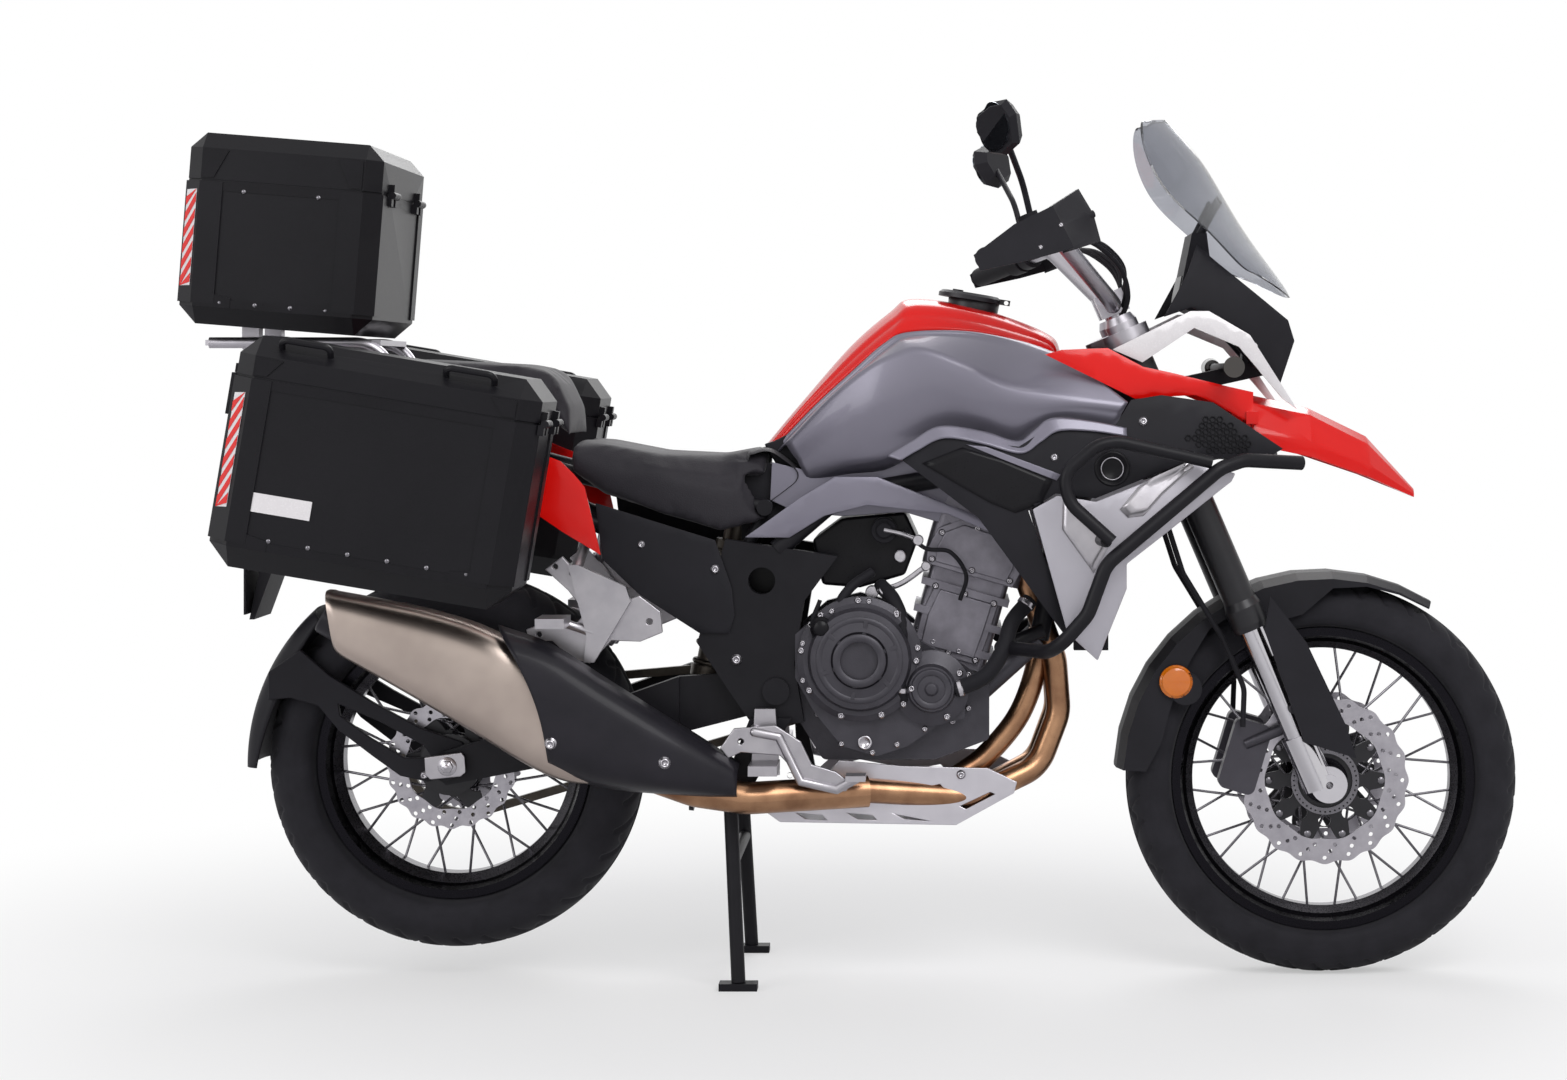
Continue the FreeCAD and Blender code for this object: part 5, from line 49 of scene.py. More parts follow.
def toLinear(colour):  # an sRGB hex colour as the linear colour that the shader wants
    rgb = np.array([int(colour[i:i + 2], 16) for i in (1, 3, 5)]) / 255
    linear = np.where(rgb <= 0.04045, rgb / 12.92, ((rgb + 0.055) / 1.055) ** 2.4)
    return (*[float(v) for v in linear], 1.0)


def addNode(tree, kind, settings, links=()):  # one node with its settings and what feeds it
    node = tree.nodes.new(kind)
    for key, value in settings.items():
        if isinstance(key, str) and hasattr(node, key):
            setattr(node, key, value)
        else:
            node.inputs[key].default_value = value
    for key, source in links:
        tree.links.new(source, node.inputs[key])
    return node


def finish(name, colour, second=None, rough=0.5, metal=0.0, coat=0.0, grainMm=1.5, relief=0.0, patchMm=60.0,
           patch=0.35, stretch=(1, 1, 1), roughSpread=0.08, sheen=0.0, glow=None, clear=0.0, ior=1.5, spec=0.5):
    # colour runs to second in soft patches, roughness and relief follow a finer grain
    mat = bpy.data.materials.new(name)
    mat.use_nodes = True
    tree = mat.node_tree
    shader = tree.nodes["Principled BSDF"]
    shader.inputs["Metallic"].default_value = metal
    shader.inputs["Coat Weight"].default_value = coat
    shader.inputs["Coat Roughness"].default_value = 0.04
    shader.inputs["Sheen Weight"].default_value = sheen
    shader.inputs["Specular IOR Level"].default_value = spec
    if not metal:
        shader.inputs["IOR"].default_value = ior
    if clear:
        shader.inputs["Transmission Weight"].default_value = clear
    if glow:
        shader.inputs["Emission Color"].default_value = toLinear(glow[0])
        shader.inputs["Emission Strength"].default_value = glow[1]
    place = addNode(tree, "ShaderNodeTexCoord", {})
    turn = addNode(tree, "ShaderNodeMapping", {"Scale": stretch}, [("Vector", place.outputs["Object"])])
    broad = addNode(tree, "ShaderNodeTexNoise", {"Scale": 1000 / patchMm, "Detail": 3.0, "Roughness": 0.55},
                    [("Vector", place.outputs["Object"])])
    fine = addNode(tree, "ShaderNodeTexNoise", {"Scale": 1000 / grainMm, "Detail": 2.0, "Roughness": 0.6},
                   [("Vector", turn.outputs["Vector"])])
    share = addNode(tree, "ShaderNodeMapRange", {"From Min": 0.5 - patch, "From Max": 0.5 + patch},
                    [("Value", broad.outputs["Fac"])])
    mix = addNode(tree, "ShaderNodeMix", {"data_type": "RGBA", 6: toLinear(colour),
                                          7: toLinear(second or colour)},
                  [(0, share.outputs["Result"])])
    tree.links.new(mix.outputs[2], shader.inputs["Base Color"])
    spread = addNode(tree, "ShaderNodeMapRange", {"To Min": max(rough - roughSpread, 0.02),
                                                  "To Max": rough + roughSpread},
                     [("Value", fine.outputs["Fac"])])
    tree.links.new(spread.outputs["Result"], shader.inputs["Roughness"])
    if relief:
        bump = addNode(tree, "ShaderNodeBump", {"Strength": relief, "Distance": grainMm / 1000 * 0.4},
                       [("Height", fine.outputs["Fac"])])
        tree.links.new(bump.outputs["Normal"], shader.inputs["Normal"])
    return mat


finishes = {
    # vulcanised rubber: dull, nearly black, greyer where dust has settled
    "tyre rubber": dict(colour="#1b1a1e", second="#29282d", rough=0.78, grainMm=2.2, relief=0.25, patchMm=45,
                        sheen=0.05, spec=0.16),
    # drawn stainless wire
    "stainless spoke wire": dict(colour="#7b797e", second="#6a686d", rough=0.28, metal=1.0, grainMm=2,
                                 patchMm=30),
    # ground disc steel: fine circular grind drawn as a close grain
    "ground disc steel": dict(colour="#b5b2b8", second="#98959c", rough=0.3, metal=1.0, grainMm=0.8,
                              relief=0.05, patchMm=25),
    # black anodised fork tubes
    "black anodised alloy": dict(colour="#151418", second="#201f23", rough=0.36, metal=0.3, grainMm=1.0,
                                 relief=0.03),
    # hard chrome on the fork's sliding tubes
    "hard chrome": dict(colour="#c9c7cb", second="#bdbbc0", rough=0.12, metal=1.0, grainMm=1.0,
                        roughSpread=0.03),
    # satin bar alloy
    "satin alloy": dict(colour="#a9a6ac", second="#b8b5bb", rough=0.36, metal=1.0, grainMm=0.8, relief=0.04),
    # rubber grips and hoses
    "moulded rubber": dict(colour="#141317", second="#1d1c21", rough=0.66, grainMm=1.4, relief=0.2, sheen=0.04,
                           spec=0.16),
    # moulded plastic with a fine spark texture that scatters the light
    "textured black plastic": dict(colour="#19181c", second="#222126", rough=0.52, grainMm=1.3, relief=0.22,
                                   patchMm=90, spec=0.16),
    # smooth black plastic
    "smooth black plastic": dict(colour="#100f12", second="#18171b", rough=0.3, grainMm=2, spec=0.16),
    # powder-coated steel tube
    "powder coated steel": dict(colour="#141317", second="#1d1c20", rough=0.42, grainMm=1.6, relief=0.12,
                                spec=0.16),
    # sand-cast alloy, painted dark: pitted by the mould
    "painted cast alloy": dict(colour="#434148", second="#302e34", rough=0.42, metal=0.4, grainMm=1.8,
                               relief=0.3, patchMm=40),
    # bare cast alloy of the cylinder
    "bare cast alloy": dict(colour="#8b8891", second="#66636b", rough=0.38, metal=0.6, grainMm=1.8, relief=0.35,
                            patchMm=35),
    # black enamelled radiator
    "radiator enamel": dict(colour="#121114", second="#1b1a1e", rough=0.45, metal=0.3, grainMm=1.2, relief=0.1,
                            spec=0.16),
    # header steel tinted by heat: straw to bronze in soft bands
    "heat tinted steel": dict(colour="#7d5a44", second="#b48c6c", rough=0.3, metal=1.0, grainMm=1.5,
                              relief=0.04, patchMm=70, patch=0.2),
    # brushed steel of the muffler: long grain along the can
    "brushed muffler steel": dict(colour="#9d9089", second="#c0b2a9", rough=0.32, metal=1.0, grainMm=1.2,
                                  relief=0.07, patchMm=120, stretch=(0.12, 1, 1)),
    # satin painted shield
    "satin painted shield": dict(colour="#1d1c21", second="#28262c", rough=0.4, grainMm=1.5, relief=0.06,
                                 coat=0.05, spec=0.16),
    # brushed skid plate alloy with small scratches
    "brushed plate alloy": dict(colour="#cfccd2", second="#b7b4bb", rough=0.34, metal=0.85, grainMm=1.4,
                                relief=0.08, patchMm=80, stretch=(0.15, 1, 1)),
    # grey painted alloy of arm and brackets
    "grey painted alloy": dict(colour="#3a383e", second="#47454c", rough=0.42, metal=0.6, grainMm=1.4,
                               relief=0.1, patchMm=60),
    # bright cast alloy of hangers and heel plates, tumbled to a soft gleam
    "bright cast alloy": dict(colour="#b9b6ba", second="#a19ea4", rough=0.32, metal=0.9, grainMm=1.2,
                              relief=0.08, patchMm=35),
    # zinc-plated screws
    "plated screw steel": dict(colour="#c6c3c8", second="#a9a6ac", rough=0.25, metal=1.0, grainMm=1.0,
                               patchMm=8),
    # silvered mirror glass
    "silvered mirror glass": dict(colour="#c3cad2", second="#b5bcc5", rough=0.05, metal=1.0, grainMm=4.0,
                                  roughSpread=0.02),
    # lamp bowl, vacuum silvered
    "silvered lamp bowl": dict(colour="#d9dade", second="#cfd0d5", rough=0.12, metal=1.0, grainMm=2.0,
                               roughSpread=0.04),
    # oiled chain steel
    "oiled chain steel": dict(colour="#5d5750", second="#3d3935", rough=0.38, metal=0.9, grainMm=2.0,
                              relief=0.1, patchMm=20),
    # metallic tank paint under clear lacquer
    "metallic grey paint": dict(colour="#6f6c79", second="#7b7885", rough=0.38, metal=0.5, coat=0.3,
                                grainMm=0.9, patchMm=200),
    # gloss red plastic, lacquered
    "gloss red plastic": dict(colour="#d80e0a", second="#de120c", rough=0.22, coat=0.15, grainMm=3, patchMm=250,
                              spec=0.25),
    # silver metallic plastic
    "silver metallic plastic": dict(colour="#a5a2aa", second="#b2afb7", rough=0.36, metal=0.35, coat=0.4,
                                    grainMm=0.9, patchMm=160),
    # white gloss plastic
    "white gloss plastic": dict(colour="#d5d1d3", second="#dedadc", rough=0.26, coat=0.4, grainMm=3,
                                patchMm=200),
    # grained seat vinyl: leather-like pores about 2 mm apart
    "grained seat vinyl": dict(colour="#201e23", second="#2a272d", rough=0.6, grainMm=2.4, relief=0.45,
                               patchMm=110, sheen=0.08, spec=0.2),
    # clear polycarbonate lens
    "clear lamp lens": dict(colour="#eef0f2", rough=0.04, clear=1.0, ior=1.58, grainMm=5, roughSpread=0.01),
    # smoke tinted screen
    "smoked screen": dict(colour="#b4b6bd", second="#a6a8b0", rough=0.05, clear=0.96, ior=1.49, grainMm=5,
                          roughSpread=0.01),
    # amber lens plastic
    "amber lens": dict(colour="#e07a10", second="#c9640a", rough=0.14, coat=0.5, grainMm=3),
    # red tail lens
    "red lens": dict(colour="#a90d0f", second="#7c0709", rough=0.14, coat=0.5, grainMm=3),
    # powder-coated case alloy: black with a fine orange peel
    "powder coated case": dict(colour="#0e0d11", second="#161519", rough=0.4, grainMm=1.8, relief=0.2,
                               coat=0.03, patchMm=130, spec=0.16),
    # satin rack alloy
    "satin rack alloy": dict(colour="#1a191d", second="#242328", rough=0.4, metal=0.3, grainMm=1.2,
                             relief=0.08),
}
madeFinishes = {name: finish(name, **values) for name, values in finishes.items()}
print("finishes made:", len(madeFinishes))

nodeFinishes = {
    "tyre rubber": "front_tyre rear_tyre",
    "ground disc steel": "front_discs rear_rotors",
    "black anodised alloy": "fork_uppers",
    "hard chrome": "fork_lowers",
    "satin alloy": "handlebar luggage_rack",
    "moulded rubber": "hand_controls brake_hoses",
    "textured black plastic": "hand_guards mirrors front_fender rear_hugger side_covers side_shrouds "
                              "nose_fairing rear_mudguard instrument_panel",
    "powder coated steel": "main_frame subframe stand_brackets centre_stand side_stand crash_bars swingarm",
    "painted cast alloy": "engine_case engine_covers",
    "bare cast alloy": "cylinder_block",
    "radiator enamel": "radiator",
    "heat tinted steel": "exhaust_pipes",
    "brushed muffler steel": "muffler",
    "satin painted shield": "muffler_shield",
    "brushed plate alloy": "skid_plate",
    "grey painted alloy": "rear_caliper front_calipers",
    "bright cast alloy": "footrests",
    "oiled chain steel": "drive_chain shock_absorber",
    "metallic grey paint": "fuel_tank knee_covers",
    "gloss red plastic": "tank_stripe tail_panels beak",
    "silver metallic plastic": "lower_shrouds",
    "white gloss plastic": "nose_trim",
    "grained seat vinyl": "rider_seat pillion_seat",
    "clear lamp lens": "headlight",
    "smoked screen": "windshield",
    "amber lens": "signal_lamps",
    "powder coated case": "right_case left_case top_case right_case_lid left_case_lid top_case_lid",
    "satin rack alloy": "filler_cap",
}
for name, members in nodeFinishes.items():
    for label in members.split():
        node = nodes[label]
        node.data.materials.clear()
        node.data.materials.append(madeFinishes[name])


def copiedFinish(source, name):  # a copy that one piece can change
    mat = madeFinishes[source].copy()
    mat.name = name
    return mat


def wheelFinish(name, axle, rimInner, hubOuter):
    # by the distance from the axle: dark rim outside rimInner, bright wire inside it, dark hub inside hubOuter
    mat = copiedFinish("stainless spoke wire", name)
    tree = mat.node_tree
    shader = tree.nodes["Principled BSDF"]
    place = addNode(tree, "ShaderNodeTexCoord", {})
    flat = addNode(tree, "ShaderNodeVectorMath", {"operation": "MULTIPLY_ADD", 1: (1, 0, 1),
                                                  2: (-axle[0], 0, -axle[1])},
                   [(0, place.outputs["Object"])])
    reach = addNode(tree, "ShaderNodeVectorMath", {"operation": "LENGTH"}, [(0, flat.outputs[0])])
    outside = addNode(tree, "ShaderNodeMath", {"operation": "GREATER_THAN", 1: rimInner},
                      [(0, reach.outputs["Value"])])
    inside = addNode(tree, "ShaderNodeMath", {"operation": "LESS_THAN", 1: hubOuter},
                     [(0, reach.outputs["Value"])])
    dark = addNode(tree, "ShaderNodeMath", {"operation": "MAXIMUM"},
                   [(0, outside.outputs[0]), (1, inside.outputs[0])])
    wire = shader.inputs["Base Color"].links[0].from_socket
    shade = addNode(tree, "ShaderNodeMix", {"data_type": "RGBA", 7: toLinear("#1d1c20")},
                    [(0, dark.outputs[0]), (6, wire)])
    tree.links.new(shade.outputs[2], shader.inputs["Base Color"])
    return mat


wheels = {
    "front": dict(axle=(0.764, 0.325), rimInner=0.226, hubOuter=0.052),
    "rear": dict(axle=(-0.674, 0.354), rimInner=0.203, hubOuter=0.056),
}
for end, look in wheels.items():
    rim = nodes[end + "_rim"].data
    rim.materials.clear()
    rim.materials.append(wheelFinish("wheel alloy and wire " + end, **look))


def heightSplit(mat, direction, origin, level, colour, metal=None):
    # past a level along a direction the colour changes, as where one part ends and the next begins
    tree = mat.node_tree
    shader = tree.nodes["Principled BSDF"]
    place = addNode(tree, "ShaderNodeTexCoord", {})
    shift = addNode(tree, "ShaderNodeVectorMath", {"operation": "SUBTRACT", 1: origin},
                    [(0, place.outputs["Object"])])
    along = addNode(tree, "ShaderNodeVectorMath", {"operation": "DOT_PRODUCT", 1: direction},
                    [(0, shift.outputs[0])])
    past = addNode(tree, "ShaderNodeMath", {"operation": "GREATER_THAN", 1: level},
                   [(0, along.outputs["Value"])])
    before = shader.inputs["Base Color"].links[0].from_socket
    shade = addNode(tree, "ShaderNodeMix", {"data_type": "RGBA", 7: toLinear(colour)},
                    [(0, past.outputs[0]), (6, before)])
    tree.links.new(shade.outputs[2], shader.inputs["Base Color"])
    if metal is not None:
        plain = shader.inputs["Metallic"].default_value
        shine = addNode(tree, "ShaderNodeMapRange", {"To Min": plain, "To Max": metal},
                        [("Value", past.outputs[0])])
        tree.links.new(shine.outputs["Result"], shader.inputs["Metallic"])
    return mat


forkFinish = copiedFinish("black anodised alloy", "black tubes and bright top clamp")
heightSplit(forkFinish, (-0.394, 0, 0.919), (0.525, 0, 0.764), 0.286, "#a9a6ac", 1.0)
nodes["fork_uppers"].data.materials[0] = forkFinish
lampFinish = copiedFinish("red lens", "red rear and smoked front lenses")
heightSplit(lampFinish, (1, 0, 0), (0, 0, 0), 0.0, "#2a2420")
nodes["signal_lamps"].data.materials[0] = lampFinish


def softenEdges(labels, widthMm, degrees=32):  # moulded and cast pieces have rounded edges that catch the light
    for label in labels.split():
        node = nodes[label]
        merge = node.modifiers.new("merge", "WELD")
        merge.merge_threshold = 0.00005
        bevel = node.modifiers.new("round", "BEVEL")
        bevel.width = widthMm / 1000
        bevel.segments = 2
        bevel.limit_method = "ANGLE"
        bevel.angle_limit = math.radians(degrees)


softEdges = [
    ("side_shrouds lower_shrouds knee_covers side_covers tail_panels nose_trim nose_fairing beak", 2.0),
    ("hand_guards instrument_panel", 2.0),
    ("right_case left_case top_case right_case_lid left_case_lid top_case_lid", 1.5),
    ("footrests front_calipers rear_caliper cylinder_block", 1.5),
]
for labels, widthMm in softEdges:
    softenEdges(labels, widthMm)


def gridFaces(rows, cols, wrapRows=False, wrapCols=False):  # quads between the neighbours of a grid
    i = np.arange(rows if wrapRows else rows - 1)
    j = np.arange(cols if wrapCols else cols - 1)
    a, b = np.meshgrid(i, j, indexing="ij")
    nextA, nextB = (a + 1) % rows, (b + 1) % cols
    return np.stack([a * cols + b, nextA * cols + b, nextA * cols + nextB, a * cols + nextB], -1).reshape(-1, 4)


def addPiece(name, parts, finishName, body, smooth=True, weld=0.00005, flip=False):
    # parts are (points, faces) pairs; all are put into one mesh whose normals then point outwards
    points, faces, start = [], [], 0
    for verts, quads in parts:
        verts = np.asarray(verts, float).reshape(-1, 3)
        points.append(verts)
        faces += [tuple(int(v) + start for v in face) for face in quads]
        start += len(verts)
    mesh = bpy.data.meshes.new(name)
    mesh.from_pydata(np.concatenate(points).tolist(), [], faces)
    obj = bpy.data.objects.new(name, mesh)
    bpy.context.scene.collection.objects.link(obj)
    cleanMesh(mesh, weld, flip)
    mesh.polygons.foreach_set("use_smooth", np.full(len(mesh.polygons), smooth))
    mesh.materials.append(madeFinishes[finishName])
    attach(obj, body)
    return obj


def cleanMesh(mesh, weld, flip=False):  # joins points nearer than weld and turns the faces outwards
    bm = bmesh.new()
    bm.from_mesh(mesh)
    bmesh.ops.remove_doubles(bm, verts=bm.verts, dist=weld)
    bmesh.ops.recalc_face_normals(bm, faces=bm.faces)
    if flip:
        bmesh.ops.reverse_faces(bm, faces=bm.faces)
    bm.to_mesh(mesh)
    bm.free()


def sharpen(obj, degrees=35, bevelMm=0.0, segments=2):  # crisp edges past an angle, softened by a small bevel
    if bevelMm:
        bevel = obj.modifiers.new("bevel", "BEVEL")
        bevel.width = bevelMm / 1000
        bevel.segments = segments
        bevel.limit_method = "ANGLE"
        bevel.angle_limit = math.radians(degrees)
        bevel.harden_normals = True
    obj.data.set_sharp_from_angle(angle=math.radians(degrees))
    return obj


def solidWall(obj, thickness, offset=0):  # gives a sheet its thickness, centred on it unless offset
    wall = obj.modifiers.new("wall", "SOLIDIFY")
    wall.thickness = thickness
    wall.offset = offset
    return obj


def throughPoints(points, count):
    # Catmull-Rom curve: each stretch is the cubic through its two points with the slopes of its neighbours
    p = np.asarray(points, float)
    padded = np.concatenate([2 * p[:1] - p[1:2], p, 2 * p[-1:] - p[-2:-1]])
    t = np.linspace(0, len(p) - 1, count)
    k = np.minimum(t.astype(int), len(p) - 2)
    f = (t - k).reshape(-1, *[1] * (p.ndim - 1))
    a, b, c, d = padded[k], padded[k + 1], padded[k + 2], padded[k + 3]
    return 0.5 * (2 * b + (c - a) * f + (2 * a - 5 * b + 4 * c - d) * f ** 2 + (3 * b - a - 3 * c + d) * f ** 3)


def tubeGrid(path, radius, around=12, closed=False):
    # circle of the radius carried along the path, its start direction turned as little as possible
    path = np.asarray(path, float)
    radius = np.broadcast_to(np.asarray(radius, float), len(path))
    if closed:
        tangent = np.roll(path, -1, 0) - np.roll(path, 1, 0)
    else:
        tangent = np.gradient(path, axis=0)
    tangent /= np.linalg.norm(tangent, axis=1, keepdims=True)
    mean = np.abs(tangent).mean(0)
    up = np.eye(3)[int(np.argmin(mean))]
    side = np.cross(tangent, up)
    side /= np.linalg.norm(side, axis=1, keepdims=True)
    over = np.cross(side, tangent)
    angle = np.linspace(0, 2 * np.pi, around, endpoint=False)
    ring = np.cos(angle)[None, :, None] * side[:, None] + np.sin(angle)[None, :, None] * over[:, None]
    return path[:, None] + radius[:, None, None] * ring


def tubePart(path, radius, around=12, closed=False):  # the tube's rings as faces, its open ends closed flat
    grid = tubeGrid(path, radius, around, closed)
    rows, cols = grid.shape[:2]
    faces = [tuple(face) for face in gridFaces(rows, cols, closed, True)]
    if not closed:
        faces += [tuple(range(cols)), tuple((rows - 1) * cols + j for j in range(cols))]
    return grid, faces


def basis(direction):  # two directions square to the one given
    z = np.asarray(direction, float)
    z = z / np.linalg.norm(z)
    x = np.cross(np.eye(3)[int(np.argmin(np.abs(z)))], z)
    x /= np.linalg.norm(x)
    return x, np.cross(z, x), z


def turnedPart(profile, centre=(0, 0, 0), axis=(0, 0, 1), around=48):
    # profile of (radius, height) pairs swept about the axis through the centre
    profile = np.asarray(profile, float)
    x, y, z = basis(axis)
    angle = np.linspace(0, 2 * np.pi, around, endpoint=False)
    ring = np.cos(angle)[:, None] * x + np.sin(angle)[:, None] * y
    rise = (profile[:, 1][:, None] * z)[:, None]
    grid = np.asarray(centre, float) + profile[:, 0][:, None, None] * ring[None] + rise
    return grid, gridFaces(len(profile), around, False, True)


def repeated(part, centres, axes):
    # one part, made about the origin along Z, set at each centre and turned to each axis
    verts, faces = part
    verts = np.asarray(verts, float).reshape(-1, 3)
    frames = np.array([np.array(basis(axis)) for axis in axes])
    placed = np.einsum("vk,nkc->nvc", verts, frames) + np.asarray(centres, float)[:, None]
    count = len(verts)
    allFaces = [tuple(int(v) + n * count for v in face) for n in range(len(centres)) for face in faces]
    return placed, allFaces


def prismPart(outline, low, high):
    # flat outline in X and Z carried across from low to high in Y
    outline = np.asarray(outline, float)
    count = len(outline)
    verts = np.concatenate([np.insert(outline, 1, low, 1), np.insert(outline, 1, high, 1)])
    sides = [(i, (i + 1) % count, (i + 1) % count + count, i + count) for i in range(count)]
    return verts, sides + [tuple(range(count)), tuple(range(2 * count - 1, count - 1, -1))]


tyres = {
    "front": dict(centre=wheels["front"]["axle"], outer=0.325, bead=0.2414, width=0.120, pitches=44,
                  groove=0.0042),
    "rear": dict(centre=wheels["rear"]["axle"], outer=0.312, bead=0.2164, width=0.160, pitches=38,
                 groove=0.0048),
}
# the section from bead to crown as shares of its height and width
tyreHalf = np.array([(0.0, 0.30), (0.115, 0.302), (0.20, 0.455), (0.45, 0.497), (0.70, 0.455), (0.86, 0.355),
                     (0.96, 0.20), (1.0, 0.0)])
# the tread: slanted channels, short slits between them and one ring, as shares of the pitch and the half width
tread = dict(around=660, points=34, sharpness=1.6, channelLean=1.1, channel=0.13, channelSpan=(0.14, 0.86),
             slitLean=0.35, slit=0.07, slitSpan=(0.30, 0.62), ringAt=0.13, ring=0.045, start=0.68, ramp=0.12)
sideRibs = ((0.60, 0.03, 0.0006), (0.30, 0.025, 0.0007))  # place, half width and height of each


def makeTyre(end, look):
    # radius and width follow the section; the tread is lowered where the block pattern has a groove
    half = throughPoints(tyreHalf[1:], tread["points"])
    section = np.concatenate([tyreHalf[:1], half, (half * (1, -1))[::-1][1:], tyreHalf[:1] * (1, -1)])
    reach = look["outer"] - look["bead"]
    radius = look["bead"] + section[:, 0] * reach
    across = section[:, 1] * look["width"]
    turn = np.linspace(0, 2 * np.pi, tread["around"], endpoint=False)[:, None]
    share = across / (look["width"] / 2)
    pitch = turn * look["pitches"] / (2 * np.pi)
    away = np.abs(share)[None]
    left = share[None] > 0
    sweep = (pitch + tread["channelLean"] * away + 0.5 * left) % 1.0
    near, far = tread["channelSpan"]
    channel = np.clip(1 - np.abs(sweep - 0.5) / tread["channel"], 0, 1) * (away > near) * (away < far)
    step = (pitch * 0.5 + 0.25 * left - tread["slitLean"] * away) % 1.0
    near, far = tread["slitSpan"]
    slit = np.clip(1 - np.abs(step - 0.5) / tread["slit"], 0, 1) * (away > near) * (away < far)
    ring = np.clip(1 - np.abs(away - tread["ringAt"]) / tread["ring"], 0, 1)
    depth = look["groove"] * np.clip(np.maximum(np.maximum(channel, slit), ring) * tread["sharpness"], 0, 1)
    inTread = np.clip((section[:, 0] - tread["start"]) / tread["ramp"], 0, 1)[None]
    ribs = sum(high * (np.abs(section[:, 0] - at) < wide)[None] for at, wide, high in sideRibs)
    r = radius[None] - depth * inTread + 0 * turn
    wide = across[None] * (1 + 0 * turn) + np.sign(across)[None] * ribs
    cx, cz = look["centre"]
    grid = np.stack([cx + r * np.cos(turn), wide, cz + r * np.sin(turn)], -1)
    parts = [(grid, gridFaces(tread["around"], len(section), True, True))]
    tyre = addPiece(f"{end}Tyre", parts, "tyre rubber", f"{end}_wheel")
    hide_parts(f"{end}_tyre")


for end, look in tyres.items():
    makeTyre(end, look)
print("tyres made")


trees = {}


def surfaceTree(labels):  # one search tree over the named pieces as they lie at rest
    if labels not in trees:
        points, faces = [], []
        for label in labels.split():
            obj = nodes[label] if label in nodes else bpy.data.objects[label]
            start = len(points)
            points += [tuple(v.co) for v in obj.data.vertices]
            faces += [tuple(v + start for v in face.vertices) for face in obj.data.polygons]
        trees[labels] = BVHTree.FromPolygons(points, faces)
    return trees[labels]


def seatAt(labels, x, z, side=-1):  # where a line across the machine first meets the pieces, and the face there
    spot, normal, _, _ = surfaceTree(labels).ray_cast(Vector((x, side * 0.9, z)), Vector((0, -side, 0)))
    if spot is None:
        return None, None
    return np.array(spot), np.array(normal)


# the photograph's camera: its distance and height, its place along the machine, the focal length in
# pixels and the pixel straight ahead of it
photoView = dict(distance=5.1, along=0.146, height=0.990, focal=3054, column=950, row=377)


def fromPhoto(across, down, y):  # the point at depth y that the photograph shows at a pixel
    scale = (photoView["distance"] + y) / photoView["focal"]
    x = photoView["along"] + (across - photoView["column"]) * scale
    return x, photoView["height"] - (down - photoView["row"]) * scale


def screwPart(radius, height):  # a domed flange head with a sunk socket, made along Z
    r, h = radius, height
    return turnedPart([(0, h * 0.35), (r * 0.42, h * 0.35), (r * 0.46, h), (r * 0.66, h), (r * 0.74, h * 0.8),
                       (r * 0.76, h * 0.3), (r, h * 0.22), (r, -h * 0.3), (0, -h * 0.3)], around=16)


def screws(name, spots, body, finishName="plated screw steel", side=-1):
    # a spot is (pieces, photo column, photo row, guessed depth, head radius); the head sits square on the face
    parts = []
    for labels, across, down, depth, radius in spots:
        x, z = fromPhoto(across, down, depth)
        spot, normal = seatAt(labels, x, z, side)
        if spot is None:
            continue
        if normal[1] * side < 0:
            normal = -normal
        parts.append(repeated(screwPart(radius, radius * 0.7), [spot], [normal]))
    return addPiece(name, parts, finishName, body)


def insideLoop(loop, points):  # even-odd test of points against a closed outline
    x, y = points[:, :1], points[:, 1:]
    x1, y1 = loop[:, 0][None], loop[:, 1][None]
    x2, y2 = np.roll(loop[:, 0], -1)[None], np.roll(loop[:, 1], -1)[None]
    crosses = ((y1 > y) != (y2 > y)) & (x < (x2 - x1) * (y - y1) / np.where(y2 == y1, 1e-12, y2 - y1) + x1)
    return crosses.sum(1) % 2 == 1


def cutPlate(outer, holes, thickness, origin, right=(1, 0, 0), up=(0, 0, 1)):
    # outline and holes in the plane of two directions, thickened equally to both sides
    loops = [np.asarray(loop, float) for loop in [outer, *holes]]
    starts = np.cumsum([0] + [len(loop) for loop in loops])
    flat = np.concatenate(loops)
    edges = [(int(s + i), int(s + (i + 1) % len(loop))) for s, loop in zip(starts, loops)
             for i in range(len(loop))]
    verts, _, faces, *_ = delaunay_2d_cdt([Vector(p) for p in flat.tolist()], edges, [], 0, 1e-7)
    verts = np.array([tuple(v) for v in verts])
    faces = np.array([tuple(face) for face in faces])
    middle = verts[faces].mean(1)
    keep = insideLoop(loops[0], middle)
    for loop in loops[1:]:
        keep &= ~insideLoop(loop, middle)
    faces = faces[keep]
    right, up = np.asarray(right, float), np.asarray(up, float)
    normal = np.cross(right, up)
    place = np.asarray(origin, float) + verts[:, :1] * right + verts[:, 1:] * up
    count = len(verts)
    both = np.concatenate([place + normal * thickness / 2, place - normal * thickness / 2])
    walls = [(a, b, b + count, a + count) for a, b in edges] if count == len(flat) else []
    return both, [tuple(f) for f in faces] + [tuple(f[::-1] + count) for f in faces] + walls


def circle(radius, count=24, centre=(0, 0), start=0.0):  # points by the sine and cosine of even angles
    angle = np.linspace(0, 2 * np.pi, count, endpoint=False) + start
    return np.stack([centre[0] + radius * np.cos(angle), centre[1] + radius * np.sin(angle)], -1)


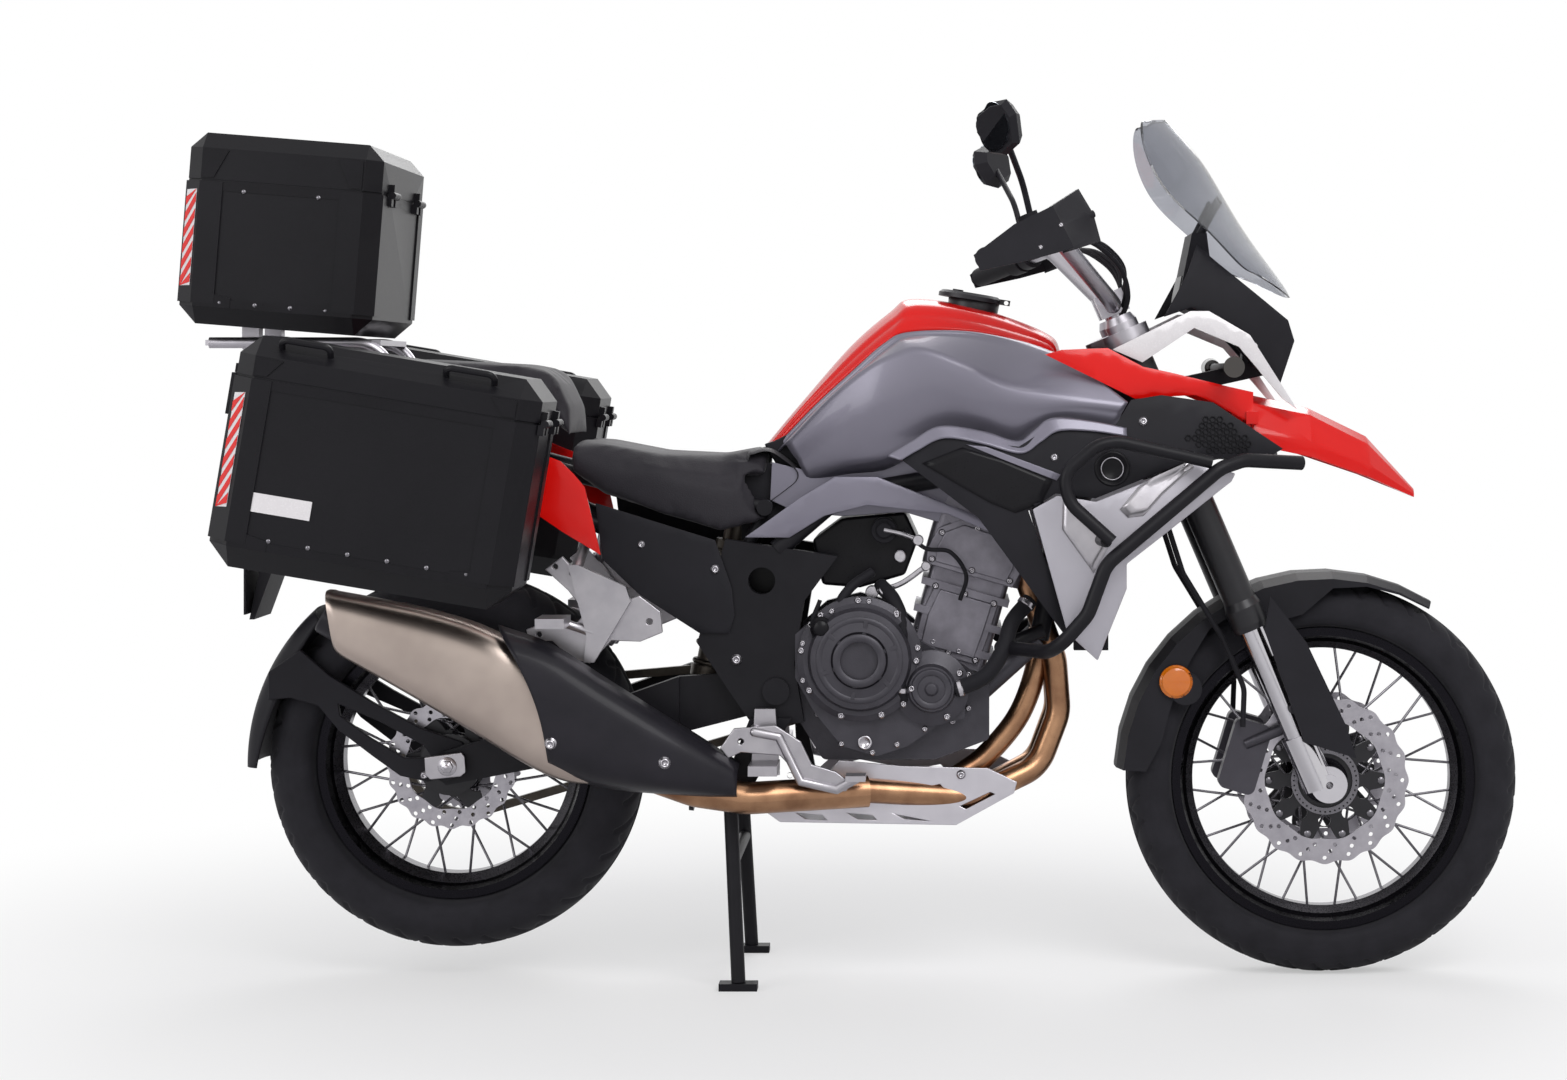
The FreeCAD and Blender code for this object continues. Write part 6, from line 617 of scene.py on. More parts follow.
def holesAt(radius, hole, count, start=0.0, sides=12):  # circles spaced evenly on a larger circle
    angle = np.linspace(0, 2 * np.pi, count, endpoint=False) + start
    return [circle(hole, sides, (radius * math.cos(a), radius * math.sin(a))) for a in angle]


discs = dict(frontOuter=0.1385, frontInner=0.098, frontHub=0.050, rearOuter=0.108, rearInner=0.076,
             rearHub=0.046, lobes=20, lobe=0.0022, boreLobe=0.0015, thickness=0.0045, teeth=45, sprocket=0.0975,
             tooth=0.0045,
             sprocketY=0.096, hole=0.0036, holeRows=((0.010, 0.0), (-0.001, 0.0785), (-0.011, 0.157)))


def wavyDisc(outer, inner, centre):
    # the rims' radii rise and fall along a cosine; rows of holes stand in rings about the middle of the width
    angle = np.linspace(0, 2 * np.pi, 360, endpoint=False)
    radius = outer + discs["lobe"] * np.cos(discs["lobes"] * angle) - discs["lobe"]
    rim = np.stack([radius * np.cos(angle), radius * np.sin(angle)], -1)
    wave = inner + discs["boreLobe"] * np.cos(discs["lobes"] / 2 * angle)
    bore = np.stack([wave * np.cos(angle), wave * np.sin(angle)], -1)
    mid = (outer + inner) / 2
    holes = [bore]
    for out, start in discs["holeRows"]:
        holes += holesAt(mid + out, discs["hole"], discs["lobes"], start)
    return cutPlate(rim, holes, discs["thickness"], centre)


# how far the carrier's rim stays inside the ring, its arms' reach, their steepness and share, and its holes
spider = dict(inside=0.010, reach=0.012, steepness=2.2, share=0.9, bore=0.012, holesIn=0.008, hole=0.0105,
              holeStart=0.31)


def carrier(inner, hub, centre, thickness=0.006, arms=10):
    # the rim's radius is a steep clipped cosine with one crest for each arm; a hole lightens each arm
    angle = np.linspace(0, 2 * np.pi, 240, endpoint=False)
    crest = np.clip(np.cos(arms * angle) * spider["steepness"], -1, 1)
    radius = inner - spider["inside"] + spider["reach"] * crest * spider["share"]
    rim = np.stack([radius * np.cos(angle), radius * np.sin(angle)], -1)
    middle = (inner + hub) / 2 - spider["holesIn"]
    holes = [circle(hub - spider["bore"], 48)] + holesAt(middle, spider["hole"], arms, spider["holeStart"], 16)
    return cutPlate(rim, holes, thickness, centre)


low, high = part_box("front_discs")
frontDiscY = high.y - discs["thickness"] / 2
fx, fz = tyres["front"]["centre"]
rings, carriers, buttons, toneRings = [], [], [], []
for side in (-1, 1):
    y = side * frontDiscY
    rings.append(wavyDisc(discs["frontOuter"], discs["frontInner"], (fx, y, fz)))
    carriers.append(carrier(discs["frontInner"], discs["frontHub"], (fx, y - side * 0.0003, fz)))
    angle = np.linspace(0, 2 * np.pi, 10, endpoint=False)
    spots = np.stack([fx + 0.0925 * np.cos(angle), np.full(10, y), fz + 0.0925 * np.sin(angle)], -1)
    pin = turnedPart([(0, 0.0046), (0.0055, 0.0042), (0.0062, 0.003), (0.0062, -0.003), (0.0055, -0.0042),
                      (0, -0.0046)], around=12)
    buttons.append(repeated(pin, spots, [(0, 1, 0)] * 10))
toneRings.append(cutPlate(circle(0.056, 96), [circle(0.045, 60)] + holesAt(0.0515, 0.0017, 40, 0, 6), 0.002,
                          (fx, -frontDiscY - 0.0062, fz)))
frontRings = addPiece("frontDiscRings", rings, "ground disc steel", "front_wheel", smooth=False)
frontCarriers = addPiece("frontDiscCarriers", carriers, "black anodised alloy", "front_wheel", smooth=False)
frontButtons = addPiece("frontDiscButtons", buttons, "stainless spoke wire", "front_wheel")
toneRing = addPiece("frontSensorRing", toneRings, "stainless spoke wire", "front_wheel", smooth=False)
for piece in (frontRings, frontCarriers, frontButtons, toneRing):
    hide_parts("front_discs")

rx, rz = tyres["rear"]["centre"]
low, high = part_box("rear_rotors")
rearDiscY = low.y + discs["thickness"] / 2
rearRing = addPiece("rearDiscRing", [wavyDisc(discs["rearOuter"], discs["rearInner"], (rx, rearDiscY, rz))],
                    "ground disc steel", "rear_wheel", smooth=False)
rearSpider = carrier(discs["rearInner"], discs["rearHub"], (rx, rearDiscY + 0.001, rz), arms=6)
rearCarrier = addPiece("rearDiscCarrier", [rearSpider], "black anodised alloy", "rear_wheel", smooth=False)
angle = np.linspace(0, 2 * np.pi, discs["teeth"] * 8, endpoint=False)
radius = discs["sprocket"] - discs["tooth"] * (0.5 - 0.5 * np.cos(discs["teeth"] * angle)) ** 1.5
teeth = np.stack([radius * np.cos(angle), radius * np.sin(angle)], -1)
lightening = holesAt(0.070, 0.014, 6, 0.3, 20)
toothed = cutPlate(teeth, [circle(0.036, 40)] + lightening, 0.0065, (rx, discs["sprocketY"], rz))
sprocket = addPiece("rearSprocket", [toothed], "ground disc steel", "rear_wheel", smooth=False)
hubFlange = [turnedPart([(0.030, 0.0), (0.050, 0.001), (0.050, 0.018), (0.030, 0.018)], (rx, y, rz), (0, 1, 0),
                        48) for y in (-0.094, 0.073)]
rearFlange = addPiece("rearHubFlanges", hubFlange, "black anodised alloy", "rear_wheel")
sharpen(rearFlange, 40)
for piece in (rearRing, rearCarrier, sprocket, rearFlange):
    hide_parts("rear_rotors")
print("discs made")


seats = {
    "rider_seat": dict(voxel=0.0055, swell=0.006, smooth=10),
    "pillion_seat": dict(voxel=0.0055, swell=0.007, smooth=8),
}
seatCloth = dict(weld=0.0002, rounding=0.5, pressure=4.0, quality=5, frames=16, ease=0.8, fill=0.85)


def padSeat(label, look):
    # remeshed copy of the solid, blown up a little as cloth, then rounded; it stays within swell of the solid
    mesh = nodes[label].data.copy()
    mesh.materials.clear()
    obj = bpy.data.objects.new(label.replace("_seat", "Seat"), mesh)
    bpy.context.scene.collection.objects.link(obj)
    cleanMesh(mesh, seatCloth["weld"])
    remesh = obj.modifiers.new("voxels", "REMESH")
    remesh.mode = "VOXEL"
    remesh.voxel_size = look["voxel"]
    rounding = obj.modifiers.new("rounding", "SMOOTH")
    rounding.factor = seatCloth["rounding"]
    rounding.iterations = look["smooth"]
    graph = bpy.context.evaluated_depsgraph_get()
    done = bpy.data.meshes.new_from_object(obj.evaluated_get(graph))
    obj.modifiers.clear()
    obj.data = done
    count = len(done.vertices)
    rest = np.zeros(count * 3, np.float32)
    done.vertices.foreach_get("co", rest)
    rest = rest.reshape(-1, 3)
    cloth = obj.modifiers.new("cloth", "CLOTH")
    cloth.settings.use_pressure = True
    cloth.settings.uniform_pressure_force = seatCloth["pressure"]
    cloth.settings.effector_weights.gravity = 0.0
    cloth.settings.quality = seatCloth["quality"]
    scene = bpy.context.scene
    for step in range(1, seatCloth["frames"] + 1):
        scene.frame_set(step)
    graph = bpy.context.evaluated_depsgraph_get()
    blown = obj.evaluated_get(graph)
    moved = np.zeros(count * 3, np.float32)
    blown.data.vertices.foreach_get("co", moved)
    obj.modifiers.clear()
    scene.frame_set(1)
    shift = moved.reshape(-1, 3) - rest
    far = np.linalg.norm(shift, axis=1, keepdims=True)
    rest = rest + shift * np.minimum(1, look["swell"] / np.maximum(far, 1e-9)) * seatCloth["ease"]
    done.vertices.foreach_set("co", rest.astype(np.float32).ravel())
    done.polygons.foreach_set("use_smooth", np.full(len(done.polygons), True))
    done.materials.clear()
    done.materials.append(madeFinishes["grained seat vinyl"])
    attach(obj, "chassis")
    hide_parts(label)
    return obj


for label, look in seats.items():
    padSeat(label, look)
print("seats made")


pannier = dict(centre=(-0.725, 0.0, 0.845), tilt=9.5, halfLength=0.2325, low=-0.1775, seam=0.1145, high=0.1775,
               face=0.500, chamfer=0.034)
topBox = dict(centre=(-0.930, 0.0, 1.220), tilt=4.5, halfLength=0.156, low=-0.154, seam=0.078, high=0.154,
              face=0.210, chamfer=0.028)
# corner guards: the lower one's size, foot, notch and arm, the upper one's foot and head, how far they stand
# out; then the rim strip's width and thickness, and the gaps left at the lid's seam
guardLook = dict(size=0.060, foot=0.016, notchIn=0.026, notchUp=0.022, arm=0.020, lidFoot=0.018, lidHead=0.040,
                 proud=0.0024, strip=0.013, stripThick=0.0014, seamGap=0.002, holeGap=0.004, lidGap=0.003)


def caseFrame(look):  # directions along and up the tilted case
    t = math.radians(look["tilt"])
    return np.array([math.cos(t), 0, -math.sin(t)]), np.array([math.sin(t), 0, math.cos(t)])


def onFace(look, side, along, up, out=0.0):  # a point on the side face of a case
    e1, e3 = caseFrame(look)
    along, up = np.asarray(along, float), np.asarray(up, float)
    proud = np.array([0, side * (look["face"] + out), 0])
    return np.asarray(look["centre"]) + along[..., None] * e1 + up[..., None] * e3 + proud


rivetShape = turnedPart([(0, 0.0026), (0.0022, 0.0024), (0.0038, 0.0014), (0.0042, 0.0), (0.0042, -0.001),
                         (0, -0.001)], around=14)


def facePlate(look, side, outline, thickness, out=0.0, holes=()):  # flat plate lying on a case's side face
    e1, e3 = caseFrame(look)
    origin = np.asarray(look["centre"]) + np.array([0, side * (look["face"] + out + thickness / 2), 0])
    return cutPlate(outline, holes, thickness, origin, e1, e3)


def dressCase(name, look, side, body, lidBody, rows):
    # plates on the case's side face: angled guards in four corners, a thin strip round the rim, rivets in rows
    guard, c = guardLook, look["chamfer"]
    right, left = look["halfLength"] - c, -look["halfLength"] + c
    low, seam, high = look["low"] + c, look["seam"], look["high"] - c
    corners, lidCorners = [], []
    for sign, edge in ((1, right), (-1, left)):
        corners.append([(edge, low), (edge - sign * guard["size"], low),
                        (edge - sign * guard["size"], low + guard["foot"]),
                        (edge - sign * guard["notchIn"], low + guard["notchUp"]),
                        (edge - sign * guard["arm"], low + guard["size"]), (edge, low + guard["size"])])
        lidCorners.append([(edge, high), (edge, seam + guard["lidGap"]),
                           (edge - sign * guard["lidFoot"], seam + guard["lidGap"]),
                           (edge - sign * guard["lidHead"], high)])
    guards = [facePlate(look, side, loop, guard["proud"]) for loop in corners]
    lidGuards = [facePlate(look, side, loop, guard["proud"]) for loop in lidCorners]
    top, strip = seam - guard["seamGap"], guard["strip"]
    holeTop = seam - guard["holeGap"] - strip
    rim = [(left, low), (right, low), (right, top), (left, top)]
    hole = [(left + strip, low + strip), (right - strip, low + strip), (right - strip, holeTop),
            (left + strip, holeTop)]
    frameStrip = [facePlate(look, side, rim, guard["stripThick"], holes=[hole])]
    spots = [onFace(look, side, along, up, 0.0) for along, up in rows]
    rivets = [repeated(rivetShape, spots, [(0, side, 0)] * len(spots))]
    guardPiece = addPiece(name + "Guards", guards + frameStrip, "smooth black plastic", body, smooth=False)
    lidPiece = addPiece(name + "LidGuards", lidGuards, "smooth black plastic", lidBody, smooth=False)
    rivetPiece = addPiece(name + "Rivets", rivets, "stainless spoke wire", body)


# the strip's half width as a share of its reach, its reach, the lifts of strip and bars, the sheet's depth,
# each bar's share of its pitch and its slant in pitches
stickerLook = dict(half=0.42, reach=0.024, lift=0.0008, barLift=0.0016, sheet=0.0006, bar=0.55, slant=1.2)


def stripeSticker(name, label, look, side, body, low, high, count):
    # a pale strip on the rear corner's slanted face, found by rays from behind, with slanted red bars on it
    e1, e3 = caseFrame(look)
    tree = surfaceTree(label)
    inward = np.array([1, -side, 0]) / math.sqrt(2)
    corner = np.asarray(look["centre"]) - look["halfLength"] * e1 + np.array([0, side * look["face"], 0])

    def spot(share, up, lift):  # where the ray at this share of the strip and height meets the case
        aim = corner + up * e3 + np.array([-share, -side * share, 0]) * stickerLook["reach"]
        hit = tree.ray_cast(Vector(aim - inward * 0.2), Vector(inward))[0]
        return (np.array(hit) if hit else aim) - inward * lift

    def patch(corners, lift):  # a thin closed plate between the lifted corners and the face
        top = [spot(share, up, lift) for share, up in corners]
        base = [spot(share, up, lift - stickerLook["sheet"]) for share, up in corners]
        n = len(corners)
        walls = [(i, (i + 1) % n, (i + 1) % n + n, i + n) for i in range(n)]
        return np.array(top + base), [tuple(range(n)), tuple(range(2 * n - 1, n - 1, -1))] + walls

    half = stickerLook["half"]
    strip = [(-half, low), (half, low), (half, high), (-half, high)]
    base = addPiece(name + "Strip", [patch(strip, stickerLook["lift"])], "white gloss plastic", body,
                    smooth=False)
    pitch = (high - low) / count
    bars, slant, thick = [], pitch * stickerLook["slant"], pitch * stickerLook["bar"]
    for index in range(-1, count):
        start = low + pitch * index
        loop = [(-half, start + slant), (half, start), (half, start + thick), (-half, start + slant + thick)]
        loop = [(share, min(max(up, low), high)) for share, up in loop]
        if len({round(up, 5) for _, up in loop}) > 2:
            bars.append(patch(loop, stickerLook["barLift"]))
    red = addPiece(name + "Bars", bars, "gloss red plastic", body, smooth=False)


pannierRows = [(a, -0.127) for a in np.linspace(-0.137, 0.165, 6)] + [(-0.180, -0.105), (0.186, -0.108),
        (-0.186, 0.092), (0.184, 0.090), (-0.186, 0.02), (0.186, 0.02)]
topRows = [(a, -0.118) for a in np.linspace(-0.085, 0.085, 4)] + [(-0.112, -0.112), (0.115, -0.112),
        (-0.112, 0.055), (0.112, 0.055), (-0.06, 0.062), (0.06, 0.062)]
smallPlate = [(-0.051, -0.0145), (0.051, -0.0145), (0.051, 0.0145), (-0.051, 0.0145)]
for side, label in ((-1, "right"), (1, "left")):
    dressCase(label + "Case", pannier, side, "chassis", label + "_lid", pannierRows)
    stripeSticker(label + "Case", label + "_case", pannier, side, "chassis", -0.090, 0.085, 6)
    plateSpot = onFace(pannier, side, -0.132, -0.072, 0.001)
    e1, e3 = caseFrame(pannier)
    plate = cutPlate(smallPlate, [], 0.002, plateSpot, e1, e3)
    small = addPiece(label + "CasePlate", [plate], "white gloss plastic", "chassis", smooth=False)
    dressCase(label + "TopSide", topBox, side, "chassis", "top_lid", topRows)
    stripeSticker(label + "TopSide", "top_case", topBox, side, "chassis", -0.095, 0.060, 6)
print("cases dressed")


muffler = dict(offset=-0.205, halfThick=0.054, power=0.55, rows=40, around=56,
               top=[(336, 591), (385, 600), (440, 612), (492, 630), (560, 668), (622, 712)],
               bottom=[(347, 657), (405, 690), (470, 728), (545, 772), (590, 783), (640, 776)],
               thick=[0.90, 1.0, 1.04, 1.06, 0.92, 0.60])


def railPoints(pixels, depth, count):  # a smooth line through photo points at one depth
    return throughPoints([fromPhoto(a, b, depth) for a, b in pixels], count)


def mufflerCan():
    # rounded oblong rings between the top and bottom lines: powers of sine and cosine give their soft corners
    look = muffler
    rows, cols = look["rows"], look["around"]
    top = railPoints(look["top"], look["offset"], rows)
    bottom = railPoints(look["bottom"], look["offset"], rows)
    thick = throughPoints([[t] for t in look["thick"]], rows)[:, 0] * look["halfThick"]
    angle = np.linspace(0, 2 * np.pi, cols, endpoint=False)
    c, n = np.cos(angle), np.sin(angle)
    c, n = np.sign(c) * np.abs(c) ** look["power"], np.sign(n) * np.abs(n) ** look["power"]
    middle, half = (top + bottom) / 2, (top - bottom) / 2
    grid = np.empty((rows, cols, 3))
    grid[..., 0] = middle[:, :1] + half[:, :1] * n
    grid[..., 2] = middle[:, 1:] + half[:, 1:] * n
    grid[..., 1] = look["offset"] + thick[:, None] * c
    rear = grid[0]
    centre = rear.mean(0)
    caps = [centre + (rear - centre) * k + np.array([-0.001, 0, 0.0005]) * d
            for k, d in ((0.55, 16), (0.62, 14), (0.93, 12), (0.985, 5))]
    grid = np.concatenate([np.stack(caps), grid])
    rows, cols = grid.shape[:2]
    faces = [tuple(f) for f in gridFaces(rows, cols, False, True)] + [tuple(range(cols)),
            tuple((rows - 1) * cols + j for j in range(cols))]
    outlet = turnedPart([(0.0, -0.012), (0.024, -0.012), (0.024, 0.016), (0.028, 0.018), (0.030, 0.014),
                         (0.030, -0.02)],
                        centre + np.array([-0.012, 0, 0.006]), (-0.86, 0, 0.5), 40)
    can = addPiece("mufflerCan", [(grid, faces)], "brushed muffler steel", "chassis")
    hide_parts("muffler")
    sharpen(can, 50)
    addPiece("mufflerOutlet", [outlet], "satin painted shield", "chassis")
    return can


mufflerCan()

shield = dict(offset=-0.258, bulge=0.022, tuck=0.034, draw=0.045, rows=44, cols=26, wall=0.003,
              top=[(495, 627), (548, 646), (602, 680), (655, 714), (692, 738), (736, 769)],
              bottom=[(548, 772), (584, 786), (622, 793), (660, 797), (700, 801), (735, 803)], bow=0.0224)


def mufflerShield():
    # between the top and bottom lines the cover stands out most at mid height and turns in at its rim
    look = shield
    rows, cols = look["rows"], look["cols"]
    top = railPoints(look["top"], look["offset"], rows)
    bottom = railPoints(look["bottom"], look["offset"], rows)
    across = np.linspace(0, 1, cols)
    along = np.linspace(0, 1, rows)[:, None]
    rim = 2 * across - 1
    grid = np.empty((rows, cols, 3))
    flat = top[:, None] * (1 - across[None, :, None]) + bottom[:, None] * across[None, :, None]
    bow = look["bow"] * (1 - rim ** 2) * (1 - along) ** 2
    grid[..., 0], grid[..., 2] = flat[..., 0] + bow, flat[..., 1]
    edge = np.abs(rim)
    rounded = look["bulge"] * (1 - edge ** 3)
    grid[..., 1] = look["offset"] - rounded + look["tuck"] * edge ** 8 + look["draw"] * along ** 3
    obj = addPiece("mufflerShieldCover", [(grid, gridFaces(rows, cols))], "satin painted shield", "chassis")
    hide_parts("muffler_shield")
    return solidWall(obj, look["wall"])


mufflerShield()


hugger = dict(axle=wheels["rear"]["axle"], radius=0.333, fromDegrees=181, toDegrees=132, halfWidth=0.092,
              skirt=0.030, crown=0.008, steps=40, wall=0.0035)


def huggerShell():
    # arc round the axle; across it the shell is flat in the middle and turns down at both skirts
    look = hugger
    steps = look["steps"]
    turn = np.radians(np.linspace(look["fromDegrees"], look["toDegrees"], steps))[:, None]
    share = np.linspace(-1, 1, steps + 1)[None]
    deep = (0.5 + 0.5 * np.sin(np.linspace(0, np.pi, steps)))[:, None]
    radius = look["radius"] + look["crown"] * (1 - share ** 2) - look["skirt"] * np.abs(share) ** 6 * deep
    grid = np.stack([look["axle"][0] + radius * np.cos(turn),
                     look["halfWidth"] * np.sign(share) * np.abs(share) ** 0.8 + 0 * turn,
                     look["axle"][1] + radius * np.sin(turn)], -1)
    obj = addPiece("rearHuggerShell", [(grid, gridFaces(steps, steps + 1))], "textured black plastic",
                   "chassis")
    return solidWall(obj, look["wall"])


def slab(name, outline, near, far, finishName, body="chassis", holes=(), bevelMm=1.2, depth=None):
    # flat plate with photo-side outline, its faces at the two distances across
    depth = near if depth is None else depth
    loop = [fromPhoto(a, b, depth) for a, b in outline]
    cut = [circle(r, 20, fromPhoto(a, b, depth)) for a, b, r in holes]
    part = cutPlate(loop, cut, abs(far - near), (0, (near + far) / 2, 0))
    obj = addPiece(name, [part], finishName, body)
    return sharpen(obj, 30, bevelMm, 3)


huggerShape = huggerShell()
huggerArm = [(268, 672), (300, 650), (330, 676), (372, 702), (420, 728), (462, 742), (470, 756), (452, 770),
             (428, 782), (400, 776), (372, 756), (338, 730), (318, 706), (290, 698), (268, 700)]
huggerWindow = [(338, 704), (380, 722), (424, 746), (432, 758), (404, 758), (370, 738), (340, 716)]
armLoop = [fromPhoto(a, b, -0.10) for a, b in huggerArm]
windowLoop = [fromPhoto(a, b, -0.10) for a, b in huggerWindow]
armParts = [cutPlate(armLoop, [np.array(windowLoop)], 0.012, (0, side * 0.094, 0)) for side in (-1, 1)]
sharpen(addPiece("rearHuggerArms", armParts, "textured black plastic", "chassis"), 30, 2.0, 3)
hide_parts("rear_hugger")

hangerLoop = [(546, 569), (563, 556), (583, 578), (600, 601), (622, 602), (640, 595), (661, 611), (663, 632),
              (641, 641), (612, 640), (591, 663), (570, 656), (553, 640), (531, 641), (527, 629), (548, 621),
              (574, 627), (586, 612), (569, 590)]
slab("rightHanger", hangerLoop, -0.150, -0.163, "bright cast alloy",
     holes=[(556, 566, 0.0045), (600, 620, 0.011), (650, 621, 0.005), (540, 634, 0.0045)], bevelMm=2.5)
slab("leftHanger", hangerLoop, 0.163, 0.150, "bright cast alloy", holes=[(600, 620, 0.011)], bevelMm=2.5,
     depth=-0.150)
heelLoop = [(720, 748), (734, 728), (776, 725), (801, 741), (812, 764), (836, 771), (851, 783), (846, 791),
            (815, 787), (796, 772), (780, 755), (741, 752), (728, 758)]
slab("rightHeelPlate", heelLoop, -0.196, -0.204, "bright cast alloy",
     holes=[(741, 741, 0.0045), (790, 775, 0.0045)], bevelMm=2.0)
print("exhaust, hugger and hangers made")


bodyScrews = [("side_shrouds", 1142, 421, -0.17, 0.0075), ("side_shrouds", 1054, 457, -0.2, 0.0065),
              ("nose_trim beak nose_fairing", 1232, 363, -0.13, 0.0075),
              ("side_covers", 714, 570, -0.18, 0.0075), ("side_covers main_frame", 736, 660, -0.16, 0.009),
              ("mufflerShieldCover", 552, 742, -0.26, 0.010), ("mufflerShieldCover", 665, 762, -0.26, 0.010),
              ("skid_plate", 942, 789, -0.15, 0.009), ("skid_plate", 961, 776, -0.15, 0.0075),
              ("skid_plate", 808, 776, -0.15, 0.0075), ("side_covers", 640, 545, -0.18, 0.006)]
screws("bodyScrews", bodyScrews, "chassis")
screws("guardScrews", [("hand_guards", 997, 234, -0.42, 0.0055), ("hand_guards", 1060, 226, -0.42, 0.0035),
                       ("hand_guards", 1040, 248, -0.42, 0.0035)], "steering")
axleSpot = seatAt("swingarm rearHuggerArms", *fromPhoto(447, 766, -0.12))[0]
axleFace = min(axleSpot[1] if axleSpot is not None else -0.1, -0.100) + 0.001
axleLoop = [(425, 757), (462, 752), (465, 756), (466, 772), (461, 776), (431, 779), (426, 774)]
slab("axleBlock", axleLoop, axleFace, axleFace - 0.008, "bright cast alloy", bevelMm=1.5)
axleNut = turnedPart([(0, 0.013), (0.0035, 0.013), (0.0045, 0.009), (0.0095, 0.009), (0.0105, 0.008),
                      (0.0105, 0.0)], around=6)
axleWasher = turnedPart([(0.0, 0.002), (0.0150, 0.002), (0.0155, 0.0)], around=48)
axleMiddle = np.array([fromPhoto(448, 766, axleFace)[0], axleFace - 0.008, fromPhoto(448, 766, axleFace)[1]])
addPiece("axleNut", [repeated(axleNut, [axleMiddle], [(0, -1, 0)]),
                     repeated(axleWasher, [axleMiddle], [(0, -1, 0)])], "plated screw steel", "chassis")
screws("armScrews", [("rearHuggerArms", 407, 749, -0.11, 0.0065), ("rearHuggerArms", 423, 776, -0.11, 0.0065)],
       "chassis")


engine = dict(clutch=(0.0, 0.534), clutchFace=-0.184, pump=(0.116, 0.487), pumpFace=-0.170)


def coverDetails():
    # raised rings and ribs laid on the two round covers
    x, z = engine["clutch"]
    face = engine["clutchFace"]
    rings = [
        ([(0.060, 0.0), (0.060, 0.005), (0.063, 0.0065), (0.067, 0.0065), (0.070, 0.005), (0.070, 0.0)], 0.002,
         72),
        ([(0.030, 0.0), (0.030, 0.008), (0.034, 0.010), (0.040, 0.010), (0.043, 0.008), (0.043, 0.0)], -0.004,
         60),
    ]
    parts = [turnedPart(profile, (x, face + lift, z), (0, -1, 0), around) for profile, lift, around in rings]
    for angle in np.radians([20, 80, 140, 200, 260, 320]):
        inner = np.array([x + 0.040 * math.cos(angle), z + 0.040 * math.sin(angle)])
        outer = np.array([x + 0.064 * math.cos(angle), z + 0.064 * math.sin(angle)])
        side = np.array([-math.sin(angle), math.cos(angle)]) * 0.0035
        outline = [inner - side, outer - side, outer + side, inner + side]
        parts.append(prismPart(outline, face - 0.005, face + 0.006))
    px, pz = engine["pump"]
    parts.append(turnedPart([(0.022, 0.0), (0.022, 0.006), (0.026, 0.008), (0.031, 0.008), (0.034, 0.004),
                             (0.034, 0.0)],
                            (px, engine["pumpFace"] - 0.006, pz), (0, -1, 0), 48))
    parts.append(turnedPart([(0, 0.012), (0.008, 0.011), (0.012, 0.007), (0.013, 0.0)],
                            (px, engine["pumpFace"] - 0.004, pz), (0, -1, 0), 36))
    obj = addPiece("coverDetails", parts, "painted cast alloy", "chassis")
    return sharpen(obj, 35, 0.8)


coverDetails()

ringScrews = []
for count, radius, centre, start in ((9, 0.0955, engine["clutch"], 0.2), (4, 0.0515, engine["pump"], 0.5)):
    for angle in np.linspace(0, 2 * np.pi, count, endpoint=False) + start:
        ringScrews.append((centre[0] + radius * math.cos(angle), centre[1] + radius * math.sin(angle)))
casePoints = [(-0.092, 0.560), (-0.080, 0.590), (-0.045, 0.612), (0.015, 0.628), (0.060, 0.606), (0.094, 0.575),
              (0.118, 0.556), (0.160, 0.540), (0.176, 0.505), (0.176, 0.450), (0.150, 0.428), (0.105, 0.420),
              (0.060, 0.395), (0.020, 0.382), (-0.030, 0.396), (-0.070, 0.440), (-0.092, 0.500)]


def castScrews(name, places, labels, radius, finishName="plated screw steel"):
    # a head at each place in the side view, set on the pieces below it and facing right
    parts = []
    for x, z in places:
        spot, _ = seatAt(labels, x, z)
        if spot is not None:
            parts.append(repeated(screwPart(radius, radius * 0.9), [spot], [(0, -1, 0)]))
    return addPiece(name, parts, finishName, "chassis")


castScrews("coverRingScrews", ringScrews, "engine_covers", 0.0062)
castScrews("caseRimScrews", casePoints, "engine_covers engine_case cylinder_block", 0.0052)

# the filler cap at the top of the cover and the oil window below it
fillerShape = [(0, 0.010), (0.011, 0.010), (0.013, 0.007), (0.013, 0.0), (0.018, 0.0), (0.018, -0.003),
               (0, -0.003)]
windowShape = [(0, 0.003), (0.008, 0.003), (0.0085, 0.005), (0.011, 0.005), (0.012, 0.002), (0.012, -0.002),
               (0, -0.002)]
for name, shape, x, z, finishName in (("oilFillerCap", fillerShape, -0.062, 0.586, "smooth black plastic"),
                                      ("oilWindow", windowShape, 0.008, 0.398, "plated screw steel")):
    spot = seatAt("engine_covers engine_case", x, z)[0]
    addPiece(name, [repeated(turnedPart(shape, around=24), [spot], [(0, -1, 0)])], finishName, "chassis")

# cylinder: side covers with ribs and studs that stand on the water jacket
lean = math.radians(15.9)
upDir = np.array([math.sin(lean), math.cos(lean)])
acrossDir = np.array([math.cos(lean), -math.sin(lean)])
cylinderFoot = np.array([0.138, 0.520])


def onCylinder(across, up):  # from the leaning cylinder's own directions to the side view
    return cylinderFoot + acrossDir * across + upDir * up


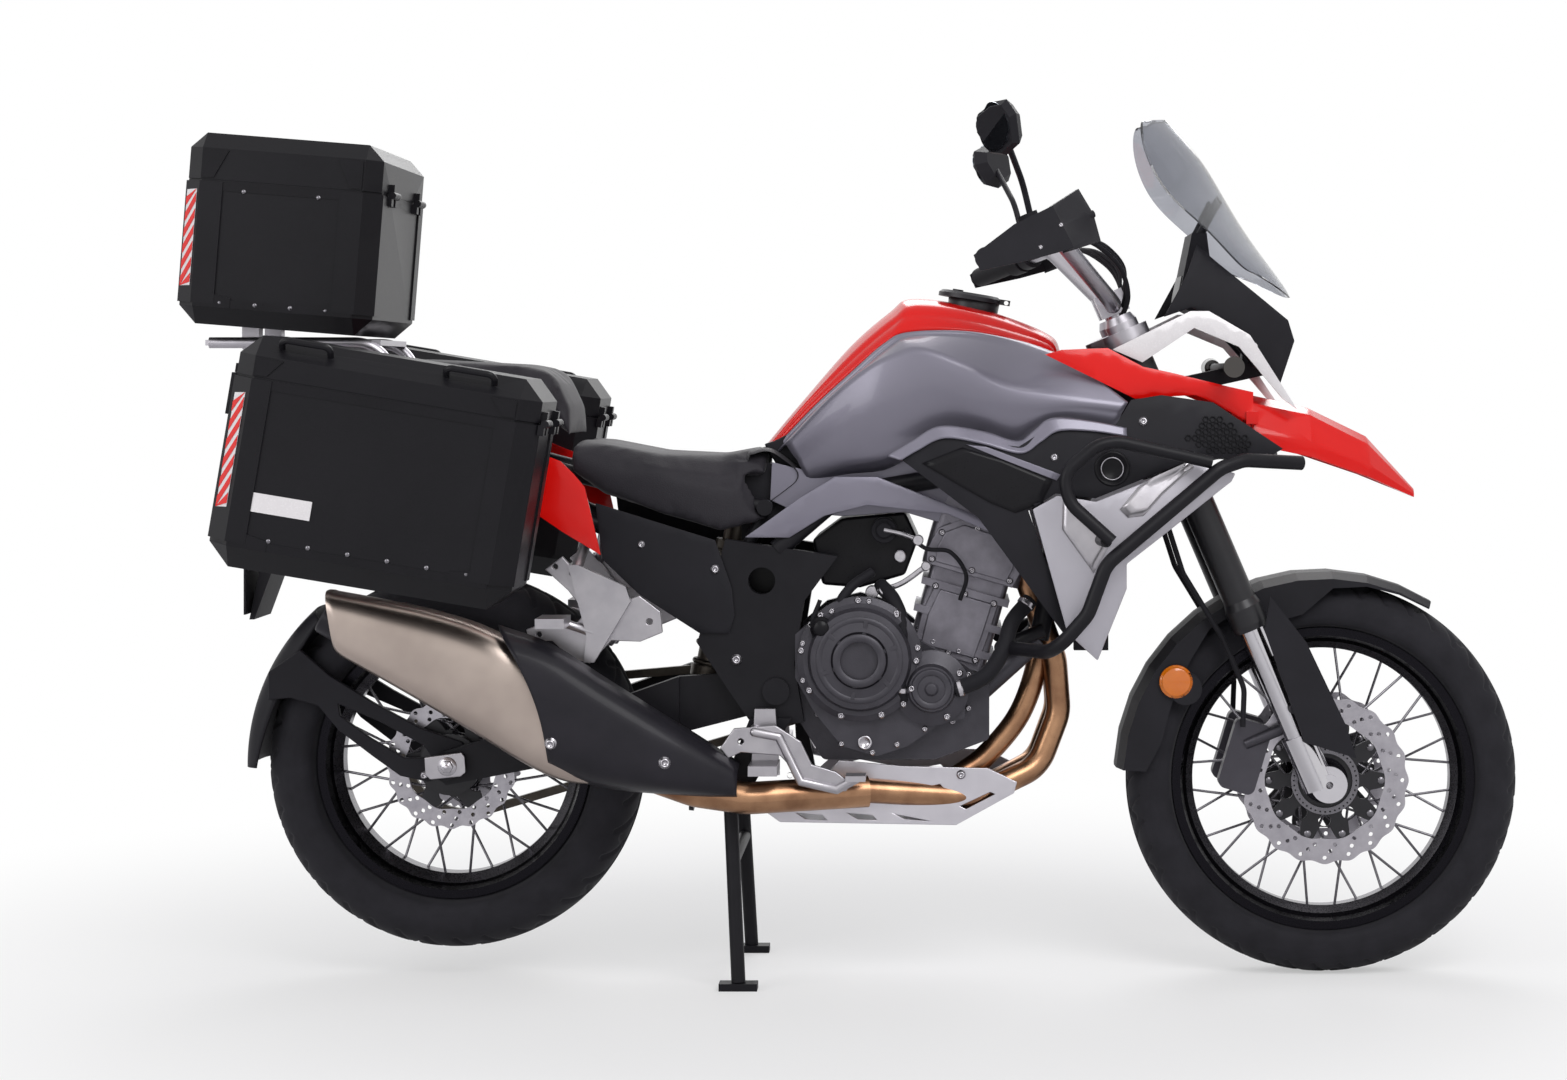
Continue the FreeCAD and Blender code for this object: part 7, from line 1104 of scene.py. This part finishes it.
def cylinderPlates():
    # flat castings on the right face of the barrel and head, each a closed outline with a raised rib on its rim
    parts = []
    for outline, rise in (([(-0.058, 0.010), (0.052, 0.010), (0.056, 0.060), (0.058, 0.125), (-0.050, 0.125),
                            (-0.060, 0.070)], 0.012),
                          ([(-0.075, 0.150), (0.072, 0.150), (0.078, 0.178), (0.074, 0.205), (0.050, 0.232),
                            (-0.040, 0.236), (-0.072, 0.212), (-0.080, 0.176)], 0.010)):
        flat = np.array([onCylinder(a, u) for a, u in outline])
        middle = flat.mean(0)
        spot, _ = seatAt("cylinder_block", *middle)
        face = spot[1]
        parts.append(prismPart(flat, face - rise * 0.55, face + 0.004))
        inner = middle + (flat - middle) * 0.82
        parts.append(prismPart(inner, face - rise, face + 0.004))
    obj = addPiece("cylinderPlates", parts, "bare cast alloy", "chassis")
    return sharpen(obj, 30, 2.0, 3)


cylinderPlates()
studSpots = [(-0.052, 0.018), (0.046, 0.018), (-0.050, 0.118), (0.050, 0.116), (-0.068, 0.160), (0.064, 0.160),
             (0.066, 0.200), (-0.064, 0.206), (0.0, 0.118), (0.0, 0.018), (0.0, 0.160), (-0.010, 0.228)]
studs = [tuple(onCylinder(across, up)) for across, up in studSpots]
castScrews("cylinderStuds", studs, "cylinder_block cylinderPlates", 0.0056)
print("engine dressed")


def spot3(across, down, y):  # the point at depth y that the photograph shows at a pixel
    x, z = fromPhoto(across, down, y)
    return np.array([x, y, z])


def hose(name, pixels, radius, finishName, body="chassis", around=14, count=60):
    # round tube along the smooth line through its points, each a photo column, row and depth
    path = throughPoints([spot3(*p) for p in pixels], count)
    return addPiece(name, [tubePart(path, radius, around)], finishName, body)


def collar(spot, axis, radius, length, edge=0.0015):  # turned ring with softened rims, centred on the spot
    r, h = radius, length / 2
    return turnedPart([(0, -h), (r - edge, -h), (r, -h + edge), (r, h - edge), (r - edge, h), (0, h)],
                      spot, axis, 28)


throttle = [collar(spot3(868, 548, -0.045), (0.9, 0, 0.35), 0.030, 0.070),
            collar(spot3(868, 548, 0.045), (0.9, 0, 0.35), 0.030, 0.070),
            collar(spot3(846, 560, -0.045), (0.9, 0, 0.35), 0.034, 0.016),
            collar(spot3(846, 560, 0.045), (0.9, 0, 0.35), 0.034, 0.016),
            collar(spot3(884, 530, -0.100), (0, 1, 0), 0.021, 0.030),
            collar(spot3(884, 530, -0.112), (0, 1, 0), 0.013, 0.016)]
sharpen(addPiece("throttleBodies", throttle, "moulded rubber", "chassis"), 35)
intake = [prismPart([fromPhoto(a, b, -0.09) for a, b in ((812, 540), (842, 518), (905, 512), (918, 540),
                                                         (905, 575), (860, 588), (822, 585))], -0.085, 0.085)]
sharpen(addPiece("airboxBase", intake, "smooth black plastic", "chassis"), 30, 6.0, 3)
linkage = [collar(spot3(918, 540, -0.118), (0, 1, 0), 0.009, 0.014),
           collar(spot3(900, 556, -0.112), (0, 1, 0), 0.010, 0.018),
           collar(spot3(926, 566, -0.116), (0, 1, 0), 0.008, 0.014),
           collar(spot3(872, 592, -0.112), (0, 1, 0), 0.011, 0.016),
           tubePart(throughPoints([spot3(872, 592, -0.112), spot3(900, 584, -0.116), spot3(926, 566, -0.116)],
                                  16), 0.0045, 10),
           tubePart(throughPoints([spot3(884, 530, -0.118), spot3(902, 534, -0.120), spot3(918, 540, -0.118)],
                                  14), 0.004, 10)]
sharpen(addPiece("linkageFittings", linkage, "plated screw steel", "chassis"), 35)

hoses = {
    "coolantHose": dict(pixels=[(905, 700, -0.158), (897, 668, -0.166), (902, 628, -0.160), (893, 600, -0.140),
                                (880, 585, -0.110)], radius=0.0125, finishName="moulded rubber"),
    "lowerCoolantHose": dict(pixels=[(955, 690, -0.166), (985, 676, -0.168), (1003, 650, -0.160),
                                     (1012, 622, -0.140), (1030, 600, -0.120)], radius=0.013,
                                     finishName="moulded rubber"),
    "breatherHose": dict(pixels=[(845, 640, -0.162), (838, 610, -0.160), (850, 588, -0.150),
                                 (872, 572, -0.125)], radius=0.008, finishName="moulded rubber"),
    "sensorLead": dict(pixels=[(960, 600, -0.118), (966, 575, -0.126), (950, 552, -0.128), (925, 548, -0.122),
                               (905, 530, -0.11)], radius=0.0035, finishName="moulded rubber"),
    "clutchCable": dict(pixels=[(820, 600, -0.165), (812, 625, -0.170), (820, 652, -0.172), (826, 668, -0.170)],
                        radius=0.0035, finishName="moulded rubber"),
    "secondHeader": dict(pixels=[(1040, 628, -0.030), (1036, 668, -0.040), (1018, 716, -0.055),
                                 (985, 756, -0.070), (955, 778, -0.085)], radius=0.0185,
                                 finishName="heat tinted steel"),
}
for name, look in hoses.items():
    hose(name, **look)
clamps = [collar(spot3(902, 690, -0.160), (0.1, 0, 1), 0.0145, 0.009),
          collar(spot3(886, 592, -0.124), (0.5, -0.6, 0.8), 0.0145, 0.009),
          collar(spot3(960, 688, -0.166), (1, 0, 0.3), 0.015, 0.009),
          collar(spot3(1026, 604, -0.124), (0.5, 0.3, 0.7), 0.015, 0.009)]
sharpen(addPiece("hoseClamps", clamps, "plated screw steel", "chassis"), 35)

# inner panels that close the view through the machine: the black sheet is painted shade, dark where the shaded
# inside shows through; the grey one has the tank's paint colour
slab("innerShadeSheet", [(742, 552), (786, 552), (800, 620), (748, 620)], -0.062, -0.068, "smooth black plastic")
slab("innerTankPanel", [(772, 462), (806, 470), (880, 452), (1012, 436), (1020, 500), (965, 530), (905, 512),
                        (842, 516), (796, 512), (770, 500)], -0.088, -0.094, "metallic grey paint")

# amber reflector on the fender
reflectorX, reflectorZ = fromPhoto(1177, 683, -0.10)
place, face = seatAt("front_fender", reflectorX, reflectorZ)
if place is not None:
    disc = turnedPart([(0, 0.004), (0.022, 0.004), (0.0235, 0.003), (0.0245, 0.0), (0.027, 0.0),
                       (0.028, -0.003), (0, -0.003)], around=40)
    addPiece("fenderReflector", [repeated(disc, [place], [(0, -1, 0)])], "amber lens", "steering")
print("fittings made")


# each rail runs from the seat to the front as photo column, photo row and depth
tankRails = dict(
    centre=[(768, 443, 0), (800, 405, 0), (850, 347, 0), (890, 312, 0), (911, 299, 0), (965, 305, 0),
            (1018, 321, 0), (1052, 337, 0), (1060, 352, 0)],
    topEdge=[(769, 446, -0.040), (803, 405, -0.052), (853, 351, -0.064), (893, 317, -0.070), (914, 305, -0.072),
             (966, 310, -0.072), (1018, 325, -0.066), (1050, 340, -0.058), (1058, 354, -0.050)],
    step=[(769, 448, -0.046), (807, 405, -0.060), (853, 359, -0.078), (892, 326, -0.086), (914, 315, -0.090),
          (966, 320, -0.090), (1018, 333, -0.082), (1048, 344, -0.072), (1056, 356, -0.062)],
    bandEdge=[(771, 451, -0.052), (814, 406, -0.072), (852, 371, -0.092), (884, 343, -0.104),
              (908, 332, -0.108), (966, 331, -0.108), (1020, 341, -0.100), (1048, 351, -0.088),
              (1054, 358, -0.076)],
    groove=[(776, 454, -0.056), (818, 409, -0.080), (856, 375, -0.100), (888, 347, -0.112), (910, 336, -0.116),
            (966, 335, -0.118), (1020, 345, -0.122), (1058, 356, -0.138), (1072, 362, -0.144)],
    crease=[(786, 444, -0.085), (834, 394, -0.125), (868, 367, -0.150), (893, 355, -0.160), (922, 349, -0.166),
            (967, 366, -0.176), (1010, 387, -0.184), (1080, 396, -0.186), (1128, 402, -0.184)],
    belly=[(797, 460, -0.098), (842, 430, -0.136), (872, 411, -0.158), (900, 397, -0.168), (930, 388, -0.174),
           (972, 403, -0.182), (1010, 414, -0.184), (1070, 408, -0.188), (1122, 413, -0.186)],
    lowEdge=[(808, 479, -0.092), (846, 466, -0.122), (884, 457, -0.142), (914, 441, -0.154), (940, 429, -0.160),
             (982, 433, -0.166), (1016, 441, -0.168), (1056, 420, -0.176), (1116, 427, -0.178)],
    under=[(812, 486, -0.060), (846, 476, -0.080), (884, 470, -0.095), (914, 456, -0.105), (940, 446, -0.110),
           (982, 448, -0.115), (1016, 452, -0.130), (1056, 436, -0.150), (1104, 436, -0.166)],
)


def tankRail(label, count=72):  # one measured line as a smooth curve
    return throughPoints([spot3(*point) for point in tankRails[label]], count)


def railSurface(labels, steps, swell):
    # straight steps from rail to rail, each stretch lifted outwards by swell times a parabola across it
    rails = [tankRail(label) for label in labels]
    rows = []
    for a, b in zip(rails[:-1], rails[1:]):
        share = np.linspace(0, 1, steps, endpoint=False)[:, None, None]
        flat = a[None] * (1 - share) + b[None] * share
        along = np.gradient(a, axis=0)
        out = np.cross(b - a, along)
        out /= np.maximum(np.linalg.norm(out, axis=1, keepdims=True), 1e-9)
        out *= np.where(out[:, 1:2] > 0, -1, 1)
        rows.append(flat + out[None] * (4 * share * (1 - share)) * swell)
    rows.append(rails[-1][None])
    return np.concatenate(rows)


def mirroredShell(half):  # right half rows joined with their mirror into one sheet across the middle
    return np.concatenate([(half[::-1] * (1, -1, 1))[:-1], half])


bandHalf = railSurface(["centre", "topEdge", "step", "bandEdge"], 6, 0.0022)
bandSheet = mirroredShell(bandHalf)
redBand = addPiece("tankBand", [(bandSheet, gridFaces(*bandSheet.shape[:2]))], "gloss red plastic", "chassis")
greyHalf = railSurface(["bandEdge", "groove", "crease", "belly", "lowEdge", "under"], 7, 0.0028)
greyParts = [(greyHalf, gridFaces(*greyHalf.shape[:2])),
             (greyHalf * (1, -1, 1), gridFaces(*greyHalf.shape[:2])[:, ::-1])]
greyShell = addPiece("tankShell", greyParts, "metallic grey paint", "chassis")
for piece in (redBand, greyShell):
    solidWall(piece, 0.003, -1)
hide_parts("fuel_tank")
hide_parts("tank_stripe")
capLow, capHigh = (np.array(corner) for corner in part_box("filler_cap"))
capMiddle = (capLow + capHigh) / 2
collarRing = turnedPart([(0.034, -0.045), (0.040, -0.045), (0.043, -0.004), (0.040, 0.0), (0.034, 0.0)],
                        (capMiddle[0], 0, capLow[2] + 0.013), (0.14, 0, 1), 56)
addPiece("fillerRing", [collarRing], "black anodised alloy", "chassis")
print("tank made")


skidOutline = [(766, 812), (802, 797), (822, 779), (839, 760), (903, 766), (988, 768), (1017, 782), (1014, 793),
               (956, 825), (780, 822)]
skidWindows = [[(828, 786), (855, 779), (897, 787), (900, 799), (828, 798)],
               [(925, 787), (940, 784), (948, 793), (944, 798), (937, 797)],
               [(960, 806), (990, 792), (995, 794), (966, 809)],
               [(797, 813), (822, 815), (827, 820), (806, 819)],
               [(848, 813), (872, 815), (877, 820), (858, 819)],
               [(895, 814), (925, 820), (929, 821), (905, 819)]]


def skidPlate():
    # two side plates joined by a bent pan that follows their lower edge
    y = -0.128
    loops = [np.array([fromPhoto(a, b, y) for a, b in loop]) for loop in (skidOutline, *skidWindows)]
    parts = [cutPlate(loops[0], loops[1:], 0.004, (0, side * 0.128, 0)) for side in (-1, 1)]
    line = [fromPhoto(a, b, y) for a, b in ((766, 812), (780, 821), (868, 823.5), (956, 824), (1014, 792),
                                            (1017, 783))]
    path = np.array(line)
    normal = np.stack([-np.gradient(path[:, 1]), np.gradient(path[:, 0])], -1)
    normal /= np.linalg.norm(normal, axis=1, keepdims=True)
    pan = np.concatenate([path, (path + normal * 0.004)[::-1]])
    parts.append(prismPart(pan, -0.1275, 0.1275))
    obj = addPiece("skidPlatePan", parts, "brushed plate alloy", "chassis", smooth=False)
    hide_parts("skid_plate")
    return sharpen(obj, 30, 1.2)


skidPlate()


def skin(name, labels, outline, lift, finishName, depth=-0.19, body="chassis", sides=(-1, 1), rings=6,
         wallMm=1.2):
    # rings shrink from the outline to its middle; each point is set on the pieces below and lifted alike
    loop = np.array([fromPhoto(a, b, depth) for a, b in outline])
    dense = np.concatenate([loop[i] + (loop[(i + 1) % len(loop)] - loop[i])
                            * np.linspace(0, 1, 6, endpoint=False)[:, None] for i in range(len(loop))])
    middle = dense.mean(0)
    parts = []
    for side in sides:
        grid = np.zeros((rings, len(dense), 3))
        for r in range(rings):
            flat = middle + (dense - middle) * (1 - r / rings)
            for k, (x, z) in enumerate(flat):
                spot, _ = seatAt(labels, x, z, side)
                grid[r, k] = (x, spot[1] if spot is not None else np.nan, z)
        known = ~np.isnan(grid[..., 1])
        level = grid[..., 1][known].mean() if known.any() else side * abs(depth)
        grid[..., 1] = np.where(known, grid[..., 1], level) + side * lift
        centre = np.array([[middle[0], grid[-1, :, 1].mean(), middle[1]]])
        count = grid.shape[1]
        faces = [tuple(f) for f in gridFaces(rings, count, False, True)]
        faces += [((rings - 1) * count + k, (rings - 1) * count + (k + 1) % count, rings * count)
                  for k in range(count)]
        parts.append((np.concatenate([grid.reshape(-1, 3), centre]), faces))
    obj = addPiece(name, parts, finishName, body)
    return solidWall(obj, wallMm / 1000)


shroud = "side_shrouds lower_shrouds"
skins = {
    "shroudInset": dict(labels=shroud, lift=0.0012, finishName="smooth black plastic",
                        outline=[(922, 463), (962, 447), (1002, 459), (1052, 480), (1041, 503), (1015, 512),
                                 (990, 502), (965, 488)]),
    "shroudSpear": dict(labels=shroud, lift=0.0016, finishName="metallic grey paint",
                        outline=[(966, 444), (985, 446), (1060, 474), (1056, 480), (1000, 458)]),
    # the next two are painted highlights: brighter patches laid flat on the lower shroud where its facets catch
    # the light
    "shroudFacetPaintedLight": dict(labels="lower_shrouds", lift=0.0012, finishName="bright cast alloy", rings=4,
                        outline=[(1062, 500), (1082, 505), (1108, 542), (1092, 571), (1061, 528)]),
    "shroudStepPaintedLight": dict(labels="lower_shrouds", lift=0.0012, finishName="bright cast alloy", rings=3,
                       outline=[(1118, 508), (1136, 486), (1152, 476), (1188, 460), (1192, 466), (1162, 492),
                                (1142, 514), (1126, 516)]),
}
for name, look in skins.items():
    skin(name, **look)
edgeUpper = [(887, 456), (912, 441), (940, 426), (982, 431), (1017, 441), (1034, 430), (1052, 418), (1090, 421),
             (1126, 428)]
edgeLower = [(901, 460), (918, 450), (944, 438), (980, 443), (1020, 453), (1040, 442), (1058, 431), (1090, 431),
             (1126, 436)]
edgeParts = []
for side in (-1, 1):
    rails = []
    for line, drop in ((edgeUpper, 0.004), (edgeLower, 0.0)):
        flat = throughPoints([fromPhoto(a, b, -0.19) for a, b in line], 60)
        found = [seatAt(shroud, x, z, side)[0] for x, z in flat]
        level = np.array([np.nan if spot is None else abs(spot[1]) for spot in found])
        level = np.where(np.isnan(level), np.nanmedian(level), level)
        level = np.convolve(np.pad(level, 8, mode="edge"), np.ones(17) / 17, "valid") + 0.004 - drop
        rails.append(np.c_[flat[:, 0], side * level, flat[:, 1]])
    share = np.linspace(0, 1, 7)[:, None, None]
    edgeParts.append((rails[0][None] * (1 - share) + rails[1][None] * share, gridFaces(7, 60)))
solidWall(addPiece("shroudEdge", edgeParts, "metallic grey paint", "chassis"), 0.003)

# honeycomb openings of the intake grille and the blank round boss behind the bar
cell, cells = 0.0115, []
grilleLoop = np.array([fromPhoto(a, b, -0.17) for a, b in ((1183, 441), (1208, 414), (1222, 416), (1256, 448),
                                                           (1224, 456))])
gx, gz = np.meshgrid(np.arange(grilleLoop[:, 0].min(), grilleLoop[:, 0].max(), cell),
                     np.arange(grilleLoop[:, 1].min(), grilleLoop[:, 1].max(), cell * 0.866))
gx = gx + (np.arange(gx.shape[0]) % 2)[:, None] * cell / 2
inside = insideLoop(grilleLoop, np.stack([gx.ravel(), gz.ravel()], -1))
hexWall = turnedPart([(0.0040, -0.0005), (0.0040, 0.0022), (0.0056, 0.0022), (0.0056, -0.0005)], around=6)
for x, z in np.stack([gx.ravel(), gz.ravel()], -1)[inside]:
    for side in (-1, 1):
        spot, _ = seatAt("side_shrouds beak", x, z, side)
        if spot is not None:
            cells.append((spot, (0, side, 0)))
if cells:
    addPiece("intakeGrille", [repeated(hexWall, [c[0] for c in cells], [c[1] for c in cells])],
             "smooth black plastic", "chassis", smooth=False)
bossX, bossZ = fromPhoto(1111, 468, -0.18)
bossShape = turnedPart([(0, 0.0026), (0.0235, 0.0024), (0.0245, 0.0040), (0.0270, 0.0040), (0.0285, 0.0024),
                        (0.0290, -0.003), (0, -0.003)], around=56)
bosses = [(seatAt(shroud, bossX, bossZ, side)[0], (0, side, 0)) for side in (-1, 1)]
bosses = [b for b in bosses if b[0] is not None]
if bosses:
    addPiece("blankBoss", [repeated(bossShape, [b[0] for b in bosses], [b[1] for b in bosses])],
             "smooth black plastic", "chassis")
    bossRim = turnedPart([(0.0168, 0.001), (0.0168, 0.0046), (0.0172, 0.0050), (0.0180, 0.0050),
                          (0.0184, 0.0046), (0.0184, 0.001)], around=64)
    addPiece("blankBossRim", [repeated(bossRim, [b[0] for b in bosses], [b[1] for b in bosses])], "satin alloy",
             "chassis")

# dark panels below the seat's nose and behind the tank
slab("innerSeatPanel", [(740, 476), (768, 462), (800, 476), (812, 486), (800, 512), (760, 536), (742, 540)],
     -0.070, -0.078, "textured black plastic")
slab("tankRearStrip", [(764, 444), (774, 441), (792, 432), (806, 440), (822, 484), (830, 500), (800, 500),
                       (790, 488)], -0.062, 0.062, "textured black plastic", bevelMm=3)
noseParts = []
for depth, shrink in ((0.098, 0.90), (0.092, 0.96), (0.080, 1.0), (-0.080, 1.0), (-0.092, 0.96),
                      (-0.098, 0.90)):
    loop = throughPoints([fromPhoto(a, b, -0.09) for a, b in ((748, 452), (768, 448), (786, 458), (799, 470),
                                                              (799, 480), (788, 490), (766, 506), (744, 520),
                                                              (738, 486), (748, 452))], 48)[:-1]
    middle = loop.mean(0)
    flat = middle + (loop - middle) * shrink
    noseParts.append(np.c_[flat[:, 0], np.full(len(flat), depth), flat[:, 1]])
noseSheet = np.array(noseParts)
addPiece("seatNose", [(noseSheet, gridFaces(6, 47, False, True))], "grained seat vinyl", "chassis")


mirrorLook = dict(steps=40, headDrop=0.085, shrink=0.80, lift=0.0010, wall=0.0012, fits=3, spread=2.5,
                  flat=0.0003)


def glassOn(name, label, side, floorZ):
    # outline of the mirror head as seen from behind, drawn in a little and set on its rear face by rays
    points = np.array([tuple(v.co) for v in nodes[label].data.vertices])
    head = points[(points[:, 1] * side > 0) & (points[:, 2] > floorZ)]
    middle = (head.max(0) + head.min(0)) / 2
    flat = head[:, 1:] - middle[1:]
    steps = mirrorLook["steps"]
    angles = np.linspace(0, 2 * np.pi, steps, endpoint=False)
    rays = np.stack([np.cos(angles), np.sin(angles)], -1)
    rim = np.concatenate([[(0.0, 0.0)], rays * (flat @ rays.T).max(0)[:, None] * mirrorLook["shrink"]])
    hits = []
    for dy, dz in rim:
        hit = surfaceTree(label).ray_cast(Vector((-0.5, middle[1] + dy, middle[2] + dz)), Vector((1, 0, 0)))[0]
        if hit:
            hits.append(tuple(hit))
    hits = np.array(hits)
    for _ in range(mirrorLook["fits"]):  # the flat face through the hits, without those on the stem
        fit = np.linalg.lstsq(np.c_[np.ones(len(hits)), hits[:, 1:]], hits[:, 0], rcond=None)[0]
        away = np.abs(np.c_[np.ones(len(hits)), hits[:, 1:]] @ fit - hits[:, 0])
        hits = hits[away <= max(np.median(away) * mirrorLook["spread"], mirrorLook["flat"])]
    rim = rim + middle[1:]
    verts = np.c_[np.c_[np.ones(len(rim)), rim] @ fit - mirrorLook["lift"], rim]
    faces = [(0, 1 + (k + 1) % steps, 1 + k) for k in range(steps)]
    obj = addPiece(name, [(verts, faces)], "silvered mirror glass", "steering", smooth=False)
    return solidWall(obj, mirrorLook["wall"], -1)


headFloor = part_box("mirrors")[1][2] - mirrorLook["headDrop"]
glassOn("rightMirrorGlass", "mirrors", -1, headFloor)
glassOn("leftMirrorGlass", "mirrors", 1, headFloor)

# cables from the switches down to the steering head
cableLook = dict(bows=(0.0, 0.012, 0.024), radius=0.0042, thinner=0.0006)
cables = []
for side in (-1, 1):
    for k, bow in enumerate(cableLook["bows"]):
        pixels = [(1078 + 3 * k, 238, 0.200), (1098 + 4 * k, 246, 0.150 - bow),
                  (1120 + 2 * k, 268, 0.105 - bow), (1128 - 3 * k, 296, 0.080 - bow),
                  (1120 - 4 * k, 322, 0.062 - bow)]
        path = throughPoints([spot3(a, b, -y) * (1, -side, 1) for a, b, y in pixels], 40)
        cables.append(tubePart(path, cableLook["radius"] - cableLook["thinner"] * k, 10))
addPiece("barCables", cables, "moulded rubber", "steering")

# blank number plate and the dash glass
plateLoop = [(-0.085, -0.050), (-0.080, -0.055), (0.080, -0.055), (0.085, -0.050), (0.085, 0.050),
             (0.080, 0.055), (-0.080, 0.055), (-0.085, 0.050)]
dashLoop = [(-0.060, -0.020), (0.060, -0.020), (0.066, 0.0), (0.060, 0.022), (-0.060, 0.022), (-0.066, 0.0)]


def plateFromBehind(name, label, start, loop, thickness, lift, finishName):
    # flat plate on the face that a forward ray from the start meets, square to it and upright
    spot, normal, _, _ = surfaceTree(label).ray_cast(Vector(start), Vector((1, 0, 0)))
    if spot is None:
        return
    spot, normal = np.array(spot), np.array(normal)
    normal = normal if normal[0] < 0 else -normal
    up = np.cross(normal, (0, 1, 0))
    up = up if up[2] > 0 else -up
    part = cutPlate(loop, [], thickness, spot + normal * lift, (0, 1, 0), tuple(up))
    addPiece(name, [part], finishName, "chassis", smooth=False)


plateFromBehind("blankNumberPlate", "rear_mudguard", (-1.6, 0.0, 0.735), plateLoop, 0.002, 0.0014,
                "white gloss plastic")
plateFromBehind("dashGlass", "instrument_panel", (0.30, 0.0, 1.135), dashLoop, 0.0016, 0.0012,
                "smooth black plastic")

# two silvered bowls behind the lamp's lens
lampLow, lampHigh = (np.array(c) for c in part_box("headlight"))
lampMid, lampSize = (lampLow + lampHigh) / 2, lampHigh - lampLow
bowl = [(0.0, -0.020), (0.010, -0.019), (0.020, -0.012), (0.026, 0.0), (0.027, 0.002), (0.0285, 0.0),
        (0.022, -0.014), (0.010, -0.022), (0, -0.023)]
bowls = [turnedPart(bowl, (lampMid[0] + lampSize[0] * 0.05, side * lampSize[1] * 0.22, lampMid[2]),
                    (1, 0, -0.15), 40) for side in (-1, 1)]
addPiece("lampBowls", bowls, "silvered lamp bowl", "chassis")
print("trim and lamps made")


stageLook = {"floorSize": 14.0, "floorColour": "#e4e3e4", "keyPower": 118.0, "fillPower": 48.0,
             "rimPower": 80.0, "skyStrength": 0.5}


def areaLamp(name, place, aim, size, power):  # a square lamp at its place, turned to face the aim
    lamp = bpy.data.lights.new(name, "AREA")
    lamp.energy = power
    lamp.size = size
    obj = bpy.data.objects.new(name, lamp)
    bpy.context.scene.collection.objects.link(obj)
    obj.location = place
    back = np.array(place) - np.array(aim)
    obj.rotation_euler = (math.atan2(math.hypot(back[0], back[1]), back[2]), 0, math.atan2(back[0], -back[1]))
    return obj


half = stageLook["floorSize"] / 2
floorMesh = bpy.data.meshes.new("floor")
floorMesh.from_pydata([(-half, -half, 0), (half, -half, 0), (half, half, 0), (-half, half, 0)], [],
                      [(0, 1, 2, 3)])
floor = bpy.data.objects.new("floor", floorMesh)
bpy.context.scene.collection.objects.link(floor)
floorMat = bpy.data.materials.new("pale studio floor")
floorMat.use_nodes = True
floorTree = floorMat.node_tree
floorShader = floorTree.nodes["Principled BSDF"]
floorShader.inputs["Base Color"].default_value = toLinear(stageLook["floorColour"])
floorShader.inputs["Roughness"].default_value = 0.9
glowWhite = addNode(floorTree, "ShaderNodeEmission", {"Color": (1, 1, 1, 1), "Strength": 1.0})
spot = addNode(floorTree, "ShaderNodeTexCoord", {})
reach = addNode(floorTree, "ShaderNodeVectorMath", {"operation": "LENGTH"}, [(0, spot.outputs["Object"])])
fade = addNode(floorTree, "ShaderNodeMapRange", {"From Min": 0.7, "From Max": 2.3, "To Min": 0.45,
                                                 "To Max": 1.0, "interpolation_type": "SMOOTHSTEP"},
               [("Value", reach.outputs["Value"])])
floorSeen = addNode(floorTree, "ShaderNodeLightPath", {})
seenThrough = addNode(floorTree, "ShaderNodeMath", {"operation": "MAXIMUM"},
                      [(0, floorSeen.outputs["Is Camera Ray"]), (1, floorSeen.outputs["Is Transmission Ray"])])
share = addNode(floorTree, "ShaderNodeMath", {"operation": "MULTIPLY"},
                [(0, seenThrough.outputs[0]), (1, fade.outputs[0])])
floorMix = addNode(floorTree, "ShaderNodeMixShader", {},
                   [(0, share.outputs[0]), (1, floorShader.outputs[0]), (2, glowWhite.outputs[0])])
floorTree.links.new(floorMix.outputs[0], floorTree.nodes["Material Output"].inputs["Surface"])
floorMesh.materials.append(floorMat)

world = bpy.data.worlds.new("studio")
bpy.context.scene.world = world
world.use_nodes = True
tree = world.node_tree
plain = tree.nodes["Background"]
plain.inputs["Color"].default_value = toLinear("#e9ebee")
plain.inputs["Strength"].default_value = stageLook["skyStrength"]
white = addNode(tree, "ShaderNodeBackground", {"Color": (1, 1, 1, 1), "Strength": 1.0})
path = addNode(tree, "ShaderNodeLightPath", {})
seen = addNode(tree, "ShaderNodeMath", {"operation": "MAXIMUM"},
               [(0, path.outputs["Is Camera Ray"]), (1, path.outputs["Is Glossy Ray"])])
either = addNode(tree, "ShaderNodeMath", {"operation": "MAXIMUM"},
                 [(0, seen.outputs[0]), (1, path.outputs["Is Transmission Ray"])])
blend = addNode(tree, "ShaderNodeMixShader", {}, [(0, either.outputs[0]), (1, plain.outputs[0]),
                                                  (2, white.outputs[0])])
tree.links.new(blend.outputs[0], tree.nodes["World Output"].inputs["Surface"])

areaLamp("key", (1.6, -3.4, 3.6), (0, 0, 0.6), 2.6, stageLook["keyPower"])
areaLamp("fill", (-3.2, -2.6, 2.0), (0, 0, 0.6), 2.4, stageLook["fillPower"])
areaLamp("rim", (0.5, 3.2, 3.4), (0, 0, 0.7), 2.6, stageLook["rimPower"])

cameraLook = dict(lens=70.16, shift=(-0.1063, -0.1040))
camera = bpy.data.cameras.new("camera")
camera.lens = cameraLook["lens"]
camera.shift_x, camera.shift_y = cameraLook["shift"]
eye = bpy.data.objects.new("camera", camera)
bpy.context.scene.collection.objects.link(eye)
eye.location = (photoView["along"], -photoView["distance"], photoView["height"])
eye.rotation_euler = (math.radians(90), 0, 0)
bpy.context.scene.camera = eye
bpy.context.scene.view_settings.view_transform = "Standard"
print("stage set")
